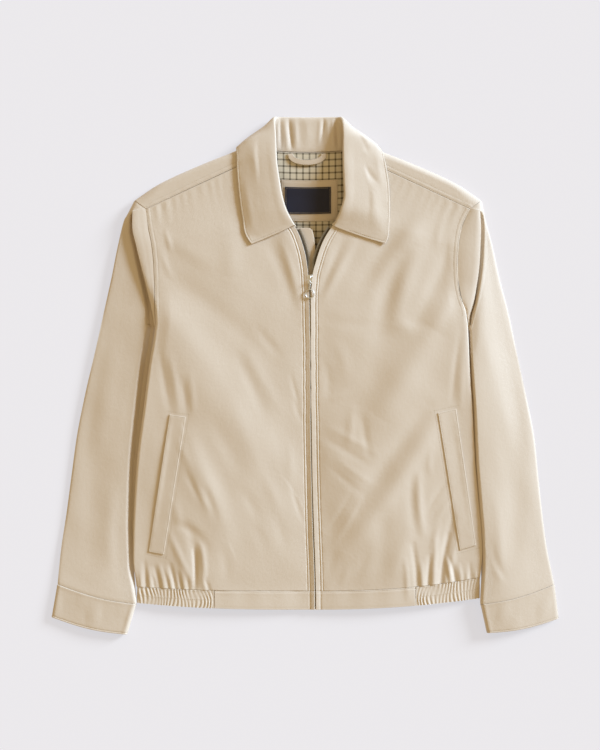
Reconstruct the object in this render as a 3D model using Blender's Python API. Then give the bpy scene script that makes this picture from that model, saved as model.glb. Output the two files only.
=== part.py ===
"""A zip-front harrington jacket lying flat on its back, closed to the chest.

Pattern coordinates are millimetres: x runs across the jacket with the wearer's right at -x, y runs
from the hem (0) to the collar, and z runs up from the surface that the jacket lies on. Each panel is
a wall of cloth built round a grid of middle points; the root empty then moves the whole jacket so
that its origin is the bottom centre of its box. Everything is scaled to metres as it is made.
"""

import math
from collections import namedtuple

import bpy
import numpy as np
from mathutils import Vector

# ---------------------------------------------------------------------------------------------
# Driving sizes, millimetres
# ---------------------------------------------------------------------------------------------
MM = 0.001
SHELL = 1.5  # wall of the shell cloth with its lining
COLLAR_WALL = 1.8  # of the fused collar
CUFF = 1.8  # wall of the double cuff
BAND = 1.8  # wall of the hem band
THIN = 1.0  # wall of lining, tape and facings
LABEL = 1.0  # wall of the woven label
SEAM = 0.3  # gap left between two pieces at a seam
EDGE_GAP = 0.6  # between the middles of two walls that meet edge to edge at an angle
FLOOR = SHELL / 2  # height of the middle of a wall that lies on the surface

NECK_Y = 687.0  # back neck seam above the hem
SHOULDER_NECK_X = 70.0  # where the shoulder fold meets the neck
SHOULDER_TIP_X = 260.0
SHOULDER_ROUND = 9.0  # how far the shoulder fold rounds over, along y
UNDERARM_Y = 429.0
ARM_JOIN_Y = 601.5  # forward shoulder seam at the armhole
STRIP_TIP_X = 243.0  # outer end of the forward shoulder seam
STRIP_NECK_X = 70.0  # inner end of the forward shoulder seam
STRIP_NECK_Y = 682.0
BAND_TOP = 28.0  # hem seam above the hem at the centre front
SIDE_ROLL = 15.0  # width over which a front rounds down to the side seam
PLACKET = 26.0  # the folds die away over this width beside the zip
FOLD_START = 26.0  # and over this width beside the side seam or the armhole
BACK_ROLL = 9.0  # width over which the back rounds up to the side seam
UNDERARM_BLEND = 38.0  # height over which the side roll gives way to the armhole
ARMHOLE_TOP_Z = 14.0  # middle of a front at its armhole
ARMHOLE_REACH = 55.0  # how far from the armhole a front comes down to that height
SIDE_LIFT = 4.9  # the back lies over the inner edge of each sleeve
SIDE_LIFT_WIDTH = 33.0
SIDE_LIFT_BLEND = 30.0
HEM_FLAT_Y = 36.0  # below it the back lies flat to its side seams
HEM_FLAT_BLEND = 24.0
SLEEVE_PARTS = 66.0  # height above the underarm by which the back no longer lies over the sleeve
NECK_LIFT = 4.3  # the back lies over the collar's fall behind the neck
NECK_LIFT_X = 122.0
NECK_LIFT_Y = 615.0
NECK_LIFT_BLEND = 45.0
SEAM_RIDGE = 0.4  # height of the forward shoulder seam over the shoulder

ZIP_GAP = 1.7  # from the zip's centre line to a front's edge
TAPE_WIDTH = 14.0
TAPE_SHOW = 4.6  # how far a tape stands out of the front's edge where the zip is open
GUARD_WIDTH = 22.0

RIB_PITCH = 5.2  # of the elasticated hem
RIB_HEIGHT = 1.3
RIBS_PAST_SEAM = 1.5  # round the side fold, short of the underside that rests flat

WELT_RISE = 0.45  # between a front and the welt on it
SLIDER_CENTRE = (2.6, 495.6)
RING_RADIUS = 6.3
RING_WIRE = 0.85
RING_SIDES = 8

Side = namedtuple("Side", "name sign")
SIDES = (Side("right", -1.0), Side("left", 1.0))


class Table:
    """A short table with named columns, read between its rows along a smooth curve."""

    def __init__(self, columns, *rows):
        values = np.array(rows, float)
        self.columns = {name: values[:, i] for i, name in enumerate(columns.split())}

    def __getitem__(self, column):
        return self.columns[column]

    def read(self, column, key, at):
        """The column's value where the key column has the value at, with no overshoot."""
        known, values = self.columns[key], self.columns[column]
        if known[0] > known[-1]:
            known, values = known[::-1], values[::-1]
        steps = np.diff(known)
        slopes = np.diff(values) / steps
        tangents = np.empty_like(values)
        tangents[0], tangents[-1] = slopes[0], slopes[-1]
        same_way = slopes[:-1] * slopes[1:] > 0
        weight_a = 2 * steps[1:] + steps[:-1]
        weight_b = steps[1:] + 2 * steps[:-1]
        safe = np.where(same_way, slopes[:-1] * slopes[1:], 1.0)
        harmonic = (weight_a + weight_b) * safe / (weight_a * slopes[1:] + weight_b * slopes[:-1] + 1e-12)
        tangents[1:-1] = np.where(same_way, harmonic, 0.0)
        at = np.clip(np.asarray(at, float), known[0], known[-1])
        place = np.clip(np.searchsorted(known, at) - 1, 0, len(steps) - 1)
        t = (at - known[place]) / steps[place]
        rise = steps[place]
        return (
            (2 * t**3 - 3 * t**2 + 1) * values[place]
            + (t**3 - 2 * t**2 + t) * rise * tangents[place]
            + (3 * t**2 - 2 * t**3) * values[place + 1]
            + (t**3 - t**2) * rise * tangents[place + 1]
        )


# ---------------------------------------------------------------------------------------------
# Tables of the cut, millimetres; "right" and "left" are the wearer's, widths are from x = 0
# ---------------------------------------------------------------------------------------------
BODY_SIDE = Table(
    "y right left",
    (-5, 254.5, 256),
    (28, 257.3, 258.5),
    (72, 262, 261.5),
    (114, 262, 260),
    (166, 260, 255.5),
    (219, 256.5, 251),
    (303, 246, 246.5),
    (371, 237, 242),
    (400, 232, 240.5),
    (429, 228, 239),
)
ARMHOLE_FRONT = Table(
    "y right left",
    (429, 228, 239),
    (447, 228.8, 236),
    (465, 229.5, 230),
    (492, 230, 225),
    (520, 231.2, 224),
    (547, 234, 225.5),
    (574.5, 239.4, 230.5),
    (601.5, 243, 243),
)
ARMHOLE_BACK = Table(
    "y right left",
    (429, 228, 239),
    (447, 229, 236.5),
    (465, 231, 236),
    (492, 235, 237),
    (530, 242, 243),
    (568, 251, 252),
    (605, 260, 260),
)
SHOULDER = Table(
    "x fold_y top_z",
    (0, 700, 14.5),
    (70, 700, 14.5),
    (123, 682, 14),
    (178, 660, 13.5),
    (226, 637, 13),
    (260, 614, 13),
)
FRONT_EDGE = Table(
    "share right_x right_y left_x left_y",
    (0.000, 9.3, 28.0, 12.7, 28.0),
    (0.060, 8.6, 60.0, 12.0, 60.0),
    (0.160, 6.4, 120.0, 9.8, 120.0),
    (0.280, 4.2, 200.0, 7.6, 200.0),
    (0.420, 2.6, 300.0, 6.0, 300.0),
    (0.560, 1.9, 400.0, 5.3, 400.0),
    (0.640, 1.2, 460.0, 4.7, 460.0),
    (0.690, 0.2, 500.0, 6.0, 497.0),
    (0.740, -2.8, 526.0, 12.5, 525.0),
    (0.790, -8.5, 549.0, 22.0, 552.0),
    (0.840, -19.0, 573.0, 36.5, 575.5),
    (0.880, -36.0, 588.0, 52.0, 592.0),
    (0.920, -56.0, 612.0, 66.0, 615.0),
    (0.960, -69.5, 650.0, 73.0, 650.0),
    (1.000, -70.0, 681.5, 70.5, 681.5),
)
LOFT = Table(
    "y front seam_share",
    (0, 8.6, 0.46),
    (30, 9.0, 0.46),
    (60, 13.0, 0.42),
    (100, 16.0, 0.4),
    (250, 19.5, 0.38),
    (400, 20.5, 0.38),
    (500, 19.5, 0.4),
    (560, 18.0, 0.45),
    (620, 16.0, 0.5),
    (700, 14.5, 0.5),
)
# The largest folds of the fronts: each runs from a through b to c, a ridge if its height is over 0.
Fold = namedtuple("Fold", "ax ay bx by cx cy width height")
FOLDS = {
    "right": (
        Fold(-225, 470, -150, 410, -40, 345, 20, 4.3),
        Fold(-165, 500, -95, 430, -30, 370, 18, -3.2),
        Fold(-226, 405, -214, 360, -206, 315, 13, 3.5),
        Fold(-180, 360, -130, 290, -90, 240, 20, 3.5),
        Fold(-158, 318, -100, 205, -86, 110, 20, -3.5),
        Fold(-172, 240, -150, 165, -160, 110, 14, 2.9),
        Fold(-168, 78, -166, 52, -164, 33, 7, -4.6),
    ),
    "left": (
        Fold(54, 560, 40, 520, 26, 500, 10, -2.9),
        Fold(96, 555, 50, 490, 18, 460, 15, 3.5),
        Fold(140, 560, 118, 470, 158, 395, 18, -3.5),
        Fold(184, 280, 140, 215, 90, 165, 18, -4.1),
        Fold(170, 240, 100, 160, 72, 90, 16, 3.8),
        Fold(176, 200, 168, 120, 166, 60, 13, -2.9),
        Fold(220, 135, 196, 75, 196, 42, 9, -4.3),
    ),
}
GATHER_REACH = 80.0  # height of the gathers above the elastic
GATHER_HEIGHT = 2.2
# Columns of a front by their distance from its side edge: close round the side roll, then one for each
# ridge and valley of the gathers.
SIDE_STEPS = (0.0, 0.7, 2.5, 5.5, 9.5, 15.0, 21.0, 27.5, 34.0, 41.0, 48.0, 56.0, 64.0, 73.0, 83.0, 95.0)
HEM_CURVE_REACH = 110.0  # height over which a front's rows lose the curve of the hem
GATHER_FIRST = 5  # index in SIDE_STEPS from which ridges and valleys take turns
LEAST_SIDE_SCALE = 0.72  # of those steps, where a front is narrower than at its hem
CENTRE_STEPS = (0.1, 0.29, 0.47, 0.64, 0.8, 0.92, 1.0)  # shares of the rest of the way to the zip
FRONT_LEVELS = (28.0, 36.0, 48.0, 66.0, 95.0, 135.0, 180.0, 225.0, 270.0, 315.0, 355.0, 388.0, 412.0)
BACK_LEVELS = (28.0, 38.0, 60.0, 130.0, 220.0, 310.0, 370.0, 405.0)
BACK_STEPS = (0.0, 0.7, 2.5, 5.5, 9.0, 20.0, 33.0, 62.0, 120.0)


def by_side(table, key, at, x):
    """The width of the wearer's right or left, chosen by the sign of x."""
    return np.where(np.asarray(x) < 0, table.read("right", key, at), table.read("left", key, at))


def blend(a, b, share):
    return a + (b - a) * share


def smooth_step(value):
    value = np.clip(value, 0.0, 1.0)
    return value * value * (3 - 2 * value)


def hem_bottom(x):
    x = np.asarray(x, float)
    return np.where(x < 0, 10 * (np.abs(x) / 255) ** 2.5, 17 * (np.abs(x) / 257) ** 2.2)


def hem_top(x):
    x = np.asarray(x, float)
    return BAND_TOP + np.where(x < 0, 6 * (np.abs(x) / 255) ** 3, 20 * (np.abs(x) / 257) ** 2.5)


def half_width(x, y):
    """Half the width of the body at this height: to the side seam, then to the back armhole."""
    return np.where(
        np.asarray(y) < UNDERARM_Y, by_side(BODY_SIDE, "y", y, x), by_side(ARMHOLE_BACK, "y", y, x)
    )


def flat_back_height(x, y):
    """Middle of the back before it rounds up to the side seams."""
    x, y = np.asarray(x, float), np.asarray(y, float)
    inset = half_width(x, y) - np.abs(x)
    along = smooth_step((y - HEM_FLAT_Y) / HEM_FLAT_BLEND)
    along = along * (1 - smooth_step((y - UNDERARM_Y) / SLEEVE_PARTS))
    over_sleeve = SIDE_LIFT * along * (1 - smooth_step((inset - SIDE_LIFT_WIDTH) / SIDE_LIFT_BLEND))
    behind_neck = smooth_step((y - NECK_LIFT_Y) / NECK_LIFT_BLEND)
    over_fall = NECK_LIFT * behind_neck * (1 - smooth_step((np.abs(x) - NECK_LIFT_X) / NECK_LIFT_BLEND))
    return FLOOR + over_sleeve + over_fall


def fold_height(x, y, side):
    """The sum of the folds of one front, each a soft ridge or trough along its own curve."""
    total = np.zeros(np.broadcast(x, y).shape)
    for fold in FOLDS[side.name]:
        share = np.linspace(0, 1, 17)
        curve_x = (1 - share) ** 2 * fold.ax + 2 * share * (1 - share) * fold.bx + share**2 * fold.cx
        curve_y = (1 - share) ** 2 * fold.ay + 2 * share * (1 - share) * fold.by + share**2 * fold.cy
        distance = np.hypot(np.asarray(x)[..., None] - curve_x, np.asarray(y)[..., None] - curve_y)
        nearest = distance.argmin(axis=-1)
        fade = np.sin(np.pi * np.clip(share[nearest] * 0.86 + 0.07, 0, 1)) ** 0.6
        total += fold.height * fade * np.exp(-((distance.min(axis=-1) / fold.width) ** 2))
    return total


def edge_seam_height(x, y):
    """Height of the side seam, halfway round the side fold."""
    back = flat_back_height(x, y)
    share = LOFT.read("seam_share", "y", y)
    return back + (LOFT.read("front", "y", y) - back) * share


def front_height(x, y, inset, from_edge, side):
    """Middle of a front: its loft and folds, rounding down to the side seam below the underarm.

    inset is the distance from the side edge, and from_edge that from the zip's edge.
    """
    y = np.asarray(y, float)
    top = LOFT.read("front", "y", y)
    arm = smooth_step((y - UNDERARM_Y) / UNDERARM_BLEND)
    near_arm = np.exp(-((inset / ARMHOLE_REACH) ** 2)) * smooth_step((y - UNDERARM_Y) / ARMHOLE_REACH)
    top = top + (ARMHOLE_TOP_Z - top) * near_arm
    calm = smooth_step(inset / FOLD_START) * blend(0.3, 1.0, smooth_step(from_edge / PLACKET))
    top = top + fold_height(x, y, side) * calm
    rounding = np.sqrt(np.clip(1 - (1 - np.clip(inset / SIDE_ROLL, 0, 1)) ** 2, 0, 1))
    seam = edge_seam_height(x, y) + EDGE_GAP / 2
    rolled = seam + (top - seam) * rounding
    return rolled + (top - rolled) * arm


def back_height(x, y):
    """Middle of the back, rounding up to the side seam below the underarm."""
    y = np.asarray(y, float)
    inset = half_width(x, y) - np.abs(x)
    base = flat_back_height(x, y)
    arm = smooth_step((y - UNDERARM_Y) / UNDERARM_BLEND)
    rounding = 1 - np.sqrt(np.clip(1 - (1 - np.clip(inset / BACK_ROLL, 0, 1)) ** 2, 0, 1))
    seam = edge_seam_height(x, y) - EDGE_GAP / 2
    return base + (seam - base) * rounding * (1 - arm)


# ---------------------------------------------------------------------------------------------
# Making walls and objects
# ---------------------------------------------------------------------------------------------
def make_material(name, colour, roughness, metallic=0.0):
    material = bpy.data.materials.new(name)
    material.use_nodes = True
    shader = material.node_tree.nodes["Principled BSDF"]
    shader.inputs["Base Color"].default_value = (*colour, 1.0)
    shader.inputs["Roughness"].default_value = roughness
    shader.inputs["Metallic"].default_value = metallic
    return material


def grid_normals(grid, ring):
    """Unit normals of a grid of points; ring closes the columns on themselves."""
    along = np.gradient(grid, axis=0)
    if ring:
        across = (np.roll(grid, -1, axis=1) - np.roll(grid, 1, axis=1)) / 2
    else:
        across = np.gradient(grid, axis=1)
    normals = np.cross(along, across)
    return normals / np.linalg.norm(normals, axis=2, keepdims=True)


def wall_mesh(grid, thickness, ring=False, keep=None, raised=None):
    """Points and faces of a closed wall round a grid of middle points.

    keep marks the cells that are cloth; raised is added to the outer side of each point.
    """
    rows, columns = grid.shape[:2]
    normals = grid_normals(grid, ring)
    out = thickness / 2 + (0 if raised is None else raised)
    outer = grid + normals * np.broadcast_to(out, (rows, columns))[..., None]
    inner = grid - normals * thickness / 2
    points = np.concatenate([outer.reshape(-1, 3), inner.reshape(-1, 3)])
    below = rows * columns
    faces, uses = [], {}
    for row in range(rows - 1):
        for column in range(columns if ring else columns - 1):
            if keep is not None and not keep[row, column]:
                continue
            after = (column + 1) % columns
            corners = (
                row * columns + column,
                (row + 1) * columns + column,
                (row + 1) * columns + after,
                row * columns + after,
            )
            faces.append(corners)
            faces.append(tuple(below + corner for corner in reversed(corners)))
            for start, end in zip(corners, corners[1:] + corners[:1]):
                uses[(start, end)] = True
    for start, end in uses:
        if (end, start) not in uses:
            faces.append((end, start, start + below, end + below))
    return points, faces


def add_object(name, points, faces, material, origin=(0.0, 0.0, 0.0), smooth=True):
    """One named object from points in millimetres, with its own origin and material."""
    shifted = (np.asarray(points, float) - np.asarray(origin, float)) * MM
    mesh = bpy.data.meshes.new(name)
    used = sorted({corner for face in faces for corner in face})
    place = {old: new for new, old in enumerate(used)}
    mesh.from_pydata(shifted[used].tolist(), [], [tuple(place[c] for c in face) for face in faces])
    mesh.update()
    if signed_volume(shifted[used], [tuple(place[c] for c in face) for face in faces]) < 0:
        mesh.flip_normals()
    if smooth:
        mesh.shade_smooth()
        mesh.set_sharp_from_angle(angle=math.radians(50))
    mesh.materials.append(material)
    made = bpy.data.objects.new(name, mesh)
    made.location = Vector(origin) * MM
    bpy.context.scene.collection.objects.link(made)
    return made


def signed_volume(points, faces):
    total = 0.0
    for face in faces:
        first = points[face[0]]
        for b, c in zip(face[1:-1], face[2:]):
            total += float(np.dot(first, np.cross(points[b], points[c])))
    return total / 6


def add_wall(name, grid, thickness, material, **options):
    points, faces = wall_mesh(grid, thickness, **options)
    return add_object(name, points, faces, material)


# ---------------------------------------------------------------------------------------------
# Back, with the strips that wrap forward over the shoulders
# ---------------------------------------------------------------------------------------------
FOLD_ANGLES = tuple(math.radians(a) for a in (-60, -30, 0, 30, 60, 90))
STRIP_SHARES = (0.5, 1.0)
BACK_ROLL_ENDS_Y = 500.0  # above it the back's side edge is the armhole


def back_levels():
    """Heights of the back's rows at its side edges, from the hem to the start of the shoulder fold."""
    return np.array(BACK_LEVELS + tuple(ARMHOLE_BACK["y"]))


def shoulder_point(x, angle):
    """A point of the shoulder fold: angle -90 degrees lies below, 90 degrees on top."""
    fold_y = SHOULDER.read("fold_y", "x", np.abs(x))
    top = SHOULDER.read("top_z", "x", np.abs(x))
    low = flat_back_height(x, fold_y - SHOULDER_ROUND)
    y = fold_y - SHOULDER_ROUND + SHOULDER_ROUND * np.cos(angle)
    z = (top + low) / 2 + (top - low) / 2 * np.sin(angle)
    return np.stack([x, y, z], axis=-1)


def strip_seam(x):
    """The forward shoulder seam's point for a column that crosses the fold at x."""
    share = (np.abs(x) - SHOULDER_NECK_X) / (SHOULDER_TIP_X - SHOULDER_NECK_X)
    seam_x = np.sign(x) * blend(STRIP_NECK_X, STRIP_TIP_X, share)
    seam_y = blend(STRIP_NECK_Y, ARM_JOIN_Y, share)
    return np.stack([seam_x, seam_y, SHOULDER.read("top_z", "x", np.abs(x)) + SEAM_RIDGE], axis=-1)


def shoulder_rows(x):
    """The rows that wrap over the shoulder, for columns that cross the fold at x."""
    rows = [shoulder_point(x, angle) for angle in FOLD_ANGLES]
    top, seam = rows[-1], strip_seam(x)
    rows += [blend(top, seam, share) for share in STRIP_SHARES]
    for number, row in enumerate(rows[:-2]):
        row[..., 0] = blend(x, top[..., 0], number / len(FOLD_ANGLES))
    return rows


def back_columns():
    """Shares of the half width for the back's columns, from the wearer's right to left."""
    outer = [1 - step / SHOULDER_TIP_X for step in BACK_STEPS]
    neck = SHOULDER_NECK_X / SHOULDER_TIP_X
    half = sorted(outer + [0.40, neck, 0.14, 0.0])
    return np.array([-share for share in reversed(half[1:])] + half)


def back_grid():
    """The back's middle: rows from the hem to the shoulder, then round it to the forward seam."""
    columns = back_columns()
    levels = back_levels()
    rows = []
    for number, level in enumerate(levels):
        width = half_width(columns, np.full(columns.shape, level))
        x = columns * width
        fold_x = columns * SHOULDER_TIP_X
        end_y = np.where(
            np.abs(fold_x) < SHOULDER_NECK_X - 1,
            NECK_Y + 4 * (np.abs(fold_x) / SHOULDER_NECK_X) ** 2,
            SHOULDER.read("fold_y", "x", np.abs(fold_x)) - SHOULDER_ROUND,
        )
        share = (level - levels[0]) / (levels[-1] - levels[0])
        start = hem_top(x) + EDGE_GAP
        y = blend(start, end_y, share) if number else start
        level_y = level + (start - levels[0]) * (1 - share) ** 6
        y = np.where(np.abs(columns) > 0.99, level_y, y)
        z = flat_back_height(x, y)
        if level < BACK_ROLL_ENDS_Y:
            z = np.maximum(z, back_height(x, np.full(columns.shape, level)))
        rows.append(np.stack([x, y, z], axis=-1))
    fold_x = columns * SHOULDER_TIP_X
    rows += shoulder_rows(fold_x)
    return np.array(rows)


def back_keep(grid):
    """The wrap rows are cloth only outside the neck."""
    columns = back_columns()
    flat_rows = len(back_levels())
    keep = np.ones((grid.shape[0] - 1, grid.shape[1] - 1), bool)
    middle = np.abs((columns[1:] + columns[:-1]) / 2) < SHOULDER_NECK_X / SHOULDER_TIP_X
    keep[flat_rows - 1 :, middle] = False
    return keep


# ---------------------------------------------------------------------------------------------
# Fronts
# ---------------------------------------------------------------------------------------------
def front_grid(side):
    """Rows from the hem to the shoulder seam, columns from the side edge to the zip."""
    levels = np.array(FRONT_LEVELS + tuple(ARMHOLE_FRONT["y"]))
    side_x = np.where(
        levels < UNDERARM_Y,
        BODY_SIDE.read(side.name, "y", levels),
        ARMHOLE_FRONT.read(side.name, "y", levels),
    )
    lengths = np.concatenate([[0], np.cumsum(np.hypot(np.diff(levels), np.diff(side_x)))])
    share = lengths / lengths[-1]
    edge_x = FRONT_EDGE.read(side.name + "_x", "share", share)
    edge_y = FRONT_EDGE.read(side.name + "_y", "share", share)
    rows = []
    for row, level in enumerate(levels):
        start = np.array([side.sign * side_x[row], level])
        end = np.array([edge_x[row], edge_y[row]])
        span = abs(end[0] - start[0])
        hem_span = abs(edge_x[0] - side.sign * side_x[0])
        steps = [step * max(span / hem_span, LEAST_SIDE_SCALE) / span for step in SIDE_STEPS]
        steps = np.array(steps + [blend(steps[-1], 1.0, step) for step in CENTRE_STEPS])
        x = blend(start[0], end[0], steps)
        y = blend(start[1], end[1], steps)
        rise = hem_top(x) + EDGE_GAP - BAND_TOP
        y = y + rise * (1 - smooth_step((level - BAND_TOP) / HEM_CURVE_REACH))
        z = front_height(x, y, np.abs(x - start[0]), np.abs(end[0] - x), side)
        z = z + gathers(level, len(SIDE_STEPS), len(steps))
        rows.append(np.stack([x, y, z], axis=-1))
    grid = np.array(rows)
    top = grid[-1]
    along = np.abs(top[:, 0] - top[0, 0]) / abs(top[-1, 0] - top[0, 0])
    seam_z = SHOULDER.read("top_z", "x", blend(SHOULDER_TIP_X, SHOULDER_NECK_X, along)) + SEAM_RIDGE
    for back_by, weight in ((1, 1.0), (2, 0.6)):
        grid[-back_by, :, 2] = blend(grid[-back_by, :, 2], seam_z, weight)
    grid[-1, :, 1] -= EDGE_GAP
    return grid


def gathers(level, side_count, count):
    """Ridges and valleys in turn above the elastic, dying away up the front."""
    height = np.zeros(count)
    reach = 1 - smooth_step((level - BAND_TOP) / GATHER_REACH)
    for column in range(GATHER_FIRST, side_count):
        uneven = 0.75 + 0.25 * math.sin(1.7 * column + 0.4)
        height[column] = GATHER_HEIGHT * uneven * (1 if column % 2 else -1) * reach
    return height


def surface_height(grid, x, y):
    """Height of a panel's middle at x, y, read from its grid's own triangles."""
    x, y = np.atleast_1d(x).astype(float), np.atleast_1d(y).astype(float)
    best = np.full(x.shape, -np.inf)
    corners = (grid[:-1, :-1], grid[1:, :-1], grid[1:, 1:], grid[:-1, 1:])
    for triple in ((0, 1, 2), (0, 2, 3), (0, 1, 3), (1, 2, 3)):
        a, b, c = (corners[i].reshape(-1, 3) for i in triple)
        area = (b[:, 0] - a[:, 0]) * (c[:, 1] - a[:, 1]) - (c[:, 0] - a[:, 0]) * (b[:, 1] - a[:, 1])
        area = np.where(np.abs(area) < 1e-9, 1e-9, area)
        for number in range(len(x)):
            px, py = x[number], y[number]
            u = ((b[:, 0] - px) * (c[:, 1] - py) - (c[:, 0] - px) * (b[:, 1] - py)) / area
            v = ((c[:, 0] - px) * (a[:, 1] - py) - (a[:, 0] - px) * (c[:, 1] - py)) / area
            w = 1 - u - v
            inside = (u >= -1e-6) & (v >= -1e-6) & (w >= -1e-6)
            if inside.any():
                z = u * a[:, 2] + v * b[:, 2] + w * c[:, 2]
                best[number] = max(best[number], z[inside].max())
    return best


# ---------------------------------------------------------------------------------------------
# Sleeves
# ---------------------------------------------------------------------------------------------
SLEEVE_EDGE = Table(
    "y right left",
    (-20, 383, 377),
    (37, 376, 370),
    (75, 373, 361.5),
    (120, 366, 355.5),
    (165, 360, 349.5),
    (210, 354, 345),
    (255, 348, 340.5),
    (300, 339, 331.5),
    (345, 330, 322.5),
    (412, 313.5, 307.5),
    (457, 304, 298.5),
    (502, 294, 286.5),
    (547, 285, 276.5),
    (570, 280, 270.5),
    (592, 273, 264.5),
    (614, 260, 260),
)
# How far a sleeve's inner edge lies under the body; below 0 it lies beside it.
UNDERLAP = Table(
    "y width",
    (7, -3.2),
    (44, -1.8),
    (62, -0.6),
    (95, 8),
    (130, 17),
    (200, 22),
    (285, 22),
    (335, 15),
    (372, 5),
    (394, -1.6),
    (429, -2.0),
)
SLEEVE_RINGS = Table(
    "number outer_y inner_y crown edge",
    (0, 583, 421, 12.5, 6.5),
    (1, 549, 408, 13.5, 6.5),
    (2, 500, 388, 14.5, 6.5),
    (3, 446, 356, 15.5, 6.5),
    (4, 388, 318, 16.0, 6.5),
    (5, 326, 274, 16.0, 6.5),
    (6, 264, 226, 15.5, 6.5),
    (7, 205, 176, 15.0, 6.3),
    (8, 148, 124, 14.0, 6.0),
    (9, 92, 68, 12.5, 5.6),
    (10, 37.7, 8.5, 10.5, 5.2),
)
SLEEVE_FOLD = Table(
    "y right left",
    (427, 230.2, 241.2),
    (444, 232.5, 243.5),
    (462, 236, 248),
    (489, 242.5, 252.5),
    (516, 249.5, 256),
    (543, 256, 257.5),
    (572, 262.5, 258.5),
    (598, 262.5, 257.5),
)
# The head of a sleeve, point by point down the armhole from the shoulder: the way out of the seam in
# plan, the height of the fold over the groove, and how far the groove reaches under it.
SLEEVE_HEAD = Table(
    "index out_degrees fold_y fold_z under drop",
    (0, 0, 604, 7, 0, 0),
    (1, -15, 603, 10, 0, 0.5),
    (2, -35, 602, 12.5, 0, 1.2),
    (3, -50, 601, 14.2, 0.3, 2.2),
    (4, -54, 600, 15.2, 1.0, 3.4),
    (5, -25, 598, 16.0, 2.5, 5.0),
    (6, -9, 572, 18.2, 6.5, 8.8),
    (7, -9, 543, 19.4, 9.0, 10.8),
    (8, -4, 516, 19.6, 10.0, 11.0),
    (9, 0, 489, 18.8, 9.0, 10.4),
    (10, 0, 462, 16.6, 6.0, 8.4),
    (11, -6, 444, 13.0, 2.0, 5.0),
    (12, -22, 427, 9.0, 0.0, 1.0),
)
HEAD_TOP_COUNT = 13
GROOVE_STARTS = 2.5  # reach of the groove from which a sleeve's head has its full form
TOP_FROM_OUTER = (0.0, 1.2, 4.5, 9.5, 16.0, 26.0)
TOP_SHARES = (0.2, 0.42, 0.64, 0.82)
TOP_FROM_INNER = (9.0, 2.0, 0.0)
BOTTOM_FROM_INNER = (1.4, 8.0)
BOTTOM_SHARES = (0.66, 0.5, 0.33)
BOTTOM_FROM_OUTER = (14.0, 4.5, 1.2)
UNDERARM_GAP = 1.35  # more room at the underarm, where three pieces meet
MARGIN_TOP = 3.0  # middle of a sleeve's upper wall where it lies under the body
CUFF_BOW = 4.5  # of the wrist edge, downwards
# Outer and inner point of each wrist edge.
CUFF_END = {"right": ((384.6, -12.0), (272.7, -37.5)), "left": ((376.0, -14.0), (269.5, -34.8))}
SLEEVE_BOW = {"right": (0.0, 0.0, 0.0), "left": (5.0, 3.0, 1.0)}  # of the first rings, outwards


def ellipse_rise(distance, width):
    return np.sqrt(np.clip(1 - (1 - np.clip(distance / width, 0, 1)) ** 2, 0, 1))


def ring_places(width):
    """Distances from the outer edge of a flattened ring's points: over the top, then back below."""
    span = width - TOP_FROM_OUTER[-1]
    top = list(TOP_FROM_OUTER) + [TOP_FROM_OUTER[-1] + span * share for share in TOP_SHARES]
    top += [width - step for step in TOP_FROM_INNER]
    bottom = [width - step for step in BOTTOM_FROM_INNER]
    bottom += [width * share for share in BOTTOM_SHARES] + list(BOTTOM_FROM_OUTER)
    return np.array(top), np.array(bottom)


def beside_body(x, y, side):
    """Distance of a sleeve's point outside the body's edge, or outside the fold above the underarm."""
    edge = np.where(
        y < 427, BODY_SIDE.read(side.name, "y", y), SLEEVE_FOLD.read(side.name, "y", y)
    )
    return np.abs(x) - edge


def flattened_ring(side, outer, inner, crown, edge, margin, bow=0.0, sag=0.0):
    """A closed ring between its outer and inner points, flat below and crowned above.

    margin is 1 where the inner side is pressed flat by the body that lies on it, or beside it.
    """
    outer, inner = np.array(outer, float), np.array(inner, float)
    width = np.linalg.norm(inner - outer)
    top, bottom = ring_places(width)
    inner_edge = blend(edge, (FLOOR + MARGIN_TOP) / 2, margin)
    points = []
    for places, above in ((top, True), (bottom, False)):
        share = places / width
        plan = outer + (inner - outer) * share[:, None]
        swell = np.sin(np.pi * share)
        plan[:, 0] += bow * swell
        plan[:, 1] -= sag * swell
        mid = blend(edge, inner_edge, share)
        near_outer, near_inner = ellipse_rise(places, 15.0), ellipse_rise(width - places, 12.0)
        if above:
            hump = crown * (0.86 + 0.14 * np.sin(np.pi * np.clip(share * 1.1, 0, 1)))
            z = mid + (hump - mid) * np.minimum(near_outer, near_inner)
            gap = beside_body(plan[:, 0], plan[:, 1], side)
            open_share = smooth_step((gap - 2.0) / 34.0)
            pressed = MARGIN_TOP + (z - MARGIN_TOP) * open_share
            at_edge = places > width - 1.0
            pressed = np.where(at_edge, (FLOOR + MARGIN_TOP) / 2, pressed)
            z = blend(z, pressed, margin)
        else:
            z = mid + (FLOOR - mid) * np.minimum(
                ellipse_rise(places, 9.0), ellipse_rise(width - places, blend(9.0, 1.6, margin))
            )
        points.append(np.column_stack([side.sign * plan[:, 0], plan[:, 1], z]))
    return np.concatenate(points)


def inner_point(side, y):
    return (BODY_SIDE.read(side.name, "y", y) - UNDERLAP.read("width", "y", y), y)


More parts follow.
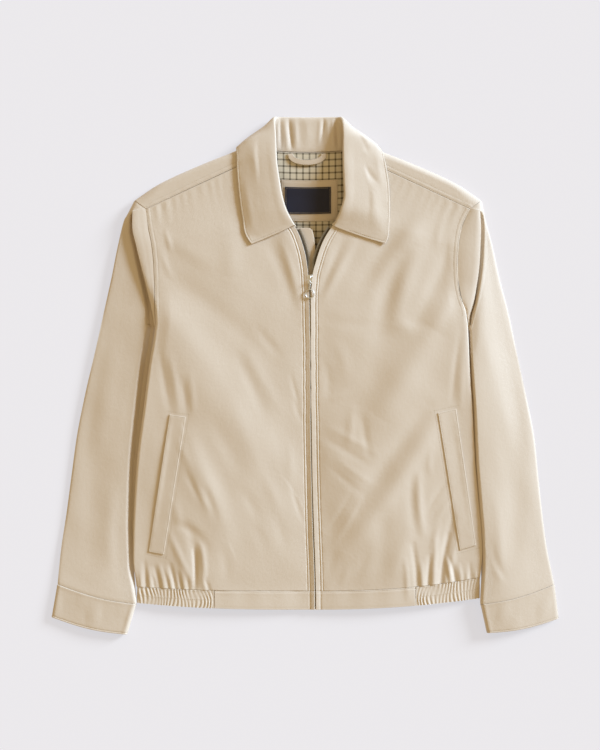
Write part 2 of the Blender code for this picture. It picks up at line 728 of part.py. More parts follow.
def armhole_ring(front, back, side):
    """The sleeve's first ring, just outside the armhole edges of the front and the back."""
    column = 0 if side.sign < 0 else back.shape[1] - 1
    flat_rows = len(back_levels())
    wrap = back[flat_rows:, column]
    tip = wrap[2:]  # from the fold's tip to the forward seam's end
    front_rows = len(ARMHOLE_FRONT["y"])
    top = np.concatenate([tip[:6], front[-front_rows:, 0][::-1][1:]])
    back_rows = len(ARMHOLE_BACK["y"])
    below = back[flat_rows - back_rows + 1 : flat_rows, column]
    bottom = np.concatenate([below, wrap[:2]])
    under = top[-1].copy()
    under[2] = edge_seam_height(under[0], under[1])
    top[-1] = under
    angles = np.radians(np.concatenate([SLEEVE_HEAD["out_degrees"], np.full(len(bottom), -8.0)]))
    out = np.column_stack([side.sign * np.cos(angles), np.sin(angles), np.zeros(len(angles))])
    from_underarm = np.abs(np.arange(len(angles)) - (HEAD_TOP_COUNT - 1))
    gap = EDGE_GAP + 0.15 + UNDERARM_GAP * np.clip((3.0 - from_underarm) / 2, 0, 1)
    return np.concatenate([top, bottom]) + out * gap[:, None]


def head_rings(side, armhole, first):
    """The rings from the armhole over the fold, down into the groove and out to the first plain ring."""
    head = SLEEVE_HEAD
    line_x = SLEEVE_FOLD.read(side.name, "y", head["fold_y"])
    tip = blend(armhole[0], first[0], 0.42)
    fold = np.column_stack([side.sign * line_x, head["fold_y"], head["fold_z"]])
    shares = np.array([0.0, 0.14, 0.34, 0.55, 0.78])
    fold[:5, :2] = tip[:2] + (fold[5, :2] - tip[:2]) * shares[:, None]
    fold[0, 2] = tip[2]
    fold[-1] = blend(armhole[HEAD_TOP_COUNT - 1], first[HEAD_TOP_COUNT - 1], 0.4)
    under = np.column_stack([-side.sign * head["under"], np.zeros(len(line_x)), -head["drop"]])
    tops = (
        (0.16, blend(armhole[:HEAD_TOP_COUNT], fold, 0.55) + [0, 0, 0.9]),
        (0.32, fold),
        (0.44, fold + under * [0.10, 1, 0.32]),
        (0.62, fold + under),
    )
    rings = []
    for share, top in tops:
        ring = blend(armhole, first, share)
        deep = smooth_step(head["under"] / GROOVE_STARTS)[:, None]
        ring[:HEAD_TOP_COUNT] = blend(ring[:HEAD_TOP_COUNT], top, deep)
        for index in range(1, 5):
            ring[index] = blend(ring[index], top[index], 0.5 + 0.1 * index)
        rings.append(ring)
    return rings


def sleeve_grid(front, back, side):
    rings = []
    for row, number in enumerate(SLEEVE_RINGS["number"]):
        outer_y, inner_y = SLEEVE_RINGS["outer_y"][row], SLEEVE_RINGS["inner_y"][row]
        outer = (SLEEVE_EDGE.read(side.name, "y", outer_y), outer_y)
        last = row == len(SLEEVE_RINGS["number"]) - 1
        bow = SLEEVE_BOW[side.name][row] if row < 3 else 0.0
        rings.append(
            flattened_ring(
                side,
                outer,
                inner_point(side, inner_y),
                SLEEVE_RINGS["crown"][row],
                SLEEVE_RINGS["edge"][row],
                margin=0.0 if last else 1.0,
                bow=bow,
                sag=CUFF_BOW if last else CUFF_BOW * number / 14,
            )
        )
    armhole = armhole_ring(front, back, side)
    return np.array([armhole] + head_rings(side, armhole, rings[0]) + rings)


def cuff_grid(side):
    """The cuff's rings, from just below the sleeve's last ring to the wrist."""
    last = len(SLEEVE_RINGS["number"]) - 1
    outer_y, inner_y = SLEEVE_RINGS["outer_y"][last], SLEEVE_RINGS["inner_y"][last]
    seam_outer = np.array((SLEEVE_EDGE.read(side.name, "y", outer_y), outer_y))
    seam_inner = np.array(inner_point(side, inner_y))
    end_outer, end_inner = (np.array(end) for end in CUFF_END[side.name])
    length = np.linalg.norm(end_outer - seam_outer)
    rings = []
    for share in ((EDGE_GAP + 0.1) / length, 0.33, 0.66, 1.0):
        outer, inner = blend(seam_outer, end_outer, share), blend(seam_inner, end_inner, share)
        rings.append(
            flattened_ring(side, outer, inner, 10.5 - 1.0 * share, 5.2 - 0.3 * share, 0.0, sag=CUFF_BOW)
        )
    return np.array(rings) + [0, 0, (CUFF - SHELL) / 2]


# ---------------------------------------------------------------------------------------------
# Elasticated and plain hem
# ---------------------------------------------------------------------------------------------
ELASTIC_INNER = {"right": 141.0, "left": 162.0}
BAND_SHARES = (0.0, 0.35, 0.7, 1.0)
FINE_STEPS = 100  # points from which the lengths round the side fold are measured
PLAIN_SHARES = (0.03, 0.07, 0.14, 0.57, 1.0)  # of the way along the underside, past the last rib


def elastic_path(side):
    """Points of the hem's section from the front, round the side seam, to the back; and its ribs."""
    edge = float(BODY_SIDE.read(side.name, "y", 16.0))
    inner = ELASTIC_INNER[side.name]
    roll = SIDE_ROLL * np.linspace(1, 0, FINE_STEPS)[1:] ** 2
    inset = np.concatenate([np.linspace(edge - inner, SIDE_ROLL, FINE_STEPS), roll])
    x = side.sign * (edge - inset)
    front_z = LOFT.read("front", "y", BAND_TOP)
    seam_z = FLOOR + (front_z - FLOOR) * LOFT.read("seam_share", "y", BAND_TOP)
    over = seam_z + (front_z - seam_z) * ellipse_rise(inset, SIDE_ROLL)
    roll = BACK_ROLL * np.linspace(0, 1, FINE_STEPS)[1:] ** 2
    below_inset = np.concatenate([roll, np.linspace(BACK_ROLL, edge - inner, FINE_STEPS)[1:]])
    below = seam_z + (FLOOR - seam_z) * ellipse_rise(below_inset, BACK_ROLL)
    path = np.concatenate(
        [np.column_stack([x, over]), np.column_stack([side.sign * (edge - below_inset), below])]
    )
    lengths = np.concatenate([[0], np.cumsum(np.linalg.norm(np.diff(path, axis=0), axis=1))])
    turn = lengths[len(x) - 1]
    ribbed_length = turn + RIBS_PAST_SEAM
    count = int(round(ribbed_length / (RIB_PITCH / 2)))
    ribbed = np.linspace(0, ribbed_length, count + 1)
    rest = lengths[-1] - ribbed_length
    plain = ribbed_length + rest * np.array(PLAIN_SHARES)
    places = np.concatenate([ribbed, plain])
    points = np.column_stack([np.interp(places, lengths, path[:, i]) for i in range(2)])
    ribs = np.where((np.arange(len(places)) % 2 == 1) & (places < turn + 1.0), RIB_HEIGHT, 0.0)
    return points, ribs


def elastic_grid(side):
    points, ribs = elastic_path(side)
    rows = []
    for share in BAND_SHARES:
        x = points[:, 0]
        y = blend(hem_bottom(x), hem_top(x), share)
        rows.append(np.column_stack([x, y, points[:, 1]]))
    grid, raised = np.array(rows), np.broadcast_to(ribs, (len(rows), len(ribs)))
    if side.sign > 0:  # so that the wall's outer side is the garment's on both sides
        return grid[:, ::-1], raised[:, ::-1]
    return grid, raised


def band_rows(x, z):
    """Rows of a hem piece that lies level, at the places x across it."""
    rows = []
    for share in BAND_SHARES:
        rows.append(np.column_stack([x, blend(hem_bottom(x), hem_top(x), share), np.full(len(x), z)]))
    return np.array(rows)


def band_grid(side):
    """The plain hem band of a front, from the elastic to the zip."""
    edge_x = FRONT_EDGE[side.name + "_x"][0]
    start = side.sign * (ELASTIC_INNER[side.name] - SEAM - 0.2)
    x = np.linspace(start, edge_x, 7)
    z = LOFT.read("front", "y", BAND_TOP) + (BAND - SHELL) / 2
    return band_rows(x, z)


def hem_back_grid():
    """The back's hem band, which lies on the surface between the two elastics."""
    x = np.linspace(-ELASTIC_INNER["right"] + SEAM + 0.2, ELASTIC_INNER["left"] - SEAM - 0.2, 9)
    z = BAND / 2
    return band_rows(x, z)


# ---------------------------------------------------------------------------------------------
# Collar
# ---------------------------------------------------------------------------------------------
# Sections of the collar from each front end to the centre back. s is the neck seam, r the roll, m the
# middle of the fall and e its edge.
COLLAR_COLUMNS = "number s_x s_y s_z r_x r_y r_z m_x m_y m_z e_x e_y e_z"
COLLAR_BACK = (
    (9, 69.2, 694.5, 5.9, 49.6, 739.0, 9.0, 80, 705, 3.2, 93, 688, 1.0),
    (10, 57.0, 690.6, 5.1, 40.0, 739.8, 4.2, 50, 706, 1.4, 62, 673, 1.0),
    (11, 36.0, 689.0, 5.1, 25.0, 739.8, 3.1, 31, 703, 1.2, 37, 669, 1.0),
    (12, 0.0, 687.8, 5.1, 0.0, 739.5, 3.0, 0, 703, 1.1, 0, 668, 1.0),
)
COLLAR = {
    "right": Table(
        COLLAR_COLUMNS,
        (0, 17.9, 574.5, 17.7, 20.7, 576.2, 21.5, 51, 562.0, 20.6, 85.0, 548, 19.9),
        (1, 29.0, 584.2, 17.5, 26.5, 586.5, 23.2, 62, 574.0, 22.6, 94.0, 563, 19.6),
        (2, 43.0, 600.2, 17.1, 33.0, 600.0, 24.5, 69, 593.0, 24.0, 98.0, 586, 18.8),
        (3, 53.7, 614.2, 16.5, 38.5, 618.0, 24.6, 73, 616.0, 23.6, 102.0, 613, 18.2),
        (4, 63.0, 636.6, 15.9, 42.8, 642.0, 24.0, 76, 641.0, 23.0, 105.0, 641, 17.7),
        (5, 68.4, 660.0, 15.4, 46.6, 668.0, 23.4, 79, 665.0, 22.0, 106.6, 664, 17.2),
        (6, 69.2, 680.0, 15.0, 48.2, 693.0, 21.6, 83, 689.0, 20.4, 107.0, 681, 17.0),
        (7, 69.2, 691.5, 14.0, 49.3, 715.0, 18.6, 84, 707.0, 16.6, 107.5, 692, 13.0),
        (8, 69.2, 699.6, 9.7, 50.6, 732.0, 14.2, 87, 710.5, 8.8, 104.0, 694.5, 6.6),
        *COLLAR_BACK,
    ),
    "left": Table(
        COLLAR_COLUMNS,
        (0, 35.7, 577.6, 17.7, 39.4, 574.6, 21.6, 77, 560.5, 20.8, 115.8, 549, 19.9),
        (1, 45.7, 587.7, 17.5, 43.3, 585.0, 23.2, 85, 573.0, 22.6, 119.6, 558, 19.6),
        (2, 56.6, 602.0, 17.1, 49.5, 600.5, 24.4, 89, 593.0, 24.0, 121.3, 576, 18.9),
        (3, 64.0, 617.0, 16.5, 54.0, 617.5, 24.6, 91, 612.0, 23.6, 122.0, 600, 18.4),
        (4, 68.6, 636.5, 15.9, 53.6, 640.0, 24.0, 92, 640.0, 23.0, 121.3, 633, 17.8),
        (5, 70.9, 660.0, 15.4, 52.6, 667.0, 23.4, 91, 664.0, 22.0, 118.0, 659, 17.3),
        (6, 69.6, 680.0, 15.0, 52.6, 692.0, 21.6, 90, 688.0, 20.4, 114.0, 677, 17.0),
        (7, 69.2, 691.5, 14.0, 53.3, 713.0, 18.6, 88, 706.0, 16.6, 109.0, 691, 13.0),
        (8, 69.2, 699.6, 9.7, 52.4, 730.0, 14.2, 88, 710.0, 8.8, 104.0, 694.5, 6.6),
        *COLLAR_BACK,
    ),
}
COLLAR_PLACES = (0, 0.5, 1, 2, 3, 4, 5, 6, 6.5, 7, 7.5, 8, 8.5, 9, 9.5, 10, 11, 12)
STAND_SHARES = (0.0, 0.35, 0.7)
FALL_SHARES = (0.2, 0.45, 0.7, 0.88, 1.0)
ROLL_STEPS = 5
ROLL_RADIUS = 1.95
COLLAR_LEAVES_FRONT = 6.6  # section from which the fall lies beyond the front
COLLAR_CLEAR = SHELL / 2 + COLLAR_WALL / 2 + 0.7  # of the fall's middle over a front's middle


def string_round_pulley(start, tip, end, radius):
    """Points from start, round a circle whose far side is tip, to where it leaves for end."""
    to_start, to_end = start - tip, end - tip
    inward = to_start / np.linalg.norm(to_start) + to_end / np.linalg.norm(to_end)
    inward = inward / np.linalg.norm(inward)
    across = to_end - inward * np.dot(to_end, inward)
    across = across / np.linalg.norm(across)
    centre = tip + inward * radius

    def tangent_angle(point, turn):
        flat = np.array([np.dot(point - centre, -inward), np.dot(point - centre, across)])
        angle = math.atan2(flat[1], flat[0])
        if angle * turn < 0:
            angle += turn * 2 * math.pi
        return angle - turn * math.acos(min(radius / np.linalg.norm(flat), 1.0))

    angles = np.linspace(tangent_angle(start, -1), tangent_angle(end, 1), ROLL_STEPS)
    return [centre + radius * (-inward * math.cos(a) + across * math.sin(a)) for a in angles]


def collar_section(side, number, front):
    table = COLLAR[side.name]
    points = {}
    for name in "srme":
        point = [float(table.read(f"{name}_{axis}", "number", number)) for axis in "xyz"]
        point[0] *= side.sign
        points[name] = np.array(point)
    roll = string_round_pulley(points["s"], points["r"], points["m"], ROLL_RADIUS)
    row = [blend(points["s"], roll[0], share) for share in STAND_SHARES] + roll
    leave = roll[-1]
    control = 2 * points["m"] - (leave + points["e"]) / 2
    for share in FALL_SHARES:
        spot = (1 - share) ** 2 * leave + 2 * share * (1 - share) * control + share**2 * points["e"]
        if number < COLLAR_LEAVES_FRONT:
            spot[2] = max(spot[2], surface_height(front, spot[0], spot[1])[0] + COLLAR_CLEAR)
        row.append(spot)
    return row


def collar_grid(fronts):
    right, left = SIDES
    rows = [collar_section(right, number, fronts["right"]) for number in COLLAR_PLACES]
    rows += [collar_section(left, number, fronts["left"]) for number in reversed(COLLAR_PLACES[:-1])]
    return np.array(rows)


# ---------------------------------------------------------------------------------------------
# Zip: tapes, guard, slider and pull
# ---------------------------------------------------------------------------------------------
ZIP_OPENS_Y = 490.0
SHOW_AT_SLIDER = 0.1
TAPE_CLEAR = 0.45  # under a front, whose folds bend more than the tape
TAPE_DEPTH = SHELL / 2 + TAPE_CLEAR + THIN / 2  # of a tape's middle below a front's middle
TAPE_PLACES = (0.0, 0.3, 0.65, 1.0)  # of a tape's columns, across its width
BAND_STEP = 0.4  # the tapes lie lower behind the hem band
GUARD_DEPTH = 4.6
TAPE_LAST_SHARE = 0.832


def tape_grid(front, side):
    """A tape under a front's edge: its inner edge meets the other tape, or stands out in the opening."""
    edge = front[:, -1]
    rows = []
    last_y = float(FRONT_EDGE.read(side.name + "_y", "share", TAPE_LAST_SHARE))
    ends = [row for row in range(len(edge)) if edge[row][1] <= last_y]
    points = [edge[row] for row in ends]
    short = (last_y - points[-1][1]) / (edge[ends[-1] + 1][1] - points[-1][1])
    points.append(blend(points[-1], edge[ends[-1] + 1], short))
    points = np.array(points)
    points[0, 1] = float(hem_bottom(points[0, 0])) + 1.0
    points[:2, 2] = points[:2, 2].min() - BAND_STEP
    way = np.gradient(points[:, :2], axis=0)
    way = way / np.linalg.norm(way, axis=1, keepdims=True)
    toward_zip = np.column_stack([-side.sign * way[:, 1], side.sign * way[:, 0]])
    opened = blend(SHOW_AT_SLIDER, TAPE_SHOW, smooth_step((points[:, 1] - SLIDER_CENTRE[1] - 5) / 26))
    show = np.where(points[:, 1] < ZIP_OPENS_Y, ZIP_GAP - SEAM, opened)
    for share in TAPE_PLACES:
        place = points[:, :2] + toward_zip * (show - TAPE_WIDTH * share)[:, None]
        under = surface_height(front, place[:, 0], place[:, 1])
        above = np.where(np.isfinite(under), np.minimum(under, points[:, 2] + BAND_STEP), points[:, 2])
        rows.append(np.column_stack([place, above - TAPE_DEPTH]))
    return np.transpose(np.array(rows), (1, 0, 2))


GUARD = Table(
    "y right_x width",
    (2, 21.0, GUARD_WIDTH),
    (30, 20.2, GUARD_WIDTH),
    (46, 19.8, GUARD_WIDTH),
    (60, 19.5, GUARD_WIDTH),
    (120, 17.5, GUARD_WIDTH),
    (240, 15.0, GUARD_WIDTH),
    (360, 13.5, GUARD_WIDTH),
    (450, 12.8, GUARD_WIDTH),
    (510, 12.0, GUARD_WIDTH),
    (540, 11.0, GUARD_WIDTH),
    (560, 9.0, 24.0),
    (569, 7.0, 24.0),
    (573, 2.5, 20.5),
)


def guard_grid():
    rows = []
    for y, right_x, width in zip(GUARD["y"], GUARD["right_x"], GUARD["width"]):
        x = right_x - width * np.array([1.0, 0.5, 0.0])
        z = LOFT.read("front", "y", y) - GUARD_DEPTH
        rows.append(np.column_stack([x, np.full(3, y), np.full(3, z)]))
    return np.array(rows)


def box_points(x0, x1, y0, y1, z0, z1, taper=0.0):
    """Eight corners of a box whose low-y end is narrower by taper on each side."""
    return np.array(
        [
            (x0 + taper, y0, z0), (x1 - taper, y0, z0), (x1, y1, z0), (x0, y1, z0),
            (x0 + taper, y0, z1), (x1 - taper, y0, z1), (x1, y1, z1), (x0, y1, z1),
        ]
    )  # fmt: skip


BOX_FACES = [(3, 2, 1, 0), (4, 5, 6, 7), (0, 1, 5, 4), (1, 2, 6, 5), (2, 3, 7, 6), (3, 0, 4, 7)]


def tube_mesh(path, radius, sides, closed):
    """A round wire along a path that lies in one plane."""
    path = np.array(path, float)
    count = len(path)
    if closed:
        way = np.roll(path, -1, axis=0) - np.roll(path, 1, axis=0)
    else:
        way = np.gradient(path, axis=0)
    way = way / np.linalg.norm(way, axis=1, keepdims=True)
    plane = np.cross(way[0], way[count // 3])
    plane = plane / np.linalg.norm(plane)
    points = []
    for centre, along in zip(path, way):
        across = np.cross(plane, along)
        for step in range(sides):
            angle = 2 * math.pi * (step + 0.5) / sides
            points.append(centre + radius * (math.cos(angle) * across + math.sin(angle) * plane))
    faces = []
    for row in range(count if closed else count - 1):
        after = (row + 1) % count
        for step in range(sides):
            turn = (step + 1) % sides
            faces.append((row * sides + step, row * sides + turn, after * sides + turn, after * sides + step))
    if not closed:
        faces.append(tuple(range(sides)))
        faces.append(tuple((count - 1) * sides + step for step in reversed(range(sides))))
    return np.array(points), faces


def join_with(target, helper):
    """Unites a helper with a piece, and leaves the helper out of the model."""
    union = target.modifiers.new("join_" + helper.name, "BOOLEAN")
    union.operation = "UNION"
    union.object = helper
    helper.hide_render = True
    helper.display_type = "WIRE"


PLATE_LENGTH = 13.8
PLATE_HALF = 4.5
PLATE_THICK = 1.4
POST_HALF = 0.8
BAIL_RADIUS = 2.3
BAIL_WIRE = 0.55
EYE_RADIUS = 1.75
EYE_WIRE = 0.5
PULL_LENGTH = 18.2  # from the bail's centre to the ring's centre


def slider_heights(fronts):
    """Heights of the slider's upper plate and lower plate, from the fronts beside it."""
    x, y = SLIDER_CENTRE
    reach = []
    for side in SIDES:
        spots_y = y + np.linspace(-7, 7, 8)
        for step in (3.0, 5.0):
            spots_x = np.full(8, x + side.sign * step)
            reach.append(surface_height(fronts[side.name], spots_x, spots_y))
    reach = np.concatenate(reach)
    reach = reach[np.isfinite(reach)]
    return reach.max() + SHELL / 2 + SEAM, reach.min() - TAPE_DEPTH - THIN / 2 - SEAM


def make_slider(fronts, material):
    x, y = SLIDER_CENTRE
    upper, lower = slider_heights(fronts)
    half = PLATE_LENGTH / 2
    low_y, high_y = y - half, y + half
    slider = add_object(
        "zip_slider",
        box_points(x - PLATE_HALF, x + PLATE_HALF, low_y, high_y, upper, upper + PLATE_THICK, 1.2),
        BOX_FACES,
        material,
        smooth=False,
    )
    helpers = []
    post = box_points(
        x - POST_HALF + 0.3, x + POST_HALF + 0.3, y + 0.6, y + 4.6, lower - 0.5, upper + 0.5
    )
    helpers.append(add_object("slider_post", post, BOX_FACES, material, smooth=False))
    plate = box_points(
        x - PLATE_HALF, x + PLATE_HALF, low_y, high_y, lower - 1.0, lower, 1.2
    )
    helpers.append(add_object("slider_plate", plate, BOX_FACES, material, smooth=False))
    hinge = hinge_point(upper)
    arch = [(x, hinge[1] + BAIL_RADIUS, upper + 0.6)]
    for step in range(9):
        angle = math.pi * step / 8
        arch.append(
            (x, hinge[1] + BAIL_RADIUS * math.cos(angle), hinge[2] + BAIL_RADIUS * math.sin(angle))
        )
    arch.append((x, hinge[1] - BAIL_RADIUS, upper + 0.6))
    points, faces = tube_mesh(arch, BAIL_WIRE, 6, closed=False)
    helpers.append(add_object("slider_bail", points, faces, material, smooth=False))
    for helper in helpers:
        join_with(slider, helper)
    return slider


def hinge_point(upper):
    x, y = SLIDER_CENTRE
    return np.array([x, y - PLATE_LENGTH / 2 + 1.0 + BAIL_RADIUS, upper + PLATE_THICK + 1.0])


def circle(centre, radius, count):
    return [
        (
            centre[0] + radius * math.cos(2 * math.pi * step / count),
            centre[1] + radius * math.sin(2 * math.pi * step / count),
            centre[2],
        )
        for step in range(count)
    ]


def make_pull(fronts, material):
    """The ring pull: an eye round the bail, a short link and a ring, turning about the bail's axis."""
    upper, _ = slider_heights(fronts)
    hinge = hinge_point(upper)
    eye = hinge - [0, BAIL_RADIUS, 0]
    ring = hinge - [0, PULL_LENGTH, 0]
    points, faces = tube_mesh(circle(ring, RING_RADIUS, 20), RING_WIRE, RING_SIDES, closed=True)
    pull = add_object("zip_pull", points, faces, material, origin=hinge)
    points, faces = tube_mesh(circle(eye, EYE_RADIUS, 12), EYE_WIRE, 6, closed=True)
    join_with(pull, add_object("pull_eye", points, faces, material, origin=hinge))
    link = box_points(
        hinge[0] - 1.0,
        hinge[0] + 1.0,
        ring[1] + RING_RADIUS,
        eye[1] - EYE_RADIUS,
        hinge[2] - 0.45,
        hinge[2] + 0.45,
    )
    join_with(pull, add_object("pull_link", link, BOX_FACES, material, origin=hinge, smooth=False))
    return pull


# ---------------------------------------------------------------------------------------------
# Pocket welts, and the pieces inside the neck
# ---------------------------------------------------------------------------------------------
# Corners of each welt: upper outer, upper inner, lower inner, lower outer.
WELTS = {
    "right": ((-207.0, 293.4), (-182.9, 289.8), (-216.5, 83.0), (-239.0, 87.2)),
    "left": ((221.7, 301.8), (194.3, 295.5), (228.0, 89.3), (252.2, 96.6)),
}
WELT = 1.2
WELT_ROWS, WELT_COLUMNS = 17, 4


def welt_grid(front, side):
    """A welt on a front's own surface, moved out by the gap between them."""
    upper_outer, upper_inner, lower_inner, lower_outer = (np.array(c) for c in WELTS[side.name])
    rows = []
    for down in np.linspace(0, 1, WELT_ROWS):
        across = np.linspace(0, 1, WELT_COLUMNS)[:, None]
        place = blend(
            blend(upper_outer, lower_outer, down), blend(upper_inner, lower_inner, down), across
        )
        z = surface_height(front, place[:, 0], place[:, 1]) + SHELL / 2 + WELT_RISE + WELT / 2
        rows.append(np.column_stack([place, z]))
    return np.array(rows)


def laid_on_back(back, x, low_y, high_y, above):
    """A grid on the back's inner side: columns at x, rows on the back's own rows from low_y to high_y."""
    flat = back[: len(back_levels())]
    order = np.argsort(flat[0, :, 0])
    rows = []
    for row in flat[:, order]:
        y, z = (np.interp(x, row[:, 0], row[:, axis]) for axis in (1, 2))
        rows.append(np.column_stack([x, y, z]))
    rows = np.array(rows)
    centre_y = rows[:, len(x) // 2, 1]
    first, last = (np.interp(y, centre_y, np.arange(len(rows))) for y in (low_y, high_y))
    places = [first] + [p for p in range(len(rows)) if first + 0.05 < p < last - 0.05] + [last]
    grid = []
    for place in places:
        under = min(int(place), len(rows) - 2)
        grid.append(blend(rows[under], rows[under + 1], place - under) + [0, 0, above])
    return np.array(grid)


LINING_ABOVE = SHELL / 2 + SEAM + THIN / 2
PATCH_ABOVE = LINING_ABOVE + THIN + SEAM
LABEL_ABOVE = PATCH_ABOVE + THIN / 2 + SEAM + LABEL / 2
LINING_BOX = (-61.0, 65.0, 505.0, 686.0)
PATCH_BOX = (-40.0, 44.5, 583.5, 645.0)
LABEL_BOX = (-34.5, 34.5, 594.6, 634.5)
LOOP_LEFT, LOOP_RIGHT = -26.5, 23.5
LOOP_TOP, LOOP_DROP, LOOP_WIDTH = 683.5, 12.5, 8.0


def box_grid(back, box, columns, above):
    return laid_on_back(back, np.linspace(box[0], box[1], columns), box[2], box[3], above)


def loop_grid(back):
    """The hanger loop: a band that dips in a shallow curve below the neck seam."""
    turns = np.linspace(-1, 1, 13)
    centre_x = (LOOP_LEFT + LOOP_RIGHT) / 2 + (LOOP_RIGHT - LOOP_LEFT) / 2 * np.sin(turns * math.pi / 2)
    centre_y = LOOP_TOP - LOOP_DROP * np.cos(turns * math.pi / 2) ** 0.8
    way = np.gradient(np.column_stack([centre_x, centre_y]), axis=0)
    way = way / np.linalg.norm(way, axis=1, keepdims=True)
    flat = back[: len(back_levels())]
    rows = []
    for share in (-0.5, 0.5):
        x = centre_x - way[:, 1] * LOOP_WIDTH * share
        y = np.minimum(centre_y + way[:, 0] * LOOP_WIDTH * share, 686.0)
        above = PATCH_ABOVE + 0.3 + 1.0 * np.cos(turns * math.pi / 2)
        rows.append(np.column_stack([x, y, surface_height(flat, x, y) + above]))
    return np.array(rows)


# ---------------------------------------------------------------------------------------------
# The jacket
# ---------------------------------------------------------------------------------------------
def clear_scene():
    for old in list(bpy.data.objects):
        bpy.data.objects.remove(old)


def make_materials():
    return {
        "cotton": make_material("cotton", (0.62, 0.53, 0.40), 0.8),
        "check": make_material("check", (0.45, 0.38, 0.27), 0.85),
        "tape": make_material("tape", (0.10, 0.08, 0.05), 0.8),
        "label": make_material("label", (0.018, 0.018, 0.035), 0.7),
        "steel": make_material("steel", (0.75, 0.75, 0.74), 0.3, 1.0),
    }


def make_jacket():
    materials = make_materials()
    cotton = materials["cotton"]
    back = back_grid()
    fronts = {side.name: front_grid(side) for side in SIDES}
    add_wall("back", back, SHELL, cotton, keep=back_keep(back))
    for side in SIDES:
        front = fronts[side.name]
        add_wall(f"front_{side.name}", front, SHELL, cotton)
        add_wall(f"sleeve_{side.name}", sleeve_grid(front, back, side), SHELL, cotton, ring=True)
        add_wall(f"cuff_{side.name}", cuff_grid(side), CUFF, cotton, ring=True)
        elastic, ribs = elastic_grid(side)
        add_wall(f"hem_elastic_{side.name}", elastic, SHELL, cotton, raised=ribs)
        add_wall(f"hem_front_{side.name}", band_grid(side), BAND, cotton)
        add_wall(f"zip_tape_{side.name}", tape_grid(front, side), THIN, materials["tape"])
        add_wall(f"welt_{side.name}", welt_grid(front, side), WELT, cotton)
    add_wall("hem_back", hem_back_grid(), BAND, cotton)
    add_wall("collar", collar_grid(fronts), COLLAR_WALL, cotton)
    add_wall("zip_guard", guard_grid(), THIN, cotton)
    add_wall("lining", box_grid(back, LINING_BOX, 7, LINING_ABOVE), THIN, materials["check"])
    add_wall("neck_patch", box_grid(back, PATCH_BOX, 5, PATCH_ABOVE), THIN, cotton)
    add_wall("neck_label", box_grid(back, LABEL_BOX, 5, LABEL_ABOVE), LABEL, materials["label"])
    add_wall("hanger_loop", loop_grid(back), THIN, cotton)
    make_slider(fronts, materials["steel"])
    make_pull(fronts, materials["steel"])


def stand_on_surface(made):
    """Moves the jacket so that its origin is the bottom centre of its box."""
    corners = []
    for piece in made:
        corners += [piece.location + vertex.co for vertex in piece.data.vertices]
    low = Vector([min(corner[axis] for corner in corners) for axis in range(3)])
    high = Vector([max(corner[axis] for corner in corners) for axis in range(3)])
    root = bpy.data.objects.new("jacket", None)
    bpy.context.scene.collection.objects.link(root)
    root.location = (-(low.x + high.x) / 2, -(low.y + high.y) / 2, -low.z)
    for piece in made:
        piece.parent = root


def main():
    clear_scene()
    make_jacket()
    made = [piece for piece in bpy.data.objects if piece.type == "MESH"]
    stand_on_surface(made)


main()
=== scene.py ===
"""Dresses a zip-front harrington jacket that lies flat on its back, closed to the chest.

Pattern coordinates are millimetres: x runs across the jacket with the wearer's right at -x, y runs from
the hem (0) to the collar, and z runs up from the surface that the jacket lies on. Each cloth piece is a
Panel, a thin wall round a grid of middle points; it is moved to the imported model's place, in metres,
when its mesh is made.
"""
import sys  # noqa: E702

import logging
import math
from collections.abc import Sequence
from dataclasses import dataclass, field
from enum import Enum

import bpy
import numpy as np
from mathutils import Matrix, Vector
from mathutils.bvhtree import BVHTree


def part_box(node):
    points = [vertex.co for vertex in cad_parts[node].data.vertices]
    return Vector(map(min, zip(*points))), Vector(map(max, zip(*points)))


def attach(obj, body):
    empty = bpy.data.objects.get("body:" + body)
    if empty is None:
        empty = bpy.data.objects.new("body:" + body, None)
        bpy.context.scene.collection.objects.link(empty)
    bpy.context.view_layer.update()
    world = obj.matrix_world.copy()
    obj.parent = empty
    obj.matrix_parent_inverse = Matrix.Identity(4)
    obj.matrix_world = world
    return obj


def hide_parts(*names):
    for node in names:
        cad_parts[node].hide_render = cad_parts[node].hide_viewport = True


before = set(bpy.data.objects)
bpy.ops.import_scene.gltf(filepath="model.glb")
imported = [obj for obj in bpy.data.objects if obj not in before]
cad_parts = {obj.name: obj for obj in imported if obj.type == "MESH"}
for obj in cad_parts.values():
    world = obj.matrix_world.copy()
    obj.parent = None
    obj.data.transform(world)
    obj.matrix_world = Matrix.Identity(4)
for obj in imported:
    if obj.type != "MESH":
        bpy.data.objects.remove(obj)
log = logging.getLogger("jacket")

Array = np.ndarray
Numbers = np.ndarray | float
Path = tuple[np.ndarray, np.ndarray]  # points and normals
Shape = tuple[np.ndarray, list[tuple[int, ...]]]  # points and faces
Triple = tuple[float, float, float]
Material, Socket = bpy.types.Material, bpy.types.NodeSocket

# ---- Driving sizes, millimetres ----
MM = 0.001
SHELL = 1.5  # wall of the shell cloth with its lining
COLLAR_WALL = 1.8
CUFF_WALL = 1.8
BAND_WALL = 1.8
THIN = 1.0  # wall of lining, tape and facings
SEAM = 0.3  # gap left between two pieces at a seam
EDGE_GAP = 0.25  # between the middles of two walls that meet edge to edge
FLOOR = SHELL / 2  # height of the middle of a wall that lies on the surface

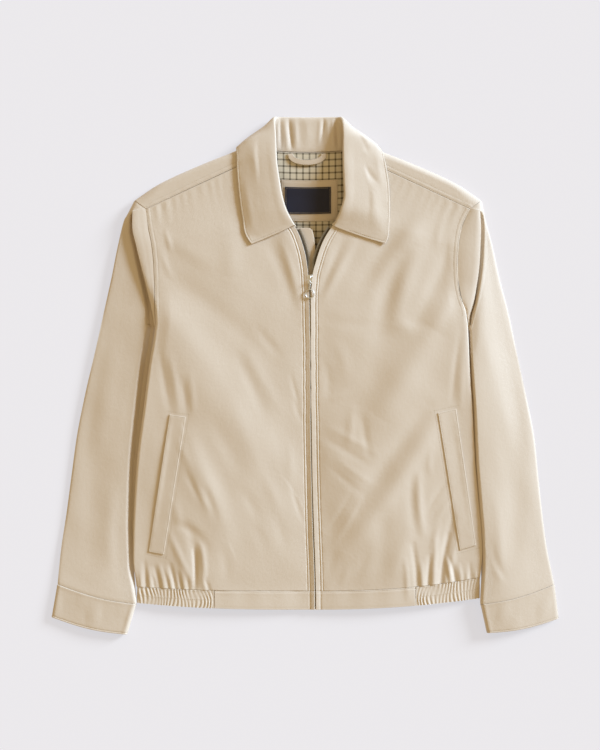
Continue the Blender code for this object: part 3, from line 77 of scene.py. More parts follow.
NECK_Y = 687.0
SHOULDER_NECK_X = 70.0
SHOULDER_TIP_X = 260.0
SHOULDER_ROUND = 9.0
UNDERARM_Y = 429.0
ARM_JOIN_Y = 601.5
STRIP_TIP_X = 243.0
STRIP_NECK_X = 70.0
STRIP_NECK_Y = 682.0
BAND_TOP = 28.0
PLACKET = 26.0
FOLD_START = 26.0
BACK_ROLL = 9.0
UNDERARM_BLEND = 38.0
ARMHOLE_TOP_Z = 16.6
ARMHOLE_REACH = 55.0
SIDE_LIFT, SIDE_LIFT_WIDTH, SIDE_LIFT_BLEND = 4.9, 33.0, 30.0
HEM_FLAT_Y, HEM_FLAT_BLEND = 36.0, 24.0
SLEEVE_PARTS = 66.0
NECK_LIFT, NECK_LIFT_X, NECK_LIFT_Y, NECK_LIFT_BLEND = 4.3, 122.0, 615.0, 45.0
SEAM_RIDGE = 0.2
LEFT_SINK, LEFT_SINK_WIDTH, LEFT_SINK_Y, LEFT_SINK_BLEND = 0.9, 3.5, 300.0, 60.0  # of the left front's side edge
ZIP_GAP = 1.7
SLIDER_CENTRE = (2.6, 495.6)
SLIDER_HALF_LENGTH = 6.9

NEAR_LINE = 1.6  # from a seam to its first topstitch
FAR_LINE = 6.6  # from a seam to its second topstitch
PLACKET_NEAR, PLACKET_FAR = 7.2, 10.8  # the two topstitches beside the zip

# Places from an edge at which a piece's grid has rows or columns; each topstitch lies on one of them.
PIECE_EDGE = (0.0, 0.35, 0.8, 1.2, 1.6, 2.0, 2.8)
COLLAR_EDGE = (0.0, 0.35, 0.8, 1.6, 2.5, 3.0, 3.5, 4.6)
CUFF_EDGE = (0.0, 0.35, 0.8, 1.4, 2.0, 2.5, 3.0, 3.8)
CUFF_LINE = 2.5
# The same as shares of a band's height or a loop's width.
RIB_SHARES = (
    0.0, 0.02, 0.05, 0.1, 0.18, 0.28, 0.37, 0.42, 0.46, 0.5, 0.55, 0.65, 0.76, 0.85, 0.9, 0.93, 0.96, 0.98, 1.0,
)  # fmt: skip
BAND_SHARES = (0.0, 0.013, 0.03, 0.06, 0.12, 0.22, 0.34, 0.46, 0.58, 0.7, 0.8, 0.87, 0.91, 0.94, 0.965, 0.985, 1.0)
BAND_LINE = 0.94
LOOP_SHARES = (-0.5, -0.46, -0.4, -0.33, -0.2, 0.0, 0.2, 0.33, 0.4, 0.46, 0.5)
LOOP_LINE = 0.4


class Side(Enum):
    """A side of the wearer, with the sign of its x."""

    RIGHT = -1.0
    LEFT = 1.0

    @property
    def label(self) -> str:
        """The side's name in lower case."""
        return self.name.lower()


# How far in from the side seam each side's fold is rounded.
SIDE_ROLL: dict[Side, float] = {Side.RIGHT: 3.6, Side.LEFT: 1.8}


class Facing(Enum):
    """Which way the outer side of a panel looks at its probe cell."""

    UP = 1.0
    DOWN = -1.0


def between_rows(
    values: Array, tangents: Array, place: Array, t: Array, rise: Array
) -> Array:
    """Points of a smooth curve, each t of the way from one row to the next.

    Args:
        values: the rows.
        tangents: the curve's slope at each row.
        place: the number of the row before each point.
        t: how far on from that row, 0 to 1.
        rise: the distance between the two rows.

    Returns:
        The points.
    """
    return (
        (2 * t**3 - 3 * t**2 + 1) * values[place]
        + (t**3 - 2 * t**2 + t) * rise * tangents[place]
        + (3 * t**2 - 2 * t**3) * values[place + 1]
        + (t**3 - t**2) * rise * tangents[place + 1]
    )


class Table:
    """A short table with named columns, read between its rows along a smooth curve."""

    def __init__(self, columns: str, *rows: tuple[float, ...]) -> None:
        """Stores the rows by column.

        Args:
            columns: the column names, parted by spaces.
            rows: one tuple of numbers for each row.
        """
        values = np.array(rows, float)
        self.columns = {name: values[:, i] for i, name in enumerate(columns.split())}

    def __getitem__(self, column: str) -> Array:
        """One whole column."""
        return self.columns[column]

    def read(self, column: str, key: str, at: Numbers) -> Array:
        """Reads a column between its rows, with no overshoot.

        Args:
            column: the column that is wanted.
            key: the column whose values are known.
            at: values of the key.

        Returns:
            The wanted column's values there.
        """
        known, values = self.columns[key], self.columns[column]
        if known[0] > known[-1]:
            known, values = known[::-1], values[::-1]
        steps = np.diff(known)
        slopes = np.diff(values) / steps
        tangents = np.empty_like(values)
        tangents[0], tangents[-1] = slopes[0], slopes[-1]
        same_way = slopes[:-1] * slopes[1:] > 0
        weight_a = 2 * steps[1:] + steps[:-1]
        weight_b = steps[1:] + 2 * steps[:-1]
        safe = np.where(same_way, slopes[:-1] * slopes[1:], 1.0)
        harmonic = (weight_a + weight_b) * safe / (weight_a * slopes[1:] + weight_b * slopes[:-1] + 1e-12)
        tangents[1:-1] = np.where(same_way, harmonic, 0.0)
        at = np.clip(np.asarray(at, float), known[0], known[-1])
        place = np.clip(np.searchsorted(known, at) - 1, 0, len(steps) - 1)
        return between_rows(values, tangents, place, (at - known[place]) / steps[place], steps[place])


# ---- Tables of the cut, millimetres ----
BODY_SIDE = Table(
    "y right left",
    (-5, 254.5, 256), (28, 257.3, 258.5), (72, 262, 261.5), (114, 262, 260), (166, 260, 255.5),
    (219, 256.5, 251), (303, 246, 246.5), (371, 237, 242), (400, 232, 240.5), (429, 228, 239),
)  # fmt: skip
ARMHOLE_FRONT = Table(
    "y right left",
    (429, 228, 239), (447, 228.8, 236), (465, 229.5, 230), (492, 230, 225), (520, 231.2, 224),
    (547, 234, 225.5), (574.5, 239.4, 230.5), (601.5, 243, 243),
)  # fmt: skip
ARMHOLE_BACK = Table(
    "y right left",
    (429, 228, 239), (447, 229, 236.5), (465, 231, 236), (492, 235, 237), (530, 242, 243),
    (568, 251, 252), (605, 260, 260),
)  # fmt: skip
SHOULDER = Table(
    "x fold_y top_z",
    (0, 700, 14.5), (70, 700, 14.5), (123, 682, 14), (178, 660, 13.5), (226, 637, 13), (260, 614, 13),
)  # fmt: skip
FRONT_EDGE = Table(
    "share right_x right_y left_x left_y",
    (0.000, 9.3, 28.0, 12.7, 28.0),
    (0.060, 8.6, 60.0, 12.0, 60.0),
    (0.160, 6.4, 120.0, 9.8, 120.0),
    (0.280, 4.2, 200.0, 7.6, 200.0),
    (0.420, 2.6, 300.0, 6.0, 300.0),
    (0.560, 1.9, 400.0, 5.3, 400.0),
    (0.640, 1.2, 460.0, 4.7, 460.0),
    (0.690, 0.2, 500.0, 6.0, 497.0),
    (0.740, -2.8, 526.0, 12.5, 525.0),
    (0.790, -8.5, 549.0, 22.0, 552.0),
    (0.840, -19.0, 573.0, 36.5, 575.5),
    (0.880, -36.0, 588.0, 52.0, 592.0),
    (0.920, -56.0, 612.0, 66.0, 615.0),
    (0.960, -69.5, 650.0, 73.0, 650.0),
    (1.000, -70.0, 681.5, 70.5, 681.5),
)
LOFT = Table(
    "y front seam_share",
    (0, 9.3, 0.46), (30, 10.0, 0.46), (60, 12.0, 0.43), (100, 14.4, 0.4), (160, 17.0, 0.39), (250, 19.2, 0.38),
    (400, 20.5, 0.38), (500, 19.5, 0.4), (560, 18.0, 0.45), (620, 16.0, 0.5), (700, 14.5, 0.5),
)  # fmt: skip


FOLD_STEPS = 12  # straight lengths that a crease is measured by


@dataclass(frozen=True)
class Fold:
    """A soft ridge (height over 0) or trough along a curve from a, drawn towards b, to c.

    skew makes the crease steeper on one side than on the other.
    """

    ax: float
    ay: float
    bx: float
    by: float
    cx: float
    cy: float
    width: float
    height: float
    skew: float = 0.0

    def relief(self, x: Array, y: Array) -> Array:
        """The crease's height at these places.

        Args:
            x: places across the jacket.
            y: places up the jacket.

        Returns:
            Heights in millimetres, nearly 0 away from the crease.
        """
        t = np.linspace(0, 1, FOLD_STEPS + 1)
        px = (1 - t) ** 2 * self.ax + 2 * t * (1 - t) * self.bx + t**2 * self.cx
        py = (1 - t) ** 2 * self.ay + 2 * t * (1 - t) * self.by + t**2 * self.cy
        total = np.zeros(np.broadcast(x, y).shape)
        reach = 3.2 * self.width * (1 + abs(self.skew))
        near = (x > px.min() - reach) & (x < px.max() + reach) & (y > py.min() - reach) & (y < py.max() + reach)
        if not near.any():
            return total
        fx, fy = np.broadcast_to(x, total.shape)[near], np.broadcast_to(y, total.shape)[near]
        best, along, cross = np.full(fx.shape, np.inf), np.zeros(fx.shape), np.zeros(fx.shape)
        for i in range(FOLD_STEPS):
            dx, dy = px[i + 1] - px[i], py[i + 1] - py[i]
            u = np.clip(((fx - px[i]) * dx + (fy - py[i]) * dy) / (dx * dx + dy * dy), 0, 1)
            ex, ey = fx - px[i] - u * dx, fy - py[i] - u * dy
            distance = np.hypot(ex, ey)
            closer = distance < best
            best = np.where(closer, distance, best)
            along = np.where(closer, (i + u) / FOLD_STEPS, along)
            cross = np.where(closer, np.sign(dx * ey - dy * ex), cross)
        fade = np.sin(np.pi * np.clip(along * 0.86 + 0.07, 0, 1)) ** 0.7
        total[near] = self.height * fade * np.exp(-((best / (self.width * (1 + self.skew * cross))) ** 2))
        return total


def creases(folds: Sequence[Fold], x: Array, y: Array) -> Array:
    """The sum of several creases' heights."""
    total = np.zeros(np.broadcast(x, y).shape)
    for fold in folds:
        total += fold.relief(x, y)
    return total


def folds(*rows: tuple[float, ...]) -> tuple[Fold, ...]:
    """A crease for each row of its sizes."""
    return tuple(Fold(*row) for row in rows)


FRONT_FOLDS: dict[Side, tuple[Fold, ...]] = {
    Side.RIGHT: folds(
        (-236, 466, -158, 372, -46, 212, 40, 3.8, -0.22), (-214, 506, -120, 440, -40, 360, 16, -1.3),
        (-180, 256, -156, 196, -122, 112, 20, 3.7, -0.15), (-140, 282, -122, 246, -100, 204, 12, -0.9),
        (-112, 300, -92, 262, -72, 206, 13, 0.9), (-26, 606, 8, 548, 10, 478, 34, 5.2),
        (-226, 402, -216, 350, -207, 300, 6, -1.0), (-206, 380, -198, 340, -194, 296, 5.5, 0.9),
        (-188, 345, -183, 320, -181, 292, 5, -0.8), (-176, 352, -172, 322, -171, 298, 5, 0.6),
        (-40, 552, -24, 510, -13, 462, 6, 1.1), (-56, 548, -36, 505, -24, 462, 9, -1.0),
        (-26, 352, -18, 325, -12, 300, 3.5, -0.6), (-24, 182, -17, 160, -9, 136, 3.5, -0.65),
        (-21, 314, -15, 296, -9, 282, 3.2, -0.6), (-76, 422, -60, 402, -44, 384, 7, -0.8),
        (-104, 380, -85, 340, -66, 296, 9, -0.8), (-90, 385, -70, 345, -46, 306, 9, 0.7),
        (-182, 206, -172, 186, -161, 166, 5.5, -1.0), (-155, 184, -147, 165, -139, 140, 6.5, -1.0),
        (-170, 190, -160, 172, -148, 150, 5, 0.7), (-199, 128, -166, 124, -152, 92, 7, -1.1),
        (-180, 124, -166, 96, -169, 58, 8, -1.7), (-171, 92, -168, 66, -170, 32, 3.0, -2.6, 0.25),
        (-161, 98, -153, 70, -158, 38, 4, 1.4), (-206, 112, -194, 82, -176, 44, 5, 1.2),
        (-200, 160, -192, 140, -196, 122, 6, 0.7), (-118, 560, -112, 530, -116, 500, 16, 1.5),
        (-215, 560, -190, 545, -150, 520, 12, 0.8), (-222, 545, -218, 520, -204, 500, 5, 0.7),
        (-214, 570, -208, 552, -206, 540, 4, 0.8), (-84, 130, -70, 110, -62, 84, 9, -0.5),
        (-66, 200, -52, 176, -44, 150, 8, 0.6), (-96, 176, -84, 160, -76, 140, 8, -0.6),
        (-50, 140, -40, 120, -36, 96, 8, -0.5), (-30, 250, -24, 220, -28, 190, 7, 0.5),
        (-192, 255, -186, 235, -176, 215, 6, 0.6), (-128, 92, -120, 70, -124, 46, 8, -0.6),
    ),
    Side.LEFT: folds(
        (68, 552, 38, 495, 20, 466, 8, 1.6), (52, 556, 30, 500, 16, 468, 7, -1.2),
        (185, 598, 135, 545, 96, 480, 15, 2.5), (160, 600, 112, 545, 84, 490, 15, -2.1),
        (166, 544, 140, 490, 132, 432, 14, 2.7), (139, 528, 112, 470, 108, 420, 15, -2.4),
        (136, 434, 148, 420, 166, 418, 10, 0.9, -0.2), (188, 420, 158, 366, 104, 290, 24, 4.8),
        (118, 430, 104, 375, 70, 300, 24, -1.6), (212, 535, 190, 480, 158, 425, 12, -2.2),
        (226, 500, 208, 450, 178, 410, 12, 2.0), (230, 420, 220, 370, 216, 315, 5, -1.0),
        (236, 400, 231, 350, 229, 305, 5, 1.1), (192, 282, 150, 205, 56, 90, 15, 3.3),
        (178, 302, 132, 240, 72, 158, 14, -2.7), (30, 275, 62, 256, 102, 236, 6, 0.65),
        (25, 258, 55, 240, 92, 217, 6, -0.7), (45, 226, 68, 206, 95, 190, 5.5, 0.55),
        (34, 214, 58, 191, 84, 174, 5.5, -0.6), (82, 290, 84, 262, 92, 232, 6, -0.9),
        (66, 300, 64, 272, 62, 250, 7, 1.0), (80, 172, 62, 136, 42, 105, 5, 0.8),
        (66, 178, 50, 146, 32, 120, 5, -0.7), (166, 202, 164, 160, 172, 116, 6, 1.4),
        (156, 200, 152, 160, 160, 118, 7, -0.9), (112, 140, 115, 105, 105, 56, 14, -1.2),
        (150, 120, 140, 85, 125, 48, 12, 1.2), (186, 240, 178, 222, 184, 205, 5, 0.6),
        (205, 190, 192, 172, 180, 150, 5, -0.8), (213, 165, 200, 150, 190, 132, 5, 0.8),
        (218, 148, 213, 110, 195, 64, 6, -1.6), (196, 128, 190, 108, 186, 90, 5, 1.0),
        (28, 436, 60, 424, 92, 430, 9, -0.6), (40, 400, 58, 380, 54, 350, 10, 0.7),
        (24, 372, 34, 350, 30, 318, 7, -0.6), (60, 330, 46, 318, 30, 316, 6, 0.6),
        (218, 560, 212, 540, 214, 515, 4, 0.8), (224, 532, 218, 512, 220, 490, 4, -0.7),
        (204, 590, 196, 570, 192, 548, 6, 0.8), (90, 90, 82, 66, 70, 44, 8, -0.6),
        (60, 64, 56, 50, 50, 36, 6, 0.5), (40, 90, 34, 70, 30, 50, 7, -0.5),
    ),
}  # fmt: skip
# Gathers that run up from the elastic: x at the seam, x and y of the upper end, width, height.
GATHERS: dict[Side, tuple[tuple[float, float, float, float, float], ...]] = {
    Side.RIGHT: (
        (-242, -246, 72, 3.0, -1.2), (-236, -239, 60, 2.8, 0.9), (-221, -230, 64, 3.0, -1.2),
        (-214, -223, 66, 3.2, 1.0), (-208, -212, 50, 2.4, -0.8), (-197, -207, 68, 3.0, -1.4),
        (-203, -212, 60, 3.0, 0.9), (-189, -195, 54, 2.6, -1.1), (-184, -190, 60, 2.6, 0.8),
        (-178, -181, 50, 2.2, -0.9), (-147, -155, 46, 3.0, -0.8), (-153, -158, 50, 3.0, 0.6),
        (-250, -252, 56, 2.6, 0.7), (-229, -233, 48, 2.2, -0.8),
    ),
    Side.LEFT: (
        (197, 211, 112, 4.0, -1.7), (207, 222, 98, 4.6, 1.3), (188, 192, 104, 4.0, 1.3),
        (180, 183, 80, 3.4, -1.6), (172, 170, 68, 3.2, 1.1), (166, 157, 98, 4.2, -1.5),
        (224, 212, 78, 2.8, -1.3), (217, 207, 80, 3.0, 1.1), (231, 226, 66, 3.0, 1.0),
        (245, 243, 70, 2.6, -0.9), (239, 238, 56, 2.6, 0.7), (150, 146, 74, 4.0, 0.9),
        (252, 252, 58, 2.2, 0.6), (211, 209, 56, 2.2, -0.9),
    ),
}  # fmt: skip


def gather_folds(side: Side) -> list[Fold]:
    """The gathers of one front as creases that keep their height at the seam."""
    made = []
    for x, top_x, top_y, width, height in GATHERS[side]:
        low = float(hem_top(x)) - (top_y - float(hem_top(x))) * 0.75
        made.append(Fold(x, low, x, (low + top_y) / 2, top_x, top_y, width, height))
    return made


def by_side(table: Table, key: str, at: Array, x: Array) -> Array:
    """The width of the wearer's right or left, chosen by the sign of x."""
    return np.where(np.asarray(x) < 0, table.read("right", key, at), table.read("left", key, at))


def blend(a: Numbers, b: Numbers, share: Numbers) -> Array:
    """A mix of a and b."""
    return np.asarray(a) + (np.asarray(b) - np.asarray(a)) * share


def smooth_step(value: Numbers) -> Array:
    """0 below 0, 1 above 1, and a smooth rise between."""
    value = np.clip(value, 0.0, 1.0)
    return value * value * (3 - 2 * value)


def climb(value: Numbers, start: Numbers, width: Numbers) -> Array:
    """A smooth rise from 0 at start to 1 a width further on."""
    return smooth_step((value - start) / width)


def bump(distance: Array, at: float, width: float) -> Array:
    """A soft bump of height 1 at a distance."""
    return np.exp(-(((distance - at) / width) ** 2))


def hem_bottom(x: Numbers) -> Array:
    """Height of the hem's lower edge."""
    x = np.asarray(x, float)
    return np.where(x < 0, 10 * (np.abs(x) / 255) ** 2.5, 17 * (np.abs(x) / 257) ** 2.2)


def hem_top(x: Numbers) -> Array:
    """Height of the hem seam."""
    x = np.asarray(x, float)
    return BAND_TOP + np.where(x < 0, 6 * (np.abs(x) / 255) ** 3, 20 * (np.abs(x) / 257) ** 2.5)


def half_width(x: Array, y: Array) -> Array:
    """Half the width of the body at this height: to the side seam, then to the back armhole."""
    return np.where(np.asarray(y) < UNDERARM_Y, by_side(BODY_SIDE, "y", y, x), by_side(ARMHOLE_BACK, "y", y, x))


def flat_back_height(x: Array, y: Array) -> Array:
    """Middle of the back before it rounds up to the side seams."""
    x, y = np.asarray(x, float), np.asarray(y, float)
    inset = half_width(x, y) - np.abs(x)
    along = climb(y, HEM_FLAT_Y, HEM_FLAT_BLEND)
    along = along * (1 - climb(y, UNDERARM_Y, SLEEVE_PARTS))
    over_sleeve = SIDE_LIFT * along * (1 - climb(inset, SIDE_LIFT_WIDTH, SIDE_LIFT_BLEND))
    behind_neck = climb(y, NECK_LIFT_Y, NECK_LIFT_BLEND)
    over_fall = NECK_LIFT * behind_neck * (1 - climb(np.abs(x), NECK_LIFT_X, NECK_LIFT_BLEND))
    return FLOOR + over_sleeve + over_fall


def edge_seam_height(x: Array, y: Array) -> Array:
    """Height of the side seam, part of the way round the side fold."""
    back = flat_back_height(x, y)
    return back + (LOFT.read("front", "y", y) - back) * LOFT.read("seam_share", "y", y)


def undulation(x: Array, y: Array) -> Array:
    """A faint broad unevenness, as loose cloth has between its creases."""
    return (
        0.34 * np.sin(x / 23 + y / 41 + 0.6)
        + 0.28 * np.sin(x / 37 - y / 29 + 2.1)
        + 0.16 * np.sin(x / 13 + y / 17 + 4.0) * np.sin(y / 33 + 1.0)
        + 0.12 * np.sin(-x / 11 + y / 25 + 1.3) * np.sin(x / 47 + 0.4)
    )


# How far the fronts dip at the zip and at the side, by height.
DIP = Table(
    "y zip side",
    (0, 2.5, 2.4), (60, 4.3, 4.6), (110, 5.9, 6.2), (170, 6.4, 6.4), (250, 5.6, 5.0), (330, 3.4, 2.6), (400, 1.5, 0.8),
    (455, 0, 0), (700, 0, 0),
)  # fmt: skip


# The same for the wearer's right and left: width of the zip's dip; start, width and share of the side's.
ZIP_DIP_WIDTH, SIDE_DIP_START = (150.0, 95.0), (165.0, 120.0)
SIDE_DIP_WIDTH, SIDE_DIP_SHARE = (95.0, 135.0), (0.7, 1.05)


def dip(x: Array, y: Array) -> Array:
    """How much lower than its crown a front lies, towards the zip and towards the side."""
    right, away = np.asarray(x) < 0, np.abs(x)
    to_zip = 1 - np.sin(np.clip(away / np.where(right, *ZIP_DIP_WIDTH), 0, 1) * math.pi / 2)
    to_side = climb(away, np.where(right, *SIDE_DIP_START), np.where(right, *SIDE_DIP_WIDTH))
    return DIP.read("zip", "y", y) * to_zip + DIP.read("side", "y", y) * to_side * np.where(right, *SIDE_DIP_SHARE)


def front_height(x: Array, y: Array, inset: Array, from_edge: Array, side: Side) -> Array:
    """Middle of a front: its loft and folds, rounding down to the side seam below the underarm.

    Args:
        x: places across.
        y: places up.
        inset: distances from the side edge.
        from_edge: distances from the zip's edge.
        side: the wearer's side.

    Returns:
        Heights of the middle of the wall.
    """
    top = LOFT.read("front", "y", y)
    arm = climb(y, UNDERARM_Y, UNDERARM_BLEND)
    near_arm = np.exp(-((inset / ARMHOLE_REACH) ** 2)) * climb(y, UNDERARM_Y, ARMHOLE_REACH)
    top = top + (ARMHOLE_TOP_Z - top) * near_arm
    calm = smooth_step(inset / FOLD_START) * blend(0.3, 1.0, smooth_step(from_edge / PLACKET))
    top = top + (0.8 * creases(FRONT_FOLDS[side], x, y) + undulation(x, y)) * calm - dip(x, y)
    top = top + creases(gather_folds(side), x, y) * smooth_step(inset / 7)
    rounding = np.sqrt(np.clip(1 - (1 - np.clip(inset / SIDE_ROLL[side], 0, 1)) ** 2, 0, 1))
    seam = edge_seam_height(x, y) + EDGE_GAP / 2
    rolled = seam + (top - seam) * rounding
    sink = LEFT_SINK * (side is Side.LEFT) * np.exp(-((inset / LEFT_SINK_WIDTH) ** 2))
    rolled = rolled - sink * climb(y, LEFT_SINK_Y, LEFT_SINK_BLEND)
    return rolled + (top - rolled) * arm


def back_height(x: Array, y: Array) -> Array:
    """Middle of the back, rounding up to the side seam below the underarm."""
    inset = half_width(x, y) - np.abs(x)
    base = flat_back_height(x, y)
    arm = climb(y, UNDERARM_Y, UNDERARM_BLEND)
    rounding = 1 - np.sqrt(np.clip(1 - (1 - np.clip(inset / BACK_ROLL, 0, 1)) ** 2, 0, 1))
    seam = edge_seam_height(x, y) - EDGE_GAP / 2
    return base + (seam - base) * rounding * (1 - arm)


def spread(total: float, step: float, start: Sequence[float], end: Sequence[float]) -> Array:
    """Places from 0 to total: the given ones at both ends and even ones between.

    Args:
        total: the whole length.
        step: about how far apart the even places are.
        start: places from the start, from 0 up.
        end: places from the end, from 0 up.

    Returns:
        The places in order.
    """
    count = max(int(round((total - end[-1] - start[-1]) / step)), 1)
    middle = np.linspace(start[-1], total - end[-1], count + 1)
    return np.concatenate([start[:-1], middle, total - np.array(end[:-1])[::-1]])


def curve_through(values: Array, known: Array, at: Array) -> Array:
    """A smooth curve through the rows of an array, read at other places.

    Args:
        values: the rows, of any shape after the first axis.
        known: the place of each row.
        at: the places that are wanted.

    Returns:
        The rows there.
    """
    steps = np.diff(known)
    shape = (-1,) + (1,) * (values.ndim - 1)
    slopes = np.diff(values, axis=0) / steps.reshape(shape)
    tangents = np.empty_like(values)
    a, b = steps[:-1].reshape(shape), steps[1:].reshape(shape)
    tangents[1:-1] = (b * slopes[:-1] + a * slopes[1:]) / (a + b)
    tangents[0], tangents[-1] = slopes[0], slopes[-1]
    place = np.clip(np.searchsorted(known, at, side="right") - 1, 0, len(steps) - 1)
    t = ((at - known[place]) / steps[place]).reshape(shape)
    return between_rows(values, tangents, place, t, steps[place].reshape(shape))


def chord_places(grid: Array) -> Array:
    """Places of a grid's rows by their mean distance from each other."""
    return np.concatenate([[0], np.cumsum(np.linalg.norm(np.diff(grid, axis=0), axis=2).mean(axis=1))])


def between(known: Array, step: float) -> Array:
    """The known places with even ones put between them, about a step apart."""
    made = [known[:1]]
    for low, high in zip(known[:-1], known[1:]):
        made.append(np.linspace(low, high, max(int(round((high - low) / step)), 1) + 1)[1:])
    return np.concatenate(made)


def refine(grid: Array, row_step: float, column_step: float, ring: bool = False) -> Array:
    """A finer grid along smooth curves through a coarse one.

    Args:
        grid: rows of points.
        row_step: about how far apart the new rows are.
        column_step: the same for the columns.
        ring: whether the columns close on themselves.

    Returns:
        The finer grid; a ring has no doubled last column.
    """
    rows = chord_places(grid)
    grid = curve_through(grid, rows, between(rows, row_step))
    turned = np.swapaxes(grid, 0, 1)
    if not ring:
        columns = chord_places(turned)
        return np.swapaxes(curve_through(turned, columns, between(columns, column_step)), 0, 1)
    count = len(turned)
    wrapped = np.concatenate([turned[-3:], turned, turned[:4]])
    columns = chord_places(wrapped)
    places = between(columns[3 : 4 + count], column_step)[:-1]
    return np.swapaxes(curve_through(wrapped, columns, places), 0, 1)


# ---- Panels ----
def pattern_offset() -> Array:
    """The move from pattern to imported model, in millimetres, from the zip slider's place in both."""
    low, high = (np.array(corner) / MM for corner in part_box("zip_slider"))
    middle = (low + high) / 2
    return np.array([middle[0] - SLIDER_CENTRE[0], middle[1] - SLIDER_CENTRE[1], 0.0])


OFFSET = pattern_offset()


def put_in_scene(name: str, data: bpy.types.ID) -> bpy.types.Object:
    """A new object in the scene, with this data."""
    made = bpy.data.objects.new(name, data)
    bpy.context.scene.collection.objects.link(made)
    return made


def new_object(
    name: str, points: Array, faces: Sequence[Sequence[int]], finish: Material
) -> bpy.types.Object:
    """An object from pattern points and faces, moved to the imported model's place.

    Args:
        name: the piece's name.
        points: corners in pattern millimetres.
        faces: corner numbers of each face.
        finish: its material.

    Returns:
        The object, at the origin, with its place in its mesh.
    """
    mesh = bpy.data.meshes.new(name)
    mesh.from_pydata(((np.asarray(points, float) + OFFSET) * MM).tolist(), [], [tuple(f) for f in faces])
    mesh.update()
    mesh.materials.append(finish)
    return put_in_scene(name, mesh)


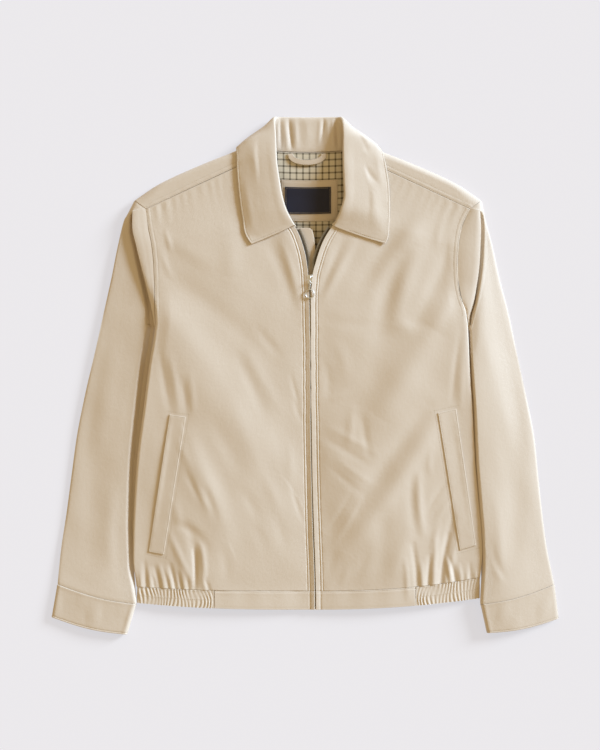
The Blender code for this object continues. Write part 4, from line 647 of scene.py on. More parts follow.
@dataclass
class Panel:
    """A wall of cloth round a grid of middle points.

    outer_relief is added to the outer side alone; probe is the cell, as shares of the rows and columns,
    at which the outer side looks the way that facing says; keep marks the cells that are cloth.
    """

    name: str
    grid: Array
    wall: float
    facing: Facing = Facing.UP
    probe: tuple[float, float] = (0.5, 0.5)
    ring: bool = False
    keep: Array | None = None
    outer_relief: Numbers = 0.0
    rounded: bool = True
    normals: Array = field(init=False)
    outer: Array = field(init=False)
    inner: Array = field(init=False)
    across: Array = field(init=False)
    along: Array = field(init=False)

    def __post_init__(self) -> None:
        """Works out the normals, both sides and the lengths along the cloth."""
        grid = self.grid
        rows, columns = grid.shape[:2]
        along = np.gradient(grid, axis=0)
        if self.ring:
            across = (np.roll(grid, -1, axis=1) - np.roll(grid, 1, axis=1)) / 2
        else:
            across = np.gradient(grid, axis=1)
        normals = np.cross(along, across)
        normals /= np.maximum(np.linalg.norm(normals, axis=2, keepdims=True), 1e-9)
        cell = (int(self.probe[0] * (rows - 1)), int(self.probe[1] * (columns - 1)))
        if normals[cell][2] * self.facing.value < 0:
            normals = -normals
        self.normals = normals
        joined = np.concatenate([grid, grid[:, :1]], axis=1) if self.ring else grid
        steps = np.linalg.norm(np.diff(joined, axis=1), axis=2)
        self.across = np.concatenate([np.zeros((rows, 1)), np.cumsum(steps, axis=1)], axis=1)
        steps = np.linalg.norm(np.diff(joined, axis=0), axis=2)
        self.along = np.concatenate([np.zeros((1, steps.shape[1])), np.cumsum(steps, axis=0)])
        self.outer = grid + normals * (self.half() + self.outer_relief)[..., None]
        self.inner = grid - normals * self.half()[..., None]
        for skin in (self.outer, self.inner):
            skin[..., 2] = np.maximum(skin[..., 2], 0.0)

    def half(self) -> Array:
        """Half the wall, thinner over the last part of a millimetre so that the edges are rounded."""
        rows, columns = self.grid.shape[:2]
        full = np.full((rows, columns), self.wall / 2)
        if not self.rounded:
            return full
        along = self.along[:, :columns]
        away = np.minimum(along, along[-1] - along)
        if not self.ring:
            away = np.minimum(away, np.minimum(self.across, self.across[:, -1:] - self.across))
        round_share = np.sqrt(1 - (1 - np.clip(away / 0.5, 0, 1)) ** 2)
        return full * (0.5 + 0.5 * round_share)

    def area(self) -> float:
        """The cloth's own area in square metres."""
        joined = np.concatenate([self.grid, self.grid[:, :1]], axis=1) if self.ring else self.grid
        a, b, c, d = joined[:-1, :-1], joined[1:, :-1], joined[1:, 1:], joined[:-1, 1:]
        cells = np.linalg.norm(np.cross(c - a, d - b), axis=2) / 2
        return float((cells if self.keep is None else cells * self.keep).sum()) * MM * MM

    def corners(self) -> tuple[Array, Array]:
        """Row and unwrapped column of each corner of each cell that is cloth, (cells, 4) each."""
        rows, columns = self.grid.shape[:2]
        row, column = np.meshgrid(np.arange(rows - 1), np.arange(columns if self.ring else columns - 1), indexing="ij")
        chosen = np.ones(row.shape, bool) if self.keep is None else self.keep
        row, column = row[chosen], column[chosen]
        return np.stack([row, row + 1, row + 1, row], 1), np.stack([column, column, column + 1, column + 1], 1)

    def build(self, finish: Material) -> bpy.types.Object:
        """Makes the closed wall as an object with a UV map in metres along the cloth."""
        rows, columns = self.grid.shape[:2]
        row, column = self.corners()
        number = row * columns + column % columns
        below = rows * columns
        starts, ends = number.ravel(), np.roll(number, -1, axis=1).ravel()
        keys, reverse = starts * below + ends, ends * below + starts
        rim = ~np.isin(reverse, keys)
        s, e = starts[rim], ends[rim]
        faces = np.concatenate([number, number[:, ::-1] + below, np.stack([e, s, s + below, e + below], 1)])
        sr, sc = row.ravel()[rim], column.ravel()[rim]
        er, ec = np.roll(row, -1, axis=1).ravel()[rim], np.roll(column, -1, axis=1).ravel()[rim]
        face_row = np.concatenate([row, row[:, ::-1], np.stack([er, sr, sr, er], 1)])
        face_column = np.concatenate([column, column[:, ::-1], np.stack([ec, sc, sc, ec], 1)])
        points = (np.concatenate([self.outer.reshape(-1, 3), self.inner.reshape(-1, 3)]) + OFFSET) * MM
        used, faces = np.unique(faces, return_inverse=True)
        points, faces = points[used], faces.reshape(-1, 4)
        a, b, c, d = (points[faces[:, i]] for i in range(4))
        volume = np.einsum("ij,ij->", a, np.cross(b, c)) + np.einsum("ij,ij->", a, np.cross(c, d))
        if volume < 0:
            faces, face_row, face_column = faces[:, ::-1], face_row[:, ::-1], face_column[:, ::-1]
        mesh = bpy.data.meshes.new(self.name)
        mesh.vertices.add(len(points))
        mesh.vertices.foreach_set("co", points.astype(np.float32).ravel())
        mesh.loops.add(faces.size)
        mesh.loops.foreach_set("vertex_index", faces.astype(np.int32).ravel())
        mesh.polygons.add(len(faces))
        mesh.polygons.foreach_set("loop_start", np.arange(0, faces.size, 4, dtype=np.int32))
        mesh.update(calc_edges=True)
        uv = mesh.uv_layers.new(name="cloth")
        places = np.stack([self.across[face_row, face_column], self.along[face_row, face_column]], -1) * MM
        uv.data.foreach_set("uv", places.astype(np.float32).ravel())
        mesh.shade_smooth()
        mesh.set_sharp_from_angle(angle=math.radians(55))
        mesh.materials.append(finish)
        mesh.validate()
        return put_in_scene(self.name, mesh)

    def dress(
        self, finish: Material, slot: str, held: str, rests_on: Sequence[str], turned: float = 0.0
    ) -> bpy.types.Object:
        """Builds the panel in place of its CAD node and logs the size of its cut.

        Args:
            finish: its material.
            slot: not used.
            held: not used.
            rests_on: not used.
            turned: width turned under at each long edge, which the cut has besides what shows.

        Returns:
            The finished object.
        """
        made = self.build(finish)
        made.name = f"{self.name}_cloth"
        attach(made, "jacket")
        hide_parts(self.name)
        width, length = float(self.across.max()) * MM, (float(self.along.max()) + 2 * turned) * MM
        area = self.area() + 2 * turned * MM * width
        sizes = width / MM, length / MM, area, len(made.data.polygons)
        log.info("%s: %.0f x %.0f mm, %.4f m2, %d faces", made.name, *sizes)
        return made

    def trace(self, rows: Sequence[int] | int, columns: Sequence[int] | slice | int) -> Path:
        """Points and normals of the outer side along a run of rows or of columns."""
        return self.outer[rows, columns].reshape(-1, 3), self.normals[rows, columns].reshape(-1, 3)

    def trace_round(self, inset: int) -> Path:
        """Points and normals round a closed line, so many rows and columns in from the edges."""
        last_row, last_column = (size - 1 - inset for size in self.grid.shape[:2])
        down, over = list(range(inset, last_row + 1)), list(range(inset, last_column + 1))
        rows = [inset] * len(over) + down + [last_row] * len(over) + down[::-1]
        return self.trace(rows, over + [last_column] * len(down) + over[::-1] + [inset] * len(down))

    def surface(self) -> "Surface":
        """The panel's middle as a surface whose height can be read."""
        return Surface(self.grid)


class Surface:
    """A grid's surface, read from above."""

    def __init__(self, grid: Array) -> None:
        """Builds a tree of the grid's cells."""
        rows, columns = grid.shape[:2]
        number = np.arange(rows * columns).reshape(rows, columns)
        cells = np.stack([number[:-1, :-1], number[1:, :-1], number[1:, 1:], number[:-1, 1:]], -1).reshape(-1, 4)
        self.tree = BVHTree.FromPolygons(grid.reshape(-1, 3).tolist(), cells.tolist())

    def height(self, x: Array, y: Array) -> Array:
        """Height of the top of the surface at each place, or minus infinity beside it."""
        x, y = np.broadcast_arrays(np.asarray(x, float), np.asarray(y, float))
        found = np.full(x.shape, -np.inf)
        for place in np.ndindex(x.shape):
            hit = self.tree.ray_cast(Vector((x[place], y[place], 200.0)), Vector((0, 0, -1)))[0]
            if hit is not None:
                found[place] = hit.z
        return found


# ---- Shader graphs ----
class Value:
    """A shader socket that takes part in arithmetic; each operation adds a Math node."""

    def __init__(self, graph: "Graph", socket: Socket) -> None:
        """Wraps a socket of a graph."""
        self.graph, self.socket = graph, socket

    def math(self, operation: str, *others: "Value | float") -> "Value":
        """A Math node on this value and others."""
        inputs = dict(enumerate([self, *others]))
        return Value(self.graph, self.graph.node("ShaderNodeMath", {"operation": operation}, inputs).outputs[0])

    def __add__(self, other: "Value | float") -> "Value":
        """This plus other."""
        return self.math("ADD", other)

    def __mul__(self, other: "Value | float") -> "Value":
        """This times other."""
        return self.math("MULTIPLY", other)

    def __sub__(self, other: "Value | float") -> "Value":
        """This minus other."""
        return self.math("SUBTRACT", other)

    def __truediv__(self, other: "Value | float") -> "Value":
        """This divided by other."""
        return self.math("DIVIDE", other)

    def __rsub__(self, other: "Value | float") -> "Value":
        """Other minus this."""
        return (self * -1.0) + other

    def wave(self, pitch: float) -> "Value":
        """A sine of this length, from 0 to 1, with a pitch."""
        return (self * (2 * math.pi / pitch)).math("SINE") * 0.5 + 0.5

    def stripe(self, pitch: float, width: float, soft: float) -> "Value":
        """1 on stripes of a width that repeat at a pitch, with soft edges."""
        away = ((self / pitch).math("FRACT") - 0.5).math("ABSOLUTE") * pitch
        return 1.0 - ((away - width / 2) / soft + 0.5).math("MAXIMUM", 0.0).math("MINIMUM", 1.0)


class Graph:
    """The node tree of one new material."""

    def __init__(self, name: str) -> None:
        """Starts an empty tree with a Principled shader and an output."""
        self.material = bpy.data.materials.new(name)
        self.material.use_nodes = True
        self.tree = self.material.node_tree
        self.tree.nodes.clear()
        self.shader = self.node("ShaderNodeBsdfPrincipled")
        self.node("ShaderNodeOutputMaterial", {}, {"Surface": self.shader.outputs[0]})

    def node(self, kind: str, settings: dict | None = None, inputs: dict | None = None) -> bpy.types.Node:
        """Adds a node.

        Args:
            kind: the node's type.
            settings: its properties, set first.
            inputs: values or links for its sockets, by name or number.

        Returns:
            The node.
        """
        made = self.tree.nodes.new(kind)
        for key, value in (settings or {}).items():
            if key == "stops":
                self.fill_ramp(made.color_ramp, value)
            else:
                setattr(made, key, value)
        for key, value in (inputs or {}).items():
            self.put(made.inputs[key], value)
        return made

    def put(self, socket: Socket, value: object) -> None:
        """Links a value to a socket, or sets it there."""
        value = value.socket if isinstance(value, Value) else value
        if isinstance(value, Socket):
            self.tree.links.new(value, socket)
        else:
            socket.default_value = value

    def fill_ramp(self, ramp: bpy.types.ColorRamp, stops: Sequence[tuple[float, Triple]]) -> None:
        """Sets a colour ramp's stops."""
        while len(ramp.elements) < len(stops):
            ramp.elements.new(0.5)
        for element, (position, colour) in zip(ramp.elements, stops):
            element.position, element.color = position, (*colour, 1.0)

    def cloth_place(self) -> tuple[Value, Value, Socket]:
        """Metres across and along the cloth, and both as a vector."""
        place = self.node("ShaderNodeUVMap", {"uv_map": "cloth"}).outputs[0]
        parts = self.node("ShaderNodeSeparateXYZ", {}, {0: place})
        return Value(self, parts.outputs[0]), Value(self, parts.outputs[1]), place

    def object_place(self) -> Socket:
        """The place on the object, in metres."""
        return self.node("ShaderNodeTexCoord").outputs["Object"]

    def noise(self, place: Socket, scale: Triple, detail: float = 2.0) -> Value:
        """Noise from 0 to 1 that has its own scale each way."""
        scaled = self.node("ShaderNodeVectorMath", {"operation": "MULTIPLY"}, {0: place, 1: scale}).outputs[0]
        made = self.node("ShaderNodeTexNoise", {}, {"Vector": scaled, "Scale": 1.0, "Detail": detail})
        return Value(self, made.outputs[0])

    def mix(self, share: "Value | float", a: object, b: object) -> Socket:
        """A colour between a and b."""
        a = (*a, 1.0) if isinstance(a, tuple) else a
        b = (*b, 1.0) if isinstance(b, tuple) else b
        made = self.node("ShaderNodeMix", {"data_type": "RGBA"}, {0: share, 6: a, 7: b})
        return made.outputs[2]

    def bump(self, height: Value, depth: float, strength: float = 1.0) -> None:
        """Feeds the shader's normal from a height of this depth in metres."""
        made = self.node("ShaderNodeBump", {}, {"Strength": strength, "Distance": depth, "Height": height})
        self.feed(Normal=made.outputs[0])

    def feed(self, **inputs: object) -> None:
        """Sets or links the shader's sockets; an underscore in a name stands for a space."""
        for key, value in inputs.items():
            self.put(self.shader.inputs[key.replace("_", " ")], value)


@dataclass(frozen=True)
class TwillFinish:
    """A fine cotton twill with faint slubs and an uneven tone."""

    name: str
    light: Triple
    dark: Triple
    thread: float = 0.0007
    depth: float = 0.00007
    crumple: float = 2.4
    roughness: float = 0.6
    sheen: float = 0.2

    def make(self) -> Material:
        """Makes the material."""
        graph = Graph(self.name)
        across, along, place = graph.cloth_place()
        diagonal = (across + along).wave(self.thread * 2)
        rows = along.wave(self.thread)
        slub = graph.noise(place, (1 / 0.0011, 1 / 0.016, 1.0), 2.0)
        pick = graph.noise(place, (1 / 0.014, 1 / 0.0012, 1.0), 2.0)
        broad = graph.noise(graph.object_place(), (17.0, 11.0, 17.0), 3.0)
        tone = slub * 0.26 + pick * 0.22 + broad * 0.42 + diagonal * 0.10
        graph.feed(Base_Color=graph.mix(tone, self.dark, self.light), Roughness=slub * 0.08 + self.roughness)
        graph.feed(Sheen_Weight=self.sheen, Sheen_Roughness=0.5, Specular_IOR_Level=0.5)
        crumple = graph.noise(graph.object_place(), (210.0, 210.0, 80.0), 3.0)
        graph.bump(diagonal * 0.5 + rows * 0.2 + slub * 0.7 + pick * 0.5 + crumple * self.crumple, self.depth)
        return graph.material


@dataclass(frozen=True)
class CheckFinish:
    """The lining: a beige cloth with a dark check both ways, darker where the lines cross."""

    pitch: float = 0.00975
    line: float = 0.0025
    ground: Triple = (0.66, 0.57, 0.42)
    dark: Triple = (0.085, 0.065, 0.038)

    def make(self) -> Material:
        """Makes the material."""
        graph = Graph("check lining")
        across, along, place = graph.cloth_place()
        upright = across.stripe(self.pitch, self.line, 0.0006)
        level = along.stripe(self.pitch, self.line, 0.0006)
        fibre = graph.noise(place, (1 / 0.0009, 1 / 0.0009, 1.0), 2.0)
        lines = (upright * 0.62 + level * 0.62).math("MINIMUM", 1.0) * (fibre * 0.3 + 0.8)
        ground = graph.mix(fibre, tuple(c * 0.88 for c in self.ground), self.ground)
        graph.feed(Base_Color=graph.mix(lines, ground, self.dark), Roughness=fibre * 0.1 + 0.8)
        graph.feed(Specular_IOR_Level=0.25)
        graph.bump((across + along).wave(0.0012) * 0.5 + fibre * 0.5, 0.00006)
        return graph.material


@dataclass(frozen=True)
class LabelFinish:
    """A bare woven label: fine level ribs of thread."""

    light: Triple = (0.021, 0.020, 0.034)
    dark: Triple = (0.012, 0.011, 0.022)

    def make(self) -> Material:
        """Makes the material."""
        graph = Graph("woven label")
        across, along, place = graph.cloth_place()
        ribs = along.wave(0.0008)
        fibre = graph.noise(place, (1 / 0.0006, 1 / 0.0012, 1.0), 2.0)
        graph.feed(Base_Color=graph.mix(ribs * 0.5 + fibre * 0.5, self.dark, self.light))
        graph.feed(Roughness=fibre * 0.12 + 0.58, Specular_IOR_Level=0.3)
        graph.bump(ribs * 0.6 + across.wave(0.0011) * 0.3 + fibre * 0.4, 0.00008)
        return graph.material


@dataclass(frozen=True)
class TapeFinish:
    """The zip's woven tape, with the ribs of a herringbone."""

    light: Triple = (0.115, 0.092, 0.062)
    dark: Triple = (0.055, 0.043, 0.030)

    def make(self) -> Material:
        """Makes the material."""
        graph = Graph("zip tape twill")
        across, along, place = graph.cloth_place()
        zigzag = ((across / 0.003).math("FRACT") - 0.5).math("ABSOLUTE") * 0.003
        ribs = (along + zigzag * 1.6).wave(0.0011)
        fibre = graph.noise(place, (1 / 0.0008, 1 / 0.0008, 1.0), 2.0)
        graph.feed(Base_Color=graph.mix(ribs * 0.6 + fibre * 0.4, self.dark, self.light), Roughness=0.8)
        graph.bump(ribs * 0.7 + fibre * 0.3, 0.0001)
        return graph.material


@dataclass(frozen=True)
class NickelFinish:
    """Plated metal with a faint uneven polish."""

    name: str = "nickel"
    colour: Triple = (0.80, 0.79, 0.77)
    roughness: float = 0.24

    def make(self) -> Material:
        """Makes the material."""
        graph = Graph(self.name)
        marks = graph.noise(graph.object_place(), (900.0, 900.0, 900.0), 3.0)
        dull = graph.mix(marks, tuple(c * 0.86 for c in self.colour), self.colour)
        graph.feed(Base_Color=dull, Metallic=1.0, Roughness=marks * 0.16 + self.roughness)
        graph.bump(marks, 0.00002)
        return graph.material


@dataclass(frozen=True)
class ThreadFinish:
    """Sewing thread with a twist."""

    colour: Triple
    name: str = "sewing thread"

    def make(self) -> Material:
        """Makes the material."""
        graph = Graph(self.name)
        twist = graph.noise(graph.object_place(), (2600.0, 2600.0, 2600.0), 1.0)
        graph.feed(Base_Color=graph.mix(twist, tuple(c * 0.78 for c in self.colour), self.colour))
        graph.feed(Roughness=twist * 0.1 + 0.6, Specular_IOR_Level=0.3)
        return graph.material


@dataclass(frozen=True)
class FloorFinish:
    """Plain pale paper on a table that is lit from below."""

    colour: Triple = (0.34, 0.27, 0.22)
    glow: Triple = (0.495, 0.545, 0.62)

    def make(self) -> Material:
        """Makes the material."""
        graph = Graph("pale paper")
        grain = graph.noise(graph.object_place(), (260.0, 260.0, 260.0), 2.0)
        graph.feed(Base_Color=graph.mix(grain, tuple(c * 0.995 for c in self.colour), self.colour), Roughness=0.95)
        graph.feed(Specular_IOR_Level=0.0, Emission_Color=(*self.glow, 1.0), Emission_Strength=1.0)
        return graph.material


@dataclass
class Finishes:
    """Every material of the jacket."""

    cotton: Material = field(
        default_factory=TwillFinish("cotton twill", (0.664, 0.553, 0.433), (0.602, 0.498, 0.383)).make
    )
    facing: Material = field(default_factory=TwillFinish("facing twill", (0.62, 0.50, 0.37), (0.56, 0.45, 0.33)).make)
    lining: Material = field(default_factory=CheckFinish().make)
    label: Material = field(default_factory=LabelFinish().make)
    tape: Material = field(default_factory=TapeFinish().make)
    nickel: Material = field(default_factory=NickelFinish().make)
    teeth: Material = field(default_factory=NickelFinish("zip teeth", (0.42, 0.39, 0.34), 0.34).make)
    thread: Material = field(default_factory=ThreadFinish((0.50, 0.40, 0.27)).make)


# ---- What repeats along a path ----
class Form(Enum):
    """The shape that is repeated."""

    STITCH = "stitch"
    TOOTH = "tooth"


@dataclass
class Run:
    """One small form repeated along many paths by a Geometry Nodes tree.

    pitch is the distance between two of them and size is each one's length, width and height, all in
    millimetres; sink lets each one lie that far into the cloth.
    """

    name: str
    form: Form
    pitch: float
    size: Triple
    sink: float = 0.0
    seed: int = 7
    paths: list[Path] = field(default_factory=list)

    def add(self, path: Path) -> None:
        """Adds a path of points and normals."""
        if len(path[0]) > 1:
            self.paths.append(path)

    def tree(self) -> bpy.types.NodeTree:
        """Builds the tree: curve, even points, turned forms, real mesh, material."""
        tree = bpy.data.node_groups.new(self.name, "GeometryNodeTree")
        for name, kind in (
            ("Geometry", "NodeSocketGeometry"), ("Pitch", "NodeSocketFloat"), ("Size", "NodeSocketVector"),
            ("Seed", "NodeSocketInt"), ("Finish", "NodeSocketMaterial"),
        ):  # fmt: skip
            tree.interface.new_socket(name=name, in_out="INPUT", socket_type=kind)
        tree.interface.new_socket(name="Geometry", in_out="OUTPUT", socket_type="NodeSocketGeometry")
        new = tree.nodes.new
        given, out = new("NodeGroupInput"), new("NodeGroupOutput")
        curve, even, sized = (new("GeometryNode" + kind) for kind in ("MeshToCurve", "ResampleCurve", "Transform"))
        place, real = new("GeometryNodeInstanceOnPoints"), new("GeometryNodeRealizeInstances")
        dress = new("GeometryNodeSetMaterial")
        even.mode = "LENGTH"
        tangent, upright = new("GeometryNodeInputTangent"), new("GeometryNodeInputNamedAttribute")
        upright.data_type = "FLOAT_VECTOR"
        upright.inputs["Name"].default_value = "up"
        lengthwise, level = new("FunctionNodeAlignRotationToVector"), new("FunctionNodeAlignRotationToVector")
        lengthwise.axis, level.axis, level.pivot_axis = "X", "Z", "X"
        if self.form is Form.STITCH:
            shape = new("GeometryNodeMeshUVSphere")
            shape.inputs["Segments"].default_value, shape.inputs["Rings"].default_value = 6, 4
            shape.inputs["Radius"].default_value = 0.5
        else:
            shape = new("GeometryNodeMeshCube")
            shape.inputs["Size"].default_value = (1.0, 1.0, 1.0)
        vary = new("FunctionNodeRandomValue")
        vary.data_type = "FLOAT"
        vary.inputs[2].default_value, vary.inputs[3].default_value = 0.9, 1.08
        for source, output, target, entry in (
            (given, "Geometry", curve, "Mesh"), (curve, 0, even, "Curve"), (given, "Pitch", even, "Length"),
            (tangent, 0, lengthwise, "Vector"), (lengthwise, 0, level, "Rotation"), (upright, 0, level, "Vector"),
            (shape, 0, sized, "Geometry"), (given, "Size", sized, "Scale"), (given, "Seed", vary, "Seed"),
            (even, 0, place, "Points"), (sized, 0, place, "Instance"), (level, 0, place, "Rotation"),
            (vary, 1, place, "Scale"), (place, 0, real, 0), (real, 0, dress, "Geometry"),
            (given, "Finish", dress, "Material"), (dress, 0, out, 0),
        ):  # fmt: skip
            tree.links.new(source.outputs[output], target.inputs[entry])
        return tree

    def build(self, finish: Material, slot: str) -> bpy.types.Object:
        """Runs the tree over the paths and keeps its result as a plain mesh on the jacket.

        Args:
            finish: the material.
            slot: not used.

        Returns:
            The finished object.
        """
        points, edges, ups = [], [], []
        for path, normals in self.paths:
            first = len(points)
            points += list((path - normals * self.sink + OFFSET) * MM)
            ups += list(normals)
            edges += [(first + i, first + i + 1) for i in range(len(path) - 1)]
        mesh = bpy.data.meshes.new(self.name + "_paths")
        mesh.from_pydata([tuple(p) for p in points], edges, [])
        mesh.attributes.new("up", "FLOAT_VECTOR", "POINT").data.foreach_set("vector", np.array(ups, np.float32).ravel())
        carrier = put_in_scene(self.name + "_paths", mesh)
        modifier = carrier.modifiers.new("repeat", "NODES")
        tree = self.tree()
        modifier.node_group = tree
        sizes = {"Pitch": self.pitch * MM, "Size": tuple(s * MM for s in self.size)}
        sizes |= {"Seed": self.seed, "Finish": finish}
        for item in tree.interface.items_tree:
            if item.in_out == "INPUT" and item.name in sizes:
                modifier[item.identifier] = sizes[item.name]
        graph = bpy.context.evaluated_depsgraph_get()
        plain = bpy.data.meshes.new_from_object(carrier.evaluated_get(graph))
        bpy.data.objects.remove(carrier)
        plain.name = self.name
        plain.materials.clear()
        plain.materials.append(finish)
        if self.form is Form.STITCH:
            plain.shade_smooth()
        made = put_in_scene(self.name, plain)
        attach(made, "jacket")
        log.info("%s: %d paths, %d faces", self.name, len(self.paths), len(plain.polygons))
        return made


def topstitches() -> Run:
    """The run that takes every line of topstitching."""
    return Run("topstitching", Form.STITCH, 3.2, (2.6, 0.55, 0.42), 0.02)


# ---- Back, with the strips that wrap forward over the shoulders ----
SEAM_EDGE = (0.0, 0.35, 0.8, 1.2, 1.6, 2.0, 2.6, 3.8, 5.2, 6.2, 6.6, 7.0, 7.8)
UNDER_FOLDS = folds(
    (-170, 120, -150, 200, -175, 290, 14, 2.2), (160, 90, 150, 190, 178, 300, 13, 2.0),
    (-60, 90, -90, 180, -40, 300, 16, 1.5), (70, 110, 40, 230, 85, 330, 15, 1.7),
    (-190, 420, -110, 400, -60, 350, 13, 1.9), (190, 430, 120, 390, 60, 370, 13, 1.8),
    (-150, 560, -140, 500, -165, 440, 12, 1.6), (150, 560, 146, 510, 170, 450, 12, 1.5),
    (0, 60, -10, 110, 5, 170, 10, 1.1), (-200, 60, -196, 90, -200, 130, 6, 1.3),
    (-110, 50, -112, 75, -108, 110, 6, 1.1), (120, 50, 118, 80, 124, 120, 6, 1.2),
    (205, 60, 200, 92, 206, 130, 6, 1.4), (40, 46, 42, 66, 38, 96, 5, 0.9),
)  # fmt: skip


ROWS_UNDER_FOLD = 14  # of the shoulder fold's rows, those that don't look up yet


@dataclass
class Back:
    """The back in one piece, from its hem seam over the shoulders to the forward seams."""

    wall: float = SHELL
    step: float = 4.0
    flat_rows: int = 0
    panel: Panel = field(init=False)
    shares: Array = field(init=False)

    def flat_row(self, shares: Array, level: float) -> Array:
        """One row of the back where it lies flat.

        Args:
            shares: places across as shares of the half width.
            level: height of the row at the side edge.

        Returns:
            The row's points.
        """
        x = shares * half_width(shares, np.full(shares.shape, level))
        fold_x = np.abs(shares * SHOULDER_TIP_X)
        end_y = np.where(
            fold_x < SHOULDER_NECK_X - 1,
            NECK_Y + 4 * (fold_x / SHOULDER_NECK_X) ** 2,
            SHOULDER.read("fold_y", "x", fold_x) - SHOULDER_ROUND,
        )
        share = (level - BAND_TOP) / (ARMHOLE_BACK["y"][-1] - BAND_TOP)
        start = hem_top(x) + EDGE_GAP
        edge_y = level + (start - BAND_TOP) * (1 - share) ** 6
        y = blend(blend(start, end_y, share), edge_y, climb(np.abs(shares), 0.955, 0.03))
        z = flat_back_height(x, y)
        if level < 500.0:
            z = np.maximum(z, back_height(x, np.full(shares.shape, level)))
        inside = smooth_step((1 - np.abs(shares)) / 0.14) * climb(y, 40, 25)
        clear = np.maximum(climb(np.abs(x), 66, 22), smooth_step((500 - y) / 24))
        z = z + creases(UNDER_FOLDS, x, y) * inside * clear
        return np.stack([x, y, z], axis=-1)

    def fold_row(self, x: Array, angle: float) -> Array:
        """A row round the shoulder fold: -90 degrees lies below, 90 degrees on top."""
        fold_y = SHOULDER.read("fold_y", "x", np.abs(x))
        top = SHOULDER.read("top_z", "x", np.abs(x))
        low = flat_back_height(x, fold_y - SHOULDER_ROUND)
        turn = math.radians(angle)
        y = fold_y - SHOULDER_ROUND + SHOULDER_ROUND * math.cos(turn)
        drawn_in = 1.36 * SHOULDER_ROUND * (1 - math.cos(turn)) * (angle > 0) * climb(np.abs(x), 215, 45)
        return np.stack([x - np.sign(x) * drawn_in, y, (top + low) / 2 + (top - low) / 2 * math.sin(turn)], axis=-1)

    def seam_row(self, x: Array) -> Array:
        """The forward shoulder seam, for columns that cross the fold at x."""
        share = (np.abs(x) - SHOULDER_NECK_X) / (SHOULDER_TIP_X - SHOULDER_NECK_X)
        seam_x = np.sign(x) * blend(STRIP_NECK_X, STRIP_TIP_X, share)
        seam_y = blend(STRIP_NECK_Y, ARM_JOIN_Y, share)
        return np.stack([seam_x, seam_y, SHOULDER.read("top_z", "x", np.abs(x)) + SEAM_RIDGE], axis=-1)

    def edge_points(self, side: Side) -> tuple[Array, Array]:
        """The back's armhole edge: up its flat part, and round the fold to the forward seam."""
        share = np.array([side.value])
        flat = [self.flat_row(share, level)[0] for level in ARMHOLE_BACK["y"][1:]]
        x = share * SHOULDER_TIP_X
        wrap = [self.fold_row(x, angle)[0] for angle in (-60, -30, 0, 30, 60, 90)]
        seam = self.seam_row(x)[0]
        return np.array(flat), np.array(wrap + [blend(wrap[-1], seam, 0.5), seam])

    def build(self) -> Panel:
        """Makes the panel."""
        neck = SHOULDER_NECK_X / SHOULDER_TIP_X
        inner = np.linspace(0, neck, 19)
        outer = 1 - spread(SHOULDER_TIP_X - SHOULDER_NECK_X, self.step, SEAM_EDGE, (0.0, 1.5))[::-1] / SHOULDER_TIP_X
        half = np.concatenate([inner, outer[1:]])
        self.shares = np.concatenate([-half[::-1], half[1:]])
        levels = spread(ARMHOLE_BACK["y"][-1] - BAND_TOP, self.step, (0.0, 0.35, 0.8, 1.6, 3.0), (0.0, 2.0)) + BAND_TOP
        rows = [self.flat_row(self.shares, float(level)) for level in levels]
        self.flat_rows = len(rows)
        x = self.shares * SHOULDER_TIP_X
        rows += [self.fold_row(x, angle) for angle in range(-80, 91, 10)]
        top, seam = rows[-1], self.seam_row(x)
        length = np.linalg.norm(seam - top, axis=1)
        for share in (0.12, 0.3, 0.5, 0.68, 0.82):
            away = blend(length, SEAM_EDGE[-1], share)
            rows.append(blend(seam, top, (np.minimum(away, length * (1 - share * 0.5)) / length)[:, None]))
        for away in SEAM_EDGE[-2::-1]:
            rows.append(blend(seam, top, np.minimum(away / length, 0.55 + 0.006 * away)[:, None]))
        grid = np.array(rows)
        keep = np.ones((grid.shape[0] - 1, grid.shape[1] - 1), bool)
        middle = np.abs((self.shares[1:] + self.shares[:-1]) / 2) < neck
        keep[self.flat_rows - 1 :, middle] = False
        away = np.linalg.norm(grid[-1][None] - grid, axis=2)
        on_top = (np.arange(len(grid)) > self.flat_rows + ROWS_UNDER_FOLD)[:, None]
        relief = 0.14 * bump(away, 4.0, 2.2) - 0.12 * (bump(away, NEAR_LINE, 0.55) + bump(away, FAR_LINE, 0.6))
        ripple = 0.08 * np.sin(x / 3.1 + 1.1 * np.sin(x / 17)) * bump(away, 4.5, 4.0)
        raised = (relief + ripple) * on_top
        self.panel = Panel("back", grid, self.wall, Facing.DOWN, (0.4, 0.5), keep=keep, outer_relief=raised)
        return self.panel

    def dress(self, finishes: Finishes, stitches: Run) -> None:
        """Dresses the back and lays the topstitches of the shoulder strips."""
        self.panel.dress(finishes.cotton, "cotton", "laid", ["floor"])
        outside = np.abs(self.shares) * SHOULDER_TIP_X
        for wanted in (NEAR_LINE, FAR_LINE):
            row = len(self.panel.grid) - 1 - SEAM_EDGE.index(wanted)
            for side in Side:
                chosen = np.flatnonzero((outside > 74) & (outside < 257) & (np.sign(self.shares) == side.value))
                stitches.add(self.panel.trace(row, chosen))


# ---- Fronts ----
ZIP_EDGE = (0.0, 0.3, 0.7, 1.3, 2.2, 3.4, 4.8, 6.0, 6.7, 7.2, 7.7, 8.4, 9.2, 10.0, 10.4, 10.8, 11.2, 11.8, 12.8, 14.5)
SIDE_EDGE = (0.0, 0.35, 0.8, 1.2, 1.6, 2.0, 2.6, 3.6, 4.9, 5.8, 6.2, 6.6, 7.0, 7.6, 8.8, 10.5, 12.6, 15.0)
